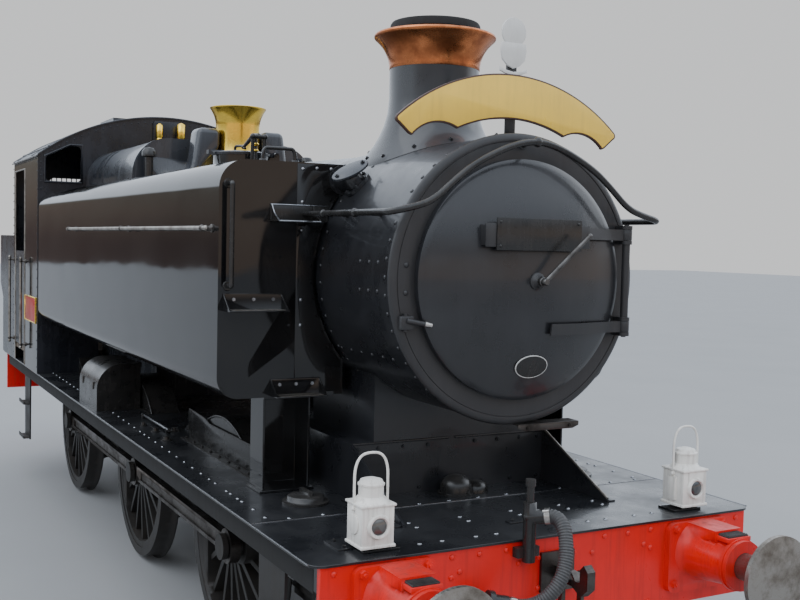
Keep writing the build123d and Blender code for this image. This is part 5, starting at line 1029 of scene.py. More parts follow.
def dish_ball(bulge):
    """Radius of the door's dish, and the X of that ball's centre."""
    ball = (DOOR_RIM_R ** 2 + bulge ** 2) / (2 * bulge)
    return ball, DOOR_FLAT_X + bulge - ball


class LOCO_OT_smokebox_door(bpy.types.Operator):
    """Dished door with its straps, dart and blank plates"""

    bl_idname = "loco.smokebox_door"
    bl_label = "Smokebox door"

    def execute(self, context):
        bulge = context.scene.loco_sizes.door_bulge
        ball, middle = dish_ball(bulge)
        self.dish(bulge, ball, middle)
        self.straps(ball, middle)
        self.dart(DOOR_FLAT_X + bulge)
        self.number_plate(DOOR_FLAT_X + bulge + 0.010)
        self.oval_plate(ball, middle)
        return {"FINISHED"}

    def dish(self, bulge, ball, middle):
        rim, nose = (DOOR_FLAT_X, DOOR_RIM_R - 0.004), (DOOR_FLAT_X + bulge, 0.0)
        reaches = [max(r, 0.0) for _, r in bow(rim, nose, bulge * 0.262, 20)]
        outer = [(middle + sqrt(ball * ball - r * r), r) for r in reaches]
        inner = [(x - WALL, max(r - 0.006, 0.0)) for x, r in reversed(outer)]
        edge = [(DOOR_BACK_X, DOOR_RIM_R - 0.002), (DOOR_FLAT_X - 0.006, DOOR_RIM_R),
                (DOOR_FLAT_X - 0.001, DOOR_RIM_R - 0.001)]
        seat = [(DOOR_FLAT_X - 0.012, DOOR_RIM_R - 0.03), (DOOR_BACK_X, DOOR_RIM_R - 0.03)]
        shape = bmesh.new()
        add_lathe(shape, edge + outer + inner[:-1] + seat, AXIS_AT, X, steps=144)
        finished(
            shape, "door_dish", "smokebox_black", ("smokebox_door",), sharp=28,
            body="front_door")

    def straps(self, ball, middle):
        """Two hinge straps with their barrels and rivets."""
        straps, heads = bmesh.new(), bmesh.new()
        for side, _ in SIDES:
            height = BOILER_Z + side * STRAP_OFFSET
            add_strap(straps, middle, ball + 0.013, height)
            low, high = ((HINGE.x, HINGE.y, height + way * STRAP_HALF) for way in (-1, 1))
            add_rod(straps, low, high, 0.028, sides=28, soft=0.004)
            for across in STRAP_RIVETS:
                far = sqrt(across ** 2 + STRAP_OFFSET ** 2)
                out = Vector((sqrt(ball * ball - far * far), across, side * STRAP_OFFSET))
                out.normalize()
                place = Vector((middle, 0, BOILER_Z)) + out * (ball + 0.0135)
                add_rivets(heads, [place], out, 0.011)
        finished(straps, "door_straps", "ring_black", body="front_door")
        finished(
            heads, "door_strap_rivets", "ring_black", sharp=60,
            body="front_door")

    def dart(self, nose):
        """Boss, spindle and handle at the door's middle."""
        boss = bmesh.new()
        add_lathe(
            boss,
            raised(nose, ((-0.006, 0), (-0.006, 0.044), (0.008, 0.042), (0.014, 0.034),
                          (0.030, 0.026), (0.034, 0.024), (0.034, 0))),
            AXIS_AT, X, steps=40, closed=False,
        )
        finished(boss, "dart_boss", "ring_black", body="front_door")
        handle = bmesh.new()
        add_lathe(
            handle,
            raised(nose, ((0.032, 0), (0.032, 0.021), (0.052, 0.021), (0.055, 0.018),
                          (0.078, 0.017), (0.083, 0.013), (0.083, 0))),
            AXIS_AT, X, steps=32, closed=False,
        )
        root = Vector((nose + 0.064, 0, BOILER_Z))
        tip = root + Vector((0.030, 0.236, 0.224))
        add_rod(handle, root, tip, 0.0125, 0.0105, sides=16)
        add_ball(handle, tip, 0.0130)
        finished(
            handle, "dart_handle", "dart_steel", ("door_dart",),
            body="front_door")

    def number_plate(self, face):
        """Blank plate across the door, on its carrier."""
        plate = bmesh.new()
        half, low, high = PLATE_CORNER
        corners = [(-half, low), (half, low), (half, high), (-half, high)]
        add_slab(plate, corners, (face, 0, 0), Y, Z, 0.007, 0.002)
        for across in (-half + 0.035, half - 0.035):
            start, end = ((x, across, 2.664) for x in (face - 0.03, face + 0.001))
            add_rod(plate, start, end, 0.014, sides=14)
        finished(plate, "number_plate_blank", "fitting_black", body="front_door")
        carrier = bmesh.new()
        add_block(carrier, (face - 0.009, -0.305, 2.592), (face - 0.001, 0.305, 2.704), 0.002)
        for across in (-0.294, 0.294):
            add_block(
                carrier, (face - 0.062, across - 0.006, 2.600),
                (face - 0.006, across + 0.006, 2.696), 0.002)
        finished(carrier, "number_plate_carrier", "ring_black", body="front_door")
        heads = bmesh.new()
        places = [(face + 0.007, y, z) for y in (-half + 0.02, half - 0.02)
                  for z in (low + 0.02, high - 0.02)]
        add_rivets(heads, places, X, 0.008)
        finished(
            heads, "number_plate_screws", "fitting_black", sharp=60,
            body="front_door")

    def oval_plate(self, ball, middle):
        """Blank oval plate low on the door: a pale rim round a dark face."""
        far = Vector((0, 0.018, -0.418))
        out = Vector((sqrt(ball * ball - far.length_squared), far.y, far.z)).normalized()
        spot = Vector((middle, 0, BOILER_Z)) + out * (ball + 0.002)
        across = Vector((-out.y, out.x, 0)).normalized()
        turn = Matrix((across, out.cross(across).normalized(), out)).transposed().to_4x4()
        for name, half, thick, rise, look in (
            ("oval_plate_rim", OVAL_HALF, 0.005, 0.0, "badge_white"),
            ("oval_plate_face", OVAL_FACE_HALF, 0.0012, 0.005, "fitting_black"),
        ):
            oval = bmesh.new()
            made = bmesh.ops.create_circle(oval, cap_ends=True, segments=64, radius=1.0)
            stretch = Matrix.Diagonal((*half, 1.0, 1.0))
            place = Matrix.Translation(spot + out * rise) @ turn @ stretch
            bmesh.ops.transform(oval, matrix=place, verts=made["verts"])
            top = moved_verts(bmesh.ops.extrude_face_region(oval, geom=list(oval.faces)))
            bmesh.ops.translate(oval, verts=top, vec=out * thick)
            finished(oval, name, look, body="front_door")


def add_strap(shape, middle, ball, height):
    """Flat strap bent over the dished door, from its end to the hinge."""
    made = bmesh.ops.create_grid(shape, x_segments=2, y_segments=24, size=1.0)
    for vert in made["verts"]:
        across = STRAP_START + (HINGE.y - 0.01 - STRAP_START) * (vert.co.y + 1) / 2
        up = height + STRAP_HALF * vert.co.x
        reach = min(sqrt(across ** 2 + (up - BOILER_Z) ** 2), DOOR_RIM_R - 0.006)
        x = middle + sqrt(ball * ball - reach * reach)
        vert.co = (max(x, HINGE.x - 0.004), across, up)
    faces = list({f for v in made["verts"] for f in v.link_faces})
    top = moved_verts(bmesh.ops.extrude_face_region(shape, geom=faces))
    bmesh.ops.translate(shape, verts=top, vec=(STRAP_THICK, 0, 0))


# ---------------------------------------------------------------- chimney and bonnet

CAP_LOW_Z = RAIL + 3.540
CHIMNEY_TOP_Z = RAIL + 3.800
CHIMNEY_FOOT = (
    (-0.02, 0.398), (0.002, 0.400), (0.020, 0.372), (0.048, 0.334), (0.085, 0.303),
    (0.130, 0.278), (0.185, 0.260), (0.260, 0.252),
)
CAP_LIP = (
    (0.171, 0.338), (0.178, 0.3425), (0.187, 0.3425), (0.193, 0.338), (0.196, 0.328),
    (0.192, 0.305), (0.196, 0.275), (0.210, 0.262), (0.214, 0.254), (0.214, 0.231),
)
BOLT_CIRCLE_R = 0.372


class LOCO_OT_chimney(bpy.types.Operator):
    """Chimney with its flared foot, copper cap and inner rim"""

    bl_idname = "loco.chimney"
    bl_label = "Chimney"

    def execute(self, context):
        at = (CHIMNEY_X, 0, 0)
        body = bmesh.new()
        column = [(CAP_LOW_Z, 0.252), (CAP_LOW_Z, 0.192), (SMOKEBOX_TOP - 0.02, 0.192)]
        add_lathe(body, raised(SMOKEBOX_TOP, CHIMNEY_FOOT) + column, at, Z)
        settle_on_smokebox(body, SMOKEBOX_TOP, SMOKEBOX_TOP + 0.26)
        finished(body, "chimney_body", "smokebox_black", ("chimney",))
        cap = bmesh.new()
        sweep = bow((CAP_LOW_Z + 0.004, 0.2545), (CAP_LOW_Z + 0.165, 0.331), -0.019, 12)
        collar = raised(CAP_LOW_Z, ((0.0005, 0.231), (0.0005, 0.2530)))
        add_lathe(cap, collar + sweep + raised(CAP_LOW_Z, CAP_LIP), at, Z, steps=128)
        finished(cap, "copper_cap", "polished_copper", ("chimney_cap",))
        liner = bmesh.new()
        neck = raised(CAP_LOW_Z, ((0, 0.192), (0, 0.2305), (0.212, 0.2305), (0.216, 0.256)))
        mouth = raised(CHIMNEY_TOP_Z, (
            (-0.012, 0.252), (0, 0.244), (-0.003, 0.234), (-0.03, 0.226), (-0.10, 0.200)))
        add_lathe(liner, neck + mouth, at, Z)
        finished(liner, "chimney_rim", "soot")
        self.foot_bolts()
        return {"FINISHED"}

    def foot_bolts(self):
        """Bolts round the flared foot, each square to its slope."""
        heads = bmesh.new()
        for turn in ring_turns(12, 0.5):
            x, y = CHIMNEY_X + BOLT_CIRCLE_R * cos(turn), BOLT_CIRCLE_R * sin(turn)
            height = BOILER_Z + sqrt((SMOKEBOX_R + 0.020) ** 2 - y * y)
            out = (0.25 * cos(turn), 0.25 * sin(turn) + 0.9 * y, 1)
            add_bolts(heads, [(x, y, height - 0.001)], out, 0.013, 0.012)
        finished(heads, "chimney_foot_bolts", "smokebox_black")


def settle_on_smokebox(shape, low, high):
    """Bends the foot of a lathe form down to the smokebox's round top."""
    for vert in shape.verts:
        share = min(max((high - vert.co.z) / (high - low), 0.0), 1.0)
        drop = SMOKEBOX_R - sqrt(max(SMOKEBOX_R ** 2 - vert.co.y ** 2, 0.0))
        vert.co.z -= drop * share ** 1.6


BONNET_TOP_Z = RAIL + 3.665
BONNET_FOOT_Z = BOILER_Z + 0.760
BONNET_FOOT = (
    (-0.058, 0.172), (-0.058, 0.246), (0.004, 0.236), (0.040, 0.214), (0.085, 0.196),
    (0.150, 0.184), (0.230, 0.181),
)
BONNET_LIP = (
    (-0.010, 0.231), (-0.003, 0.232), (0, 0.229), (-0.002, 0.215), (-0.012, 0.176),
    (-0.05, 0.170),
)
FEED_COVER = (
    (0.183, 3.345), (0.183, 3.505), (0.370, 3.505), (0.412, 3.220), (0.522, 2.890),
    (0.425, 2.890), (0.325, 3.195),
)
# Middle and half width of each cladding band
BANDS = ((TANK_BACK_X + 0.030, 0.026), (-1.700, 0.030), (-1.480, 0.022), (-0.350, 0.026))
BAND_THICK = 0.007


class LOCO_OT_bonnet(bpy.types.Operator):
    """Brass bonnet, valves, whistles, feed covers and cladding bands"""

    bl_idname = "loco.bonnet"
    bl_label = "Bonnet and whistles"

    def execute(self, context):
        bonnet = bmesh.new()
        sweep = bow((BONNET_TOP_Z - 0.150, 0.181), (BONNET_TOP_Z - 0.016, 0.226), -0.010, 8)
        profile = raised(BONNET_FOOT_Z, BONNET_FOOT) + sweep + raised(BONNET_TOP_Z, BONNET_LIP)
        add_lathe(bonnet, profile, (BONNET_X, 0, 0), Z, steps=112)
        finished(
            bonnet, "brass_bonnet", "polished_brass", ("safety_valve_bonnet",))
        smooth_copy("safety_valves", "valve_columns", "greasy_steel")
        smooth_copy("whistles", "whistle_pair", "polished_brass")
        self.feed_covers()
        self.boiler_bands()
        return {"FINISHED"}

    def feed_covers(self):
        """Rounded covers of the feed pipes, one on each side of the bonnet."""
        shape = bmesh.new()
        for side, _ in SIDES:
            verts = add_slab(
                shape, FEED_COVER, (BONNET_X - 0.110, 0, 0), Y * side, Z, 0.220 * side)
            round_edges(shape, verts, 0.044, 6)
        finished(shape, "feed_covers", "boiler_black", ("top_feed",), sharp=80)

    def boiler_bands(self):
        """Cladding bands: thickened slices of the boiler's own outside."""
        bands = bmesh.new()
        for middle, half in BANDS:
            band = bmesh.new()
            band.from_mesh(frame["nodes"]["boiler"].data)
            for way in (-1, 1):
                bmesh.ops.bisect_plane(
                    band, geom=band.verts[:] + band.edges[:] + band.faces[:], dist=0.00001,
                    plane_co=(middle + way * half, 0, 0), plane_no=(way, 0, 0), clear_outer=True,
                )
            bmesh.ops.remove_doubles(band, verts=band.verts, dist=MERGE)
            bmesh.ops.recalc_face_normals(band, faces=band.faces)
            add_mesh(bands, to_mesh(band, "band_slice"))
        bmesh.ops.solidify(bands, geom=bands.faces[:], thickness=-BAND_THICK)
        finished(bands, "boiler_bands", "boiler_black")


# ---------------------------------------------------------------- headboard and lamps

BOARD_X = RING_X - 0.108

# Half of the board's lobed lower edge, and its bottom corner, as (across, height)
BOARD_TIP, BOARD_LOW, BOARD_LOBE, BOARD_CUSP = (
    (0.646, 3.206), (0.559, 3.122), (0.440, 3.181), (0.318, 3.160))
BOARD_CORNER = ((0.656, 3.184), (0.640, 3.166), (0.586, 3.120), (0.576, 3.115), (0.564, 3.114))
SHIELD_HALF = ((0.0, 3.478), (0.036, 3.492), (0.066, 3.520), (0.076, 3.570), (0.070, 3.605))
SCROLL_LOW = ((0.080, 3.464), (0.050, 3.452), (0.0, 3.444), (-0.050, 3.452), (-0.080, 3.464))


def mirrored(points):
    return [(-across, height) for across, height in points]


def board_outline():
    """Arched board with a lobed lower edge, as (across, height) points."""
    tip, low, lobe, cusp = (BOARD_TIP, BOARD_LOW, BOARD_LOBE, BOARD_CUSP)
    left_tip, left_low, left_lobe, left_cusp = mirrored((tip, low, lobe, cusp))
    outer, corner, under, heel, toe = BOARD_CORNER
    points = arc_through(left_tip, (0.0, 3.450), tip, 36)
    points += arc_through(tip, outer, corner, 4) + [corner, under]
    points += arc_through(heel, toe, low, 3)
    points += arc_through(low, lobe, cusp, 10)
    points += arc_through(cusp, (0.0, 3.228), left_cusp, 24)
    points += arc_through(left_cusp, left_lobe, left_low, 10)
    outer, corner, under, heel, toe = mirrored(BOARD_CORNER)
    points += arc_through(left_low, toe, heel, 3) + [heel, under]
    return points + arc_through(corner, outer, left_tip, 4)


class LOCO_OT_headboard(bpy.types.Operator):
    """Arched blank headboard with its bordered face and plain crest"""

    bl_idname = "loco.headboard"
    bl_label = "Headboard"

    def execute(self, context):
        outline = board_outline()
        board = bmesh.new()
        add_slab(board, outline, (BOARD_X, 0, 0), Y, Z, 0.0155, 0.0025)
        finished(board, "headboard_back", "board_brown", ("headboard",))
        face = bmesh.new()
        add_slab(face, drawn_in(outline, 0.0085), (BOARD_X + 0.015, 0, 0), Y, Z, 0.0015, 0.0004)
        finished(face, "headboard_face", "board_yellow")
        self.crest()
        self.post()
        return {"FINISHED"}

    def crest(self):
        """Plain disc over a plain shield and scroll."""
        shape = bmesh.new()
        add_rod(
            shape, (BOARD_X + 0.001, 0, 3.658), (BOARD_X + 0.012, 0, 3.658), 0.072, sides=48,
            soft=0.003)
        shield = mirrored(SHIELD_HALF[:0:-1]) + list(SHIELD_HALF)
        add_slab(shape, shield, (BOARD_X + 0.002, 0, 0), Y, Z, 0.012, 0.003)
        scroll = [(across, height + 0.018) for across, height in reversed(SCROLL_LOW)]
        add_slab(shape, scroll + list(SCROLL_LOW), (BOARD_X + 0.004, 0, 0), Y, Z, 0.010, 0.002)
        finished(shape, "headboard_crest", "badge_white")

    def post(self):
        """Upright behind the board and its bolted foot on the smokebox."""
        shape, top = bmesh.new(), SMOKEBOX_TOP
        add_block(
            shape, (BOARD_X - 0.016, -0.028, top - 0.004), (BOARD_X - 0.0005, 0.028, 3.60), 0.002)
        add_block(
            shape, (BOARD_X - 0.090, -0.058, top - 0.006), (BOARD_X - 0.004, 0.058, top + 0.009),
            0.002)
        places = [(BOARD_X - 0.070, y, top + 0.009) for y in (-0.036, 0.036)]
        add_bolts(shape, places, Z, 0.012, 0.012)
        finished(shape, "headboard_post", "fitting_black")


# Lamp's sizes above its foot: lid and funnel (height, radius), lens ring (ahead, radius),
# and half of its bail as (share of BAIL_HALF across, height)
LAMP_LID = (
    (0.190, 0), (0.190, 0.082), (0.214, 0.062), (0.216, 0.056), (0.262, 0.056), (0.264, 0.060),
    (0.272, 0.060), (0.275, 0.054), (0.288, 0.048), (0.296, 0.020), (0.296, 0),
)
LENS_RING = (
    (0.074, 0.034), (0.074, 0.054), (0.082, 0.056), (0.090, 0.052), (0.094, 0.050),
    (0.094, 0.042), (0.086, 0.036),
)
LENS_HEIGHT = 0.096
BAIL_HALF = 0.086
BAIL = (
    (-0.94, 0.165), (-0.96, 0.26), (-0.94, 0.345), (-0.62, 0.398), (0, 0.408), (0.62, 0.398),
    (0.94, 0.345), (0.96, 0.26), (0.94, 0.165),
)
# Half width along X, half width along Y, bottom, top and rounding of the case's blocks
LAMP_BLOCKS = (
    (0.078, 0.080, 0.0, 0.190, 0.010), (0.083, 0.085, 0.0, 0.014, 0.004),
    (0.084, 0.086, 0.180, 0.192, 0.004),
)


class LOCO_OT_lamps(bpy.types.Operator):
    """White oil lamps on their irons"""

    bl_idname = "loco.lamps"
    bl_label = "Lamps"

    def execute(self, context):
        for side, word in SIDES:
            at = Vector((LAMP_X, side * LAMP_Y, PLATE_Z + 0.022))
            body = bmesh.new()
            for deep, wide, low, high, soft in LAMP_BLOCKS:
                add_block(
                    body, at + Vector((-deep, -wide, low)), at + Vector((deep, wide, high)), soft)
            add_lathe(body, LAMP_LID, at, Z, steps=40, closed=False)
            add_lathe(body, LENS_RING, at + Z * LENS_HEIGHT, X, steps=48)
            start, end = (at + Vector((0, side * y, 0.10)) for y in (0.080, 0.086))
            add_rod(body, start, end, 0.046, sides=32, soft=0.002)
            low = at + Vector((-0.028, -side * 0.088 - 0.004, 0.03))
            add_block(body, low, at + Vector((0.028, -side * 0.088 + 0.010, 0.15)), 0.002)
            nodes = ("lamps",) if side < 0 else ()
            finished(body, "lamp_case_" + word, "lamp_white", nodes)
            bail = bmesh.new()
            add_bar(bail, [at + Vector((0, BAIL_HALF * s, z)) for s, z in BAIL], 0.006)
            for way in (-1, 1):
                add_ball(bail, at + Vector((0, 0.084 * way, 0.165)), 0.011, rings=6)
            finished(bail, "lamp_bail_" + word, "lamp_white")
            lens = bmesh.new()
            add_ball(
                lens, at + Vector((0.078, 0, LENS_HEIGHT)), 0.042, squash=(1, 1, 0.42), around=X,
                rings=16)
            finished(lens, "lamp_lens_" + word, "lens_glass")
        return {"FINISHED"}


# ---------------------------------------------------------------- the rest of the frame

# Nodes that keep their CAD form, by the finish that they get
PLAIN_FINISHES = {
    "frame_black": ("wheelset_front", "wheelset_driving", "wheelset_rear", "frames", "axleboxes",
                    "footsteps", "brake_gear", "cylinder_block"),
    "greasy_steel": ("coupling_rod_right", "coupling_rod_left", "drawgear"),
    "signal_red": ("buffer_beam_front", "buffer_beam_rear", "buffer_housings"),
    "buffer_steel": ("buffer_heads",),
    "platform_black": ("running_plate",),
    "fitting_black": ("splashers", "backhead", "toolboxes", "toolbox_lid_left",
                      "toolbox_lid_right", "sand_gear", "vacuum_standpipe", "tank_vents"),
    "ring_black": ("door_hinge_lugs",),
    "smokebox_black": ("saddle", "exhaust_elbow"),
    "boiler_black": ("boiler",),
    "gloss_black": ("tank_left", "tank_right", "front_brackets", "cab_sides"),
    "cab_black": ("filler_lid_left", "filler_lid_right", "cab_front", "cab_back", "cab_roof",
                  "bunker", "cab_door_left", "cab_door_right"),
    "footplate_wood": ("cab_floor",),
}

# Rounding of the edges of some of them
SOFTENED = {
    "buffer_beam_front": 0.003, "buffer_beam_rear": 0.003, "front_brackets": 0.002,
    "toolboxes": 0.003, "splashers": 0.002, "running_plate": 0.002,
}


class LOCO_OT_frame_finishes(bpy.types.Operator):
    """Smooth-shaded copies of the remaining CAD nodes, each with its finish"""

    bl_idname = "loco.frame_finishes"
    bl_label = "Frame finishes"

    def execute(self, context):
        for look, nodes in PLAIN_FINISHES.items():
            for node in nodes:
                smooth_copy(node, node + "_finished", look, bevel=SOFTENED.get(node, 0.0))
        return {"FINISHED"}


# ---------------------------------------------------------------- rails

RAIL_FRONT_X = RING_X + 0.128
RAIL_TOP_Z = 3.098
RAIL_SIDE_Y = 0.785
RAIL_SIDE_Z = 2.740
TANK_RAIL_Y = 1.3120
TANK_RAIL_Z = 2.654
CAB_RAIL_Y = 1.3125

# Left half of the smokebox handrail's line, ahead of the ring and then back along the side
RAIL_HALF = [(RAIL_FRONT_X, y, z) for y, z in (
    (0.090, RAIL_TOP_Z), (0.330, 2.993), (0.450, 2.903), (0.565, 2.802), (0.660, 2.768),
    (RAIL_SIDE_Y, RAIL_SIDE_Z),
)] + [(x, RAIL_SIDE_Y, RAIL_SIDE_Z) for x in (RAIL_FRONT_X - 0.100, TANK_FRONT_X + 0.0005)]


def add_pillar(shape, foot, top, flange, stem, knob):
    """Turned handrail pillar: round foot, slim stem and ball."""
    foot, top = Vector(foot), Vector(top)
    length = (top - foot).length
    add_lathe(
        shape,
        [(0, 0), (0, flange), (0.006, flange), (0.009, flange * 0.72), (0.020, stem * 1.25),
         (length * 0.7, stem), (length, stem), (length, 0)],
        foot, top - foot, steps=20, closed=False,
    )
    add_ball(shape, top, knob, rings=8)


def add_straight_rail(shape, start, end, radius):
    """Straight bar with a small ball on each end."""
    add_rod(shape, start, end, radius, sides=16)
    for place in (start, end):
        add_ball(shape, place, radius * 1.25, rings=6)


class LOCO_OT_handrails(bpy.types.Operator):
    """Handrails with their pillars and knobs"""

    bl_idname = "loco.handrails"
    bl_label = "Handrails"

    def execute(self, context):
        rail = bmesh.new()
        points = [(x, -y, z) for x, y, z in reversed(RAIL_HALF)] + RAIL_HALF
        add_bar(rail, points, context.scene.loco_sizes.handrail_radius, sides=4)
        finished(
            rail, "smokebox_rail", "fitting_black", ("handrail_smokebox",))
        pillars, sides, knobs, fronts = (bmesh.new() for _ in range(4))
        for side, _ in SIDES:
            for x in (RING_X - 0.250, RING_X - 0.620):
                foot, top = ((x, side * y, RAIL_SIDE_Z) for y in (0.634, RAIL_SIDE_Y))
                add_pillar(pillars, foot, top, 0.024, 0.0105, 0.022)
            self.tank_rail(sides, knobs, side)
            self.tank_front_rail(fronts, side)
            self.cab_rails(sides, knobs, side)
        add_pillar(
            pillars, (RING_X - 0.001, 0, RAIL_TOP_Z), (RAIL_FRONT_X, 0, RAIL_TOP_Z), 0.026, 0.011,
            0.025)
        finished(pillars, "smokebox_rail_pillars", "fitting_black")
        finished(sides, "side_rails", "buffer_steel", ("handrails_side",))
        finished(knobs, "side_rail_pillars", "greasy_steel")
        finished(fronts, "tank_front_rails", "fitting_black")
        return {"FINISHED"}

    def tank_rail(self, rails, knobs, side):
        out, wall = side * TANK_RAIL_Y, side * TANK_HALF
        start, end = ((TANK_FRONT_X - back, out, TANK_RAIL_Z) for back in (3.640, 0.040))
        add_straight_rail(rails, start, end, 0.0118)
        for back in (3.580, 1.840, 0.100):
            foot, top = ((TANK_FRONT_X - back, y, TANK_RAIL_Z) for y in (wall, out))
            add_pillar(knobs, foot, top, 0.022, 0.010, 0.0185)

    def tank_front_rail(self, shape, side):
        """Bent upright rail on a tank's front, with a flange at each end."""
        wall, front, y = TANK_FRONT_X + 0.0005, TANK_FRONT_X + 0.062, side * 1.207
        low, high, bend = 2.360, 2.885, 0.016
        add_bar(shape, [(x, y, z) for x, z in (
            (wall, low), (front - bend, low), (front, low), (front, low + bend),
            (front, low + 0.09), (front, high - 0.09), (front, high - bend), (front, high),
            (front - bend, high), (wall, high),
        )], 0.0125, sides=4)
        for height in (low, high):
            add_rod(shape, (wall, y, height), (wall + 0.007, y, height), 0.026, 0.022, sides=24)

    def cab_rails(self, rails, knobs, side):
        """Upright rails on both sides of the doorway."""
        out, wall = side * CAB_RAIL_Y, side * CAB_HALF
        for x in (DOORWAY_X + 0.070, DOORWAY_X - 0.690):
            add_straight_rail(rails, (x, out, 1.450), (x, out, 2.356), 0.0135)
            for height in (1.478, 2.328):
                add_pillar(knobs, (x, wall, height), (x, out, height), 0.022, 0.009, 0.018)


# ---------------------------------------------------------------- tanks

FILLER_X = RING_X - 1.450
FILLER_Y = 0.930
LID_TOP_Z = TANK_TOP_Z + 0.090
ELBOW_X = TANK_FRONT_X + 0.118
ELBOW_Y = -0.566
ELBOW_Z = BOILER_Z + 0.500
SHELF_Z = 2.698
SHELF_IN, SHELF_OUT = 0.652, 0.980
WEBS_Y = (0.972, 0.742)
LOOP_X = TANK_FRONT_X - 0.055

# Across and height of the bolts in the infill plate
INFILL_BOLTS = [(0.800, z) for z in (2.978, 2.804, 2.657, 2.286, 2.152)]
INFILL_BOLTS += [(0.719, 2.985), (0.637, 2.985)]
# Web under the shelf, (ahead of the tank, height)
SHELF_WEB = [(TANK_FRONT_X + ahead, z) for ahead, z in (
    (0.001, 2.704), (0.107, 2.704), (0.100, 2.712), (0.072, 2.722), (0.040, 2.740),
    (0.020, 2.764), (0.010, 2.785), (0.001, 2.785),
)]
# Bright bar on each outer web's slanted edge, a painted highlight, as (ahead of the tank, height)
WEB_EDGE_HIGHLIGHT = ((0.008, 2.786), (0.024, 2.760), (0.062, 2.726), (0.109, 2.702))
LIFTING_LOOP = (
    (1.004, 3.008), (1.006, 3.082), (0.955, 3.083), (0.870, 3.083), (0.819, 3.082),
    (0.821, 3.008),
)
# Inner and outer edge and height of the step treads
TREADS = ((0.925, 1.210, 2.2393), (0.700, 0.945, 1.7883))
LID_HANDLE = (
    (-0.112, -0.008), (-0.114, 0.030), (-0.090, 0.034), (-0.030, 0.031), (0.030, 0.026),
    (0.060, 0.010),
)


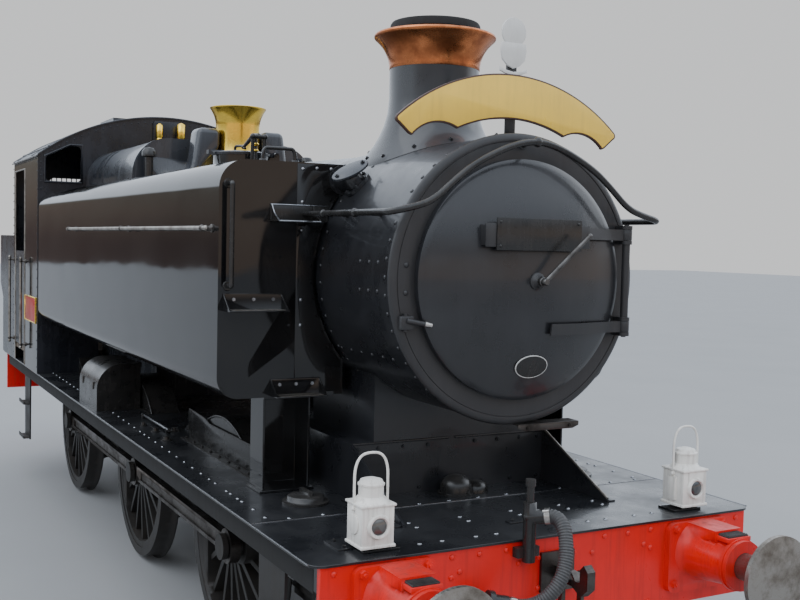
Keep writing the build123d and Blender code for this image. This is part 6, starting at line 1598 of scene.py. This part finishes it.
class LOCO_OT_tank_fittings(bpy.types.Operator):
    """Infill plates, shelves, treads, lifting loops, lid gear and elbow bolts of the tanks"""

    bl_idname = "loco.tank_fittings"
    bl_label = "Tank fittings"

    def execute(self, context):
        plates, bolts, brackets, loops, treads, edges = (bmesh.new() for _ in range(6))
        for side, _ in SIDES:
            self.infill(plates, bolts, side)
            self.shelf(brackets, edges, side)
            self.lifting_loop(loops, side)
            self.treads(treads, bolts, side)
        # Bright bars on the bracket edges: painted highlights
        finished(edges, "bracket_edges", "rivet_bright")
        finished(plates, "tank_front_strips", "gloss_black")
        # Bolt heads in bright metal: painted highlights for their glints
        finished(bolts, "tank_front_bolts", "rivet_bright", sharp=50)
        finished(brackets, "tank_front_brackets", "fitting_black")
        finished(loops, "tank_lifting_loops", "fitting_black")
        finished(treads, "tank_step_treads", "buffer_steel")
        for side, word in SIDES:
            self.lid_handles(side, word)
        self.lid_clamps()
        self.elbow_bolts()
        self.elbow_cover()
        return {"FINISHED"}

    def infill(self, plates, bolts, side):
        """Plate on the tank front between the outer bolt row and the smokebox."""
        inner, reach = 0.56, 0.735
        rise = sqrt(reach ** 2 - inner ** 2)
        top, low = (inner, BOILER_Z + rise), (inner, BOILER_Z - rise)
        outline = [(inner, 1.790), (0.830, 1.790), (0.830, 3.006), (inner, 3.006)]
        outline += arc_through(top, (reach, BOILER_Z), low, 16) + [low]
        add_slab(
            plates, outline, (TANK_FRONT_X + 0.0003, 0, 0), Y * side, Z, 0.0022 * side, 0.0006)
        places = [(TANK_FRONT_X + 0.0025, side * y, z) for y, z in INFILL_BOLTS]
        add_rivets(bolts, places, X, 0.0105, 0.7, 6)

    def shelf(self, brackets, edges, side):
        """Shelf bracket with its back plate and two webs, and bright bars along its edges as
        painted highlights.
        """
        face = TANK_FRONT_X
        top = [(SHELF_IN, 0.0003), (SHELF_OUT, 0.0003), (0.972, 0.110), (0.735, 0.110)]
        add_slab(brackets, top, (face, 0, SHELF_Z), Y * side, X, -0.008 * side, 0.0012)
        add_block(
            brackets, (face + 0.0003, side * SHELF_IN, SHELF_Z),
            (face + 0.007, side * SHELF_OUT, 2.786), 0.0015)
        for across in WEBS_Y:
            add_slab(brackets, SHELF_WEB, (0, side * across, 0), X, Z, side * 0.006, 0.001)
        # Bright bars on the shelf's front and back edges and on the outer web's slanted edge:
        # painted highlights of the sky
        for ahead, inner, outer, z, radius in (
            (0.006, 0.654, SHELF_OUT, 2.7865, 0.0042), (0.110, 0.738, 0.972, 2.700, 0.0050),
        ):
            start, end = ((face + ahead, side * y, z) for y in (inner, outer))
            add_rod(edges, start, end, radius, sides=8)
        add_bar(edges, [(face + ahead, side * 0.972, z) for ahead, z in WEB_EDGE_HIGHLIGHT], 0.0042)

    def lifting_loop(self, shape, side):
        add_bar(shape, [(LOOP_X, side * y, z) for y, z in LIFTING_LOOP], 0.010)
        for across in (1.004, 0.821):
            foot, top = (
                (LOOP_X, side * across, TANK_TOP_Z + rise) for rise in (-0.001, 0.012))
            add_rod(shape, foot, top, 0.021, 0.017)

    def treads(self, treads, bolts, side):
        for inner, outer, z in TREADS:
            add_block(
                treads, (TANK_FRONT_X + 0.014, side * inner, z),
                (TANK_FRONT_X + 0.106, side * outer, z + 0.0012))
            places = [(TANK_FRONT_X + 0.0085, side * (inner + (outer - inner) * share), z + 0.052)
                      for share in (0.12, 0.5, 0.88)]
            add_bolts(bolts, places, X, 0.010, 0.009)

    def lid_handles(self, side, word):
        """Long lifting handle of one filler lid and the lever that lies on it."""
        shape = bmesh.new()
        middle = Vector((FILLER_X, side * FILLER_Y, LID_TOP_Z))
        add_bar(shape, [middle + Vector((x, 0.0, z)) for x, z in LID_HANDLE], 0.0075)
        pivot = middle + Vector((0.030, 0, 0.020))
        add_rod(shape, pivot, middle + Vector((0.162, 0, 0.062)), 0.009, 0.013, sides=14)
        add_ball(shape, pivot, 0.012, rings=6)
        body = frame["nodes"]["filler_lid_" + word]["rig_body"]
        finished(shape, "filler_lid_gear_" + word, "greasy_steel", body=body)

    def lid_clamps(self):
        """Swing clamps in front of the filler lids, each with a yoke, a screw and brass nuts."""
        yokes, nuts = bmesh.new(), bmesh.new()
        for side, _ in SIDES:
            at = Vector((FILLER_X, side * FILLER_Y, TANK_TOP_Z))
            for start, end, radius, radius_end, sides, soft in (
                ((0.262, -0.034, -0.001), (0.276, -0.034, 0.148), 0.0105, None, 14, 0),
                ((0.262, 0.034, -0.001), (0.276, 0.034, 0.148), 0.0105, None, 14, 0),
                ((0.276, -0.034, 0.150), (0.276, 0.034, 0.150), 0.012, None, 14, 0),
                ((0.278, 0, 0.152), (0.181, 0, 0.160), 0.0150, 0.0165, 16, 0.004),
                ((0.228, 0, 0.006), (0.224, 0, 0.150), 0.0090, None, 14, 0),
            ):
                start, end = at + Vector(start), at + Vector(end)
                add_rod(yokes, start, end, radius, radius_end, sides, soft)
            for across in (-0.034, 0.034):
                add_ball(yokes, at + Vector((0.276, across, 0.150)), 0.017, rings=7)
            low, high = at + Vector((0.196, -0.052, -0.001)), at + Vector((0.300, 0.052, 0.012))
            add_block(yokes, low, high, 0.003)
            for height, size in ((0.112, 0.019), (0.078, 0.017)):
                add_ball(nuts, at + Vector((0.226, 0, height)), size, squash=(1, 1, 0.55), rings=8)
        finished(yokes, "filler_clamps", "fitting_black")
        finished(nuts, "filler_clamp_nuts", "polished_brass")

    def elbow_bolts(self):
        """Bolts of the exhaust elbow's flanges, on the tank front and on the smokebox."""
        shape = bmesh.new()
        out = Vector((0, ELBOW_Y, ELBOW_Z - BOILER_Z)).normalized()
        foot = Vector((ELBOW_X, 0, BOILER_Z)) + out * (SMOKEBOX_R + 0.016)
        for turn in ring_turns(6, 0.5):
            y, z = ELBOW_Y + 0.074 * cos(turn), ELBOW_Z + 0.074 * sin(turn)
            add_bolts(shape, [(TANK_FRONT_X + 0.016, y, z)], X, 0.0105, 0.012)
            place = foot + (X * cos(turn) + out.cross(X) * sin(turn)) * 0.069
            add_bolts(shape, [place], out, 0.0105, 0.012)
        finished(shape, "elbow_bolts", "smokebox_black")

    def elbow_cover(self):
        """Oval cover with two bolts on the elbow's bend."""
        cover, studs = bmesh.new(), bmesh.new()
        out = Vector((0.42, -0.44, 0.80)).normalized()
        across = out.cross(X).normalized()
        middle = Vector((ELBOW_X, ELBOW_Y, ELBOW_Z)) + out * 0.050
        oval = [(0.112 * cos(turn), 0.056 * sin(turn)) for turn in ring_turns(28)]
        add_slab(cover, oval, middle, across, out.cross(across), 0.012, 0.002)
        finished(cover, "elbow_cover", "boiler_black")
        places = [middle + across * away + out * 0.011 for away in (-0.084, 0.084)]
        add_bolts(studs, places, out, 0.012, 0.012)
        finished(studs, "elbow_cover_bolts", "smokebox_black")


# ---------------------------------------------------------------- running plate

VALANCE_Y = PLATE_HALF - 0.060
TOOLBOX_X = RING_X - 4.160
TOOLBOX_Y = 1.215
SPLASHER_R = 0.763
SPLASHER_Y = 0.860
AXLE_Z = RAIL + 0.705
AXLES = (BEAM_X - 2.286, BEAM_X - 4.496, BEAM_X - 7.011)
UNDER = PLATE_Z - 0.001

# X of the rivets along each edge of the running plate
EDGE_RIVETS = (
    0.381, 0.566, 0.730, 0.897, 1.060, 1.228, 1.350, 1.471, 1.640, 1.808, 1.980, 2.145, 2.310,
    2.481, 2.650, 2.804, 2.914, 3.107, 3.173, 3.286, 3.354, 3.524, 3.692,
) + tuple(0.381 - 0.168 * (i + 1) for i in range(27))
# Guard plate's outline, (X, height)
GUARD = [(1.546, UNDER), (1.536, 1.436), (1.541, 1.450), (1.556, 1.454), (1.743, 1.448),
         (1.890, 1.441), (1.950, 1.428), (1.995, 1.418), (3.028, 1.423), (3.028, UNDER)]
# X, across and radius of the small lids
SMALL_LIDS = (
    (1.267, 1.024, 0.022), (1.604, 1.044, 0.026), (1.295, 0.902, 0.024), (1.246, 0.778, 0.022),
    (1.012, 1.043, 0.018),
)
LARGE_COVER = (
    (-0.001, 0), (-0.001, 0.101), (0.010, 0.101), (0.012, 0.088), (0.052, 0.086),
    (0.076, 0.074), (0.092, 0.052), (0.101, 0.026), (0.103, 0),
)
SMALL_COVER = (
    (-0.001, 0), (-0.001, 0.066), (0.030, 0.064), (0.048, 0.054), (0.060, 0.034), (0.064, 0),
)


class LOCO_OT_platform(bpy.types.Operator):
    """Rivets, bolts, joint strips, covers and edgings on the running plate"""

    bl_idname = "loco.platform"
    bl_label = "Running plate details"

    def execute(self, context):
        self.plate_rivets(context.scene.loco_sizes.plate_rivet_radius)
        self.side_plates()
        self.valances()
        self.seams()
        self.strips()
        self.covers()
        self.splasher_edges()
        self.toolbox_hasps()
        return {"FINISHED"}

    def plate_rivets(self, radius):
        """Cross rows in front and a long row near each edge, with a gap at the toolboxes."""
        spots = [(RING_X - 0.372, -1.045 + 0.180 * i) for i in range(13)]
        spots += [(x, y) for x in (RING_X - 0.064, RING_X + 0.018)
                  for y in (-0.556, -0.267, 0.034, 0.335, 0.556)]
        spots += [(BEAM_X - 0.111, side * y) for side, _ in SIDES
                  for y in (0.268, 0.380, 0.561, 0.678, 0.808)]
        spots += [(x, side * (1.105 + 0.0112 * max(x, 0.0))) for side, _ in SIDES
                  for x in EDGE_RIVETS if not -0.39 < x < 0.31]
        heads = bmesh.new()
        # Bright metal heads: a painted highlight for each black rivet's glint of the sky
        add_rivets(heads, [(x, y, UNDER) for x, y in spots], Z, radius, 0.6, 6)
        finished(heads, "platform_rivets", "rivet_bright", sharp=60)

    def side_plates(self):
        """Guard plate outside each front splasher, the rod and small lids beside it, and a bright
        bar along each plate edge.
        """
        shape, bright_bars = bmesh.new(), bmesh.new()
        for side, _ in SIDES:
            add_slab(shape, GUARD, (0, side * 0.8695, 0), X, Z, -0.006 * side, 0.001)
            add_block(
                shape, (1.546, side * 0.870, UNDER), (3.028, side * 0.935, PLATE_Z + 0.006),
                0.0015)
            places = [(x, side * 0.906, PLATE_Z + 0.006) for x in row_of(1.60, 2.97, 9)]
            add_bolts(shape, places, Z, 0.0115, 0.011)
            for x, y, size in SMALL_LIDS:
                profile = [(-0.001, 0), (-0.001, size * 1.5), (0.006, size * 1.5), (0.008, size),
                           (0.026, size * 0.9), (0.030, 0)]
                add_lathe(shape, profile, (x, side * y, PLATE_Z), Z, steps=24, closed=False)
            rod_z = PLATE_Z + 0.024
            add_rod(
                bright_bars, (0.663, side * 0.958, rod_z), (1.377, side * 0.964, rod_z), 0.012, sides=14)
            for x in (0.700, 1.340):
                add_block(
                    shape, (x - 0.016, side * 0.944, UNDER),
                    (x + 0.016, side * 0.978, PLATE_Z + 0.030), 0.003)
            edge, edge_z = side * (PLATE_HALF - 0.0022), PLATE_Z - 0.0012
            add_rod(bright_bars, (-4.40, edge, edge_z), (4.47, edge, edge_z), 0.0034, sides=8)
        finished(shape, "guard_plates", "fitting_black")
        finished(bright_bars, "worn_edges", "rivet_bright")

    def valances(self):
        """Painted shade on the face of both valances, as a matt near-black strip, and their rivet
        row.
        """
        faces, rivets = bmesh.new(), bmesh.new()
        for side, _ in SIDES:
            places = [(x, side * VALANCE_Y, PLATE_Z - 0.047) for x in row_of(-4.36, 4.36, 55)]
            add_rivets(rivets, places, Y * side, 0.0095, 0.5)
            # Near-black matt strip just outside each valance face: painted shade under the plate's
            # overhang
            add_block(
                faces, (-4.395, side * VALANCE_Y, PLATE_Z - 0.1515),
                (4.395, side * (VALANCE_Y + 0.0012), PLATE_Z - 0.0125))
        finished(faces, "valance_faces", "soot")
        finished(rivets, "valance_rivets", "frame_black", sharp=60)

    def seams(self):
        """Bright seam across the plate and a bright bar along the left gusset's edge."""
        shape, bright_bars = bmesh.new(), bmesh.new()
        for low, high in ((-1.250, -0.672), (-0.606, 0.606), (0.672, 1.250)):
            add_block(
                shape, (RING_X - 0.346, low, UNDER), (RING_X - 0.341, high, PLATE_Z + 0.0022),
                0.0004)
        finished(shape, "platform_seams", "rivet_bright")
        add_rod(
            bright_bars, (FRAME_X + 0.024, 0.614, 1.5440), (RING_X - 0.006, 0.614, 1.2755), 0.0072,
            sides=10)
        finished(bright_bars, "gusset_edges", "buffer_steel")

    def strips(self):
        """Bolted plates and joint strips on the running plate and the apron."""
        shape = bmesh.new()
        top = PLATE_Z + 0.007
        add_block(shape, (4.228, -0.112, UNDER), (4.276, 0.092, PLATE_Z + 0.008), 0.0015)
        places = [(4.252, y, PLATE_Z + 0.008) for y in (-0.088, 0.068)]
        add_bolts(shape, places, Z, 0.012, 0.011)
        for side, _ in SIDES:
            add_block(shape, (4.190, side * 0.985, UNDER), (4.342, side * 1.060, top), 0.0015)
            add_bolts(shape, [(x, side * 1.022, top) for x in (4.215, 4.317)], Z, 0.012, 0.011)
            add_block(
                shape, (FRAME_X + 0.0025, side * 0.020, 1.536),
                (FRAME_X + 0.009, side * 0.606, 1.5475), 0.0015)
            for z, row in ((1.512, (0.150, 0.300, 0.450, 0.570)), (1.285, (0.200, 0.390, 0.570))):
                places = [(FRAME_X + 0.002, side * y, z) for y in row]
                add_bolts(shape, places, X, 0.0115, 0.010)
            add_block(
                shape, (FRAME_X + 0.010, side * 0.6205, UNDER), (RING_X - 0.010, side * 0.668, top),
                0.0015)
            places = [(x, side * 0.646, top) for x in row_of(FRAME_X + 0.06, RING_X - 0.06, 6)]
            add_bolts(shape, places, Z, 0.0115, 0.010)
        finished(shape, "platform_plates", "platform_black")

    def covers(self):
        """Two domed covers in front of the apron, one of them on a bolted base."""
        shape = bmesh.new()
        x, y = FRAME_X + 0.104, -0.026
        add_lathe(shape, LARGE_COVER, (x, y, PLATE_Z), Z, steps=40, closed=False)
        add_lathe(shape, SMALL_COVER, (x + 0.010, 0.094, PLATE_Z), Z, steps=36, closed=False)
        places = [(x + 0.094 * cos(turn), y + 0.094 * sin(turn), PLATE_Z + 0.010)
                  for turn in ring_turns(6, 0.25)[:4]]
        add_bolts(shape, places, Z, 0.0085, 0.009)
        finished(shape, "platform_covers", "fitting_black")

    def splasher_edges(self):
        """Round beading and a riveted foot along each splasher's outer side."""
        shape = bmesh.new()
        half = sqrt(SPLASHER_R ** 2 - (PLATE_Z - AXLE_Z) ** 2)
        for axle in AXLES:
            for side, _ in SIDES:
                points = [(axle + half, PLATE_Z)]
                for turn in (radians(degrees) for degrees in range(45, 136, 9)):
                    points.append((axle + SPLASHER_R * cos(turn), AXLE_Z + SPLASHER_R * sin(turn)))
                points.append((axle - half, PLATE_Z))
                add_bar(shape, [(x, side * SPLASHER_Y, z) for x, z in points], 0.008, fine=4)
                add_block(
                    shape, (axle - half, side * (SPLASHER_Y - 0.001), PLATE_Z),
                    (axle + half, side * 0.884, PLATE_Z + 0.005), 0.001)
                places = [(x, side * 0.873, PLATE_Z + 0.005)
                          for x in row_of(axle - half + 0.04, axle + half - 0.04, 8)]
                add_rivets(shape, places, Z, 0.0085, 0.5)
        finished(shape, "splasher_edges", "fitting_black", sharp=50)

    def toolbox_hasps(self):
        for side, word in SIDES:
            shape = bmesh.new()
            for x in (TOOLBOX_X - 0.190, TOOLBOX_X + 0.190):
                add_block(
                    shape, (x - 0.018, side * (TOOLBOX_Y - 0.001), PLATE_Z + 0.158),
                    (x + 0.018, side * (TOOLBOX_Y + 0.006), PLATE_Z + 0.215), 0.0015)
            body = frame["nodes"]["toolbox_lid_" + word]["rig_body"]
            finished(shape, "toolbox_hasps_" + word, "greasy_steel", body=body)


# ---------------------------------------------------------------- buffer beams

# Across and height of the rivets on half a beam
BEAM_RIVETS = (
    (0.573, 1.212), (0.429, 1.210), (0.284, 1.211), (0.212, 1.140), (0.532, 1.143),
    (0.575, 1.121), (0.101, 1.154), (0.573, 0.850), (0.429, 0.850), (0.284, 0.850),
    (0.101, 1.010), (1.150, 1.212), (1.150, 1.030), (1.150, 0.850),
)
BUFFER_BOLTS = [(BUFFER_Y + across, z) for z in (1.205, 0.925) for across in (-0.158, 0.158)]


class LOCO_OT_buffer_beams(bpy.types.Operator):
    """Bolts, step pads and edges on both buffer beams"""

    bl_idname = "loco.buffer_beams"
    bl_label = "Buffer beam details"

    def execute(self, context):
        bolt = context.scene.loco_sizes.bolt_radius
        heads, rims, pads = bmesh.new(), bmesh.new(), bmesh.new()
        for way in (-1, 1):
            face, out = way * BEAM_X, X * way
            for side, _ in SIDES:
                add_rivets(
                    heads, [(face, side * y, z) for y, z in BEAM_RIVETS], out, 0.0150, 0.6, 7)
                places = [(face + way * 0.034, side * y, z) for y, z in BUFFER_BOLTS]
                add_bolts(heads, places, out, bolt, 0.020)
                self.step_pad(rims, pads, face, way, side)
                add_lathe(
                    rims, [(0.292, 0.1215), (0.292, 0.128), (0.310, 0.128), (0.310, 0.1215)],
                    (face, side * BUFFER_Y, BUFFER_Z), out, steps=48,
                )
        finished(heads, "buffer_beam_bolts", "signal_red", sharp=50)
        finished(rims, "buffer_step_rims", "signal_red")
        finished(pads, "buffer_step_pads", "hose_casting")
        return {"FINISHED"}

    def step_pad(self, rims, pads, face, way, side):
        """Ribbed tread with its rim, on top of a buffer housing."""
        add_block(
            rims, (face + way * 0.145, side * 0.795, 1.192),
            (face + way * 0.300, side * 0.945, 1.214), 0.003)
        add_block(
            pads, (face + way * 0.154, side * 0.805, 1.210),
            (face + way * 0.291, side * 0.935, 1.221), 0.001)
        for i in range(11):
            x = face + way * (0.160 + 0.0125 * i)
            add_block(pads, (x - 0.0025, side * 0.808, 1.220), (x + 0.0025, side * 0.932, 1.2245))


# ---------------------------------------------------------------- cab

CAB_FRONT_X = TANK_BACK_X
EAVES_Z = RAIL + 3.345
CROWN_Z = RAIL + 3.780
ROOF_R = (CAB_HALF ** 2 + (CROWN_Z - EAVES_Z) ** 2) / (2 * (CROWN_Z - EAVES_Z))

# Window outlines, the door's frame and the steam shield
FRONT_WINDOW = [(0.858, 3.095), (1.188, 3.095), (1.188, 3.325), (0.960, 3.440), (0.858, 3.440)]
REAR_WINDOW = [(0.420, 2.748), (0.900, 2.748), (0.900, 3.228), (0.420, 3.228)]
REAR_BARS = [0.448 + 0.053 * i for i in range(9)]
DOOR_FRAME = [(DOORWAY_X, 1.262), (DOORWAY_X, RAIL + 3.240), (DOORWAY_X - 0.620, RAIL + 3.240),
              (DOORWAY_X - 0.620, 1.262)]
SHIELD = [(-0.155, 3.480), (0.150, 3.480), (0.150, 3.745), (0.132, 3.768), (-0.138, 3.768),
          (-0.155, 3.745)]


def roof_height(across):
    """Height of the roof's outside at a distance from the centre line."""
    return CROWN_Z - ROOF_R + sqrt(ROOF_R ** 2 - across ** 2)


def add_outline_bar(shape, corners, radius):
    """Round bar along a closed run of corners, with a ball at each."""
    for first, second in zip(corners, corners[1:] + corners[:1]):
        add_rod(shape, first, second, radius, sides=12)
        add_ball(shape, first, radius, rings=6)


class LOCO_OT_cab_details(bpy.types.Operator):
    """Window rims, beading, blank side plates, rivets and roof strips of the cab"""

    bl_idname = "loco.cab_details"
    bl_label = "Cab details"

    def execute(self, context):
        rims, heads, strips = bmesh.new(), bmesh.new(), bmesh.new()
        for side, word in SIDES:
            self.windows(rims, side)
            self.doorway(strips, side)
            self.rivets(heads, side)
            self.side_plate(side, word)
        finished(rims, "cab_window_rims", "cab_black")
        finished(strips, "doorway_beading", "buffer_steel")
        finished(heads, "cab_rivets", "cab_black", sharp=60)
        self.roof_strips()
        self.roof_lining()
        self.whistle_shield()
        return {"FINISHED"}

    def windows(self, shape, side):
        """Rims of the front and rear windows, and the rear one's bars."""
        outline = drawn_in(FRONT_WINDOW, -0.010)
        for x in (CAB_FRONT_X + 0.001, CAB_FRONT_X - 0.009):
            add_outline_bar(shape, [(x, side * y, RAIL + z) for y, z in outline], 0.010)
        x, outline = CAB_BACK_X - 0.001, drawn_in(REAR_WINDOW, -0.008)
        add_outline_bar(shape, [(x, side * y, z) for y, z in outline], 0.009)
        for across in REAR_BARS:
            add_rod(shape, (x, side * across, 2.744), (x, side * across, 3.232), 0.006, sides=8)

    def doorway(self, shape, side):
        """Beading up one side of the doorway, across its top and down the other."""
        corners = [(x, side * CAB_HALF, z) for x, z in DOOR_FRAME]
        for first, second in zip(corners, corners[1:]):
            add_rod(shape, first, second, 0.0075, sides=10)
        for corner in corners[1:3]:
            add_ball(shape, corner, 0.0075, rings=6)

    def rivets(self, shape, side):
        """Rivet rows along the cab side's edges and under the roof, front and back."""
        wall, front, back = side * CAB_HALF, CAB_FRONT_X - 0.001, CAB_BACK_X + 0.001
        places = [(x, wall, z) for x in (CAB_FRONT_X - 0.035, CAB_BACK_X - 0.035)
                  for z in row_of(1.32, 3.30, 24)]
        places += [(x, wall, 3.335) for x in row_of(CAB_FRONT_X - 0.08, CAB_BACK_X + 0.04, 20)]
        add_rivets(shape, places, Y * side, 0.0075, 0.5)
        across = [side * y for y in row_of(0.16, 1.20, 16)]
        places = [(front, y, roof_height(y) - 0.050) for y in across]
        places += [(front, side * 1.232, z) for z in row_of(3.05, 3.30, 5)]
        add_rivets(shape, places, X, 0.0085, 0.5)
        places = [(back, y, roof_height(y) - 0.050) for y in across]
        add_rivets(shape, places, -X, 0.0085, 0.5)

    def side_plate(self, side, word):
        """Blank red plate with a raised rim on the cab side, ahead of the doorway."""
        wall = side * CAB_HALF
        back, front, low, high = CAB_FRONT_X - 0.700, CAB_FRONT_X - 0.070, 1.741, 1.985
        face, rim = bmesh.new(), bmesh.new()
        add_block(face, (back, wall - side * 0.001, low), (front, wall + side * 0.006, high), 0.002)
        finished(face, "side_plate_" + word, "plate_red")
        y = wall + side * 0.005
        corners = [(back, y, low), (front, y, low), (front, y, high), (back, y, high)]
        add_outline_bar(rim, corners, 0.006)
        finished(rim, "side_plate_rim_" + word, "polished_brass")

    def roof_strips(self):
        """Curved cover strips and rain gutters on the roof."""
        shape = bmesh.new()
        front, back = CAB_FRONT_X + 0.004, CAB_BACK_X - 0.052
        for x in (front, -2.50, -3.40, back):
            points = [(x, y, roof_height(y) + 0.001) for y in row_of(-CAB_HALF, CAB_HALF, 15)]
            add_bar(shape, points, 0.008, sides=2, fine=4)
        for y in (-1.16, 1.16):
            start, end = ((x, y, roof_height(y) + 0.004) for x in (front, back))
            add_rod(shape, start, end, 0.009, sides=10)
        finished(shape, "roof_strips", "cab_black")

    def roof_lining(self):
        """Pale arched lining under the roof."""
        shape = bmesh.new()
        spots = row_of(-1.215, 1.215, 25)
        outline = [(y, roof_height(y) - 0.030) for y in spots]
        outline += [(y, roof_height(y) - 0.036) for y in reversed(spots)]
        length = CAB_FRONT_X - CAB_BACK_X - 0.060
        add_slab(shape, outline, (CAB_BACK_X + 0.030, 0, 0), Y, Z, length)
        finished(shape, "roof_lining", "inside_cream")

    def whistle_shield(self):
        """Plain steam shield behind the whistles."""
        shape = bmesh.new()
        add_slab(shape, SHIELD, (CAB_FRONT_X + 0.014, 0, 0), Y, Z, 0.004, 0.001)
        finished(shape, "whistle_shield", "cab_black")


# ---------------------------------------------------------------- panel and start

OPERATORS = (
    LOCO_OT_stage, LOCO_OT_hose, LOCO_OT_smokebox, LOCO_OT_smokebox_door, LOCO_OT_chimney,
    LOCO_OT_bonnet, LOCO_OT_headboard, LOCO_OT_lamps, LOCO_OT_handrails, LOCO_OT_tank_fittings,
    LOCO_OT_platform, LOCO_OT_buffer_beams, LOCO_OT_cab_details, LOCO_OT_frame_finishes,
)


class LOCO_PT_panel(bpy.types.Panel):
    """Lists the locomotive's pieces and settings"""

    bl_idname = "LOCO_PT_panel"
    bl_label = "Pannier tank locomotive"
    bl_space_type = "VIEW_3D"
    bl_region_type = "UI"
    bl_category = "Locomotive"

    def draw(self, context):
        for operator in OPERATORS:
            self.layout.operator(operator.bl_idname)
        for settings in (context.scene.loco_sizes, context.scene.loco_finishes):
            box = self.layout.box()
            for name in settings.__annotations__:
                box.prop(settings, name)


CLASSES = (LocomotiveSizes, LocomotiveFinishes, *OPERATORS, LOCO_PT_panel)


def register():
    for made in CLASSES:
        bpy.utils.register_class(made)
    bpy.types.Scene.loco_sizes = PointerProperty(type=LocomotiveSizes)
    bpy.types.Scene.loco_finishes = PointerProperty(type=LocomotiveFinishes)


def unregister():
    del bpy.types.Scene.loco_finishes
    del bpy.types.Scene.loco_sizes
    for made in reversed(CLASSES):
        bpy.utils.unregister_class(made)


def main():
    register()
    for operator in OPERATORS:
        group, name = operator.bl_idname.split(".")
        getattr(getattr(bpy.ops, group), name)()


if __name__ == "__main__":
    main()
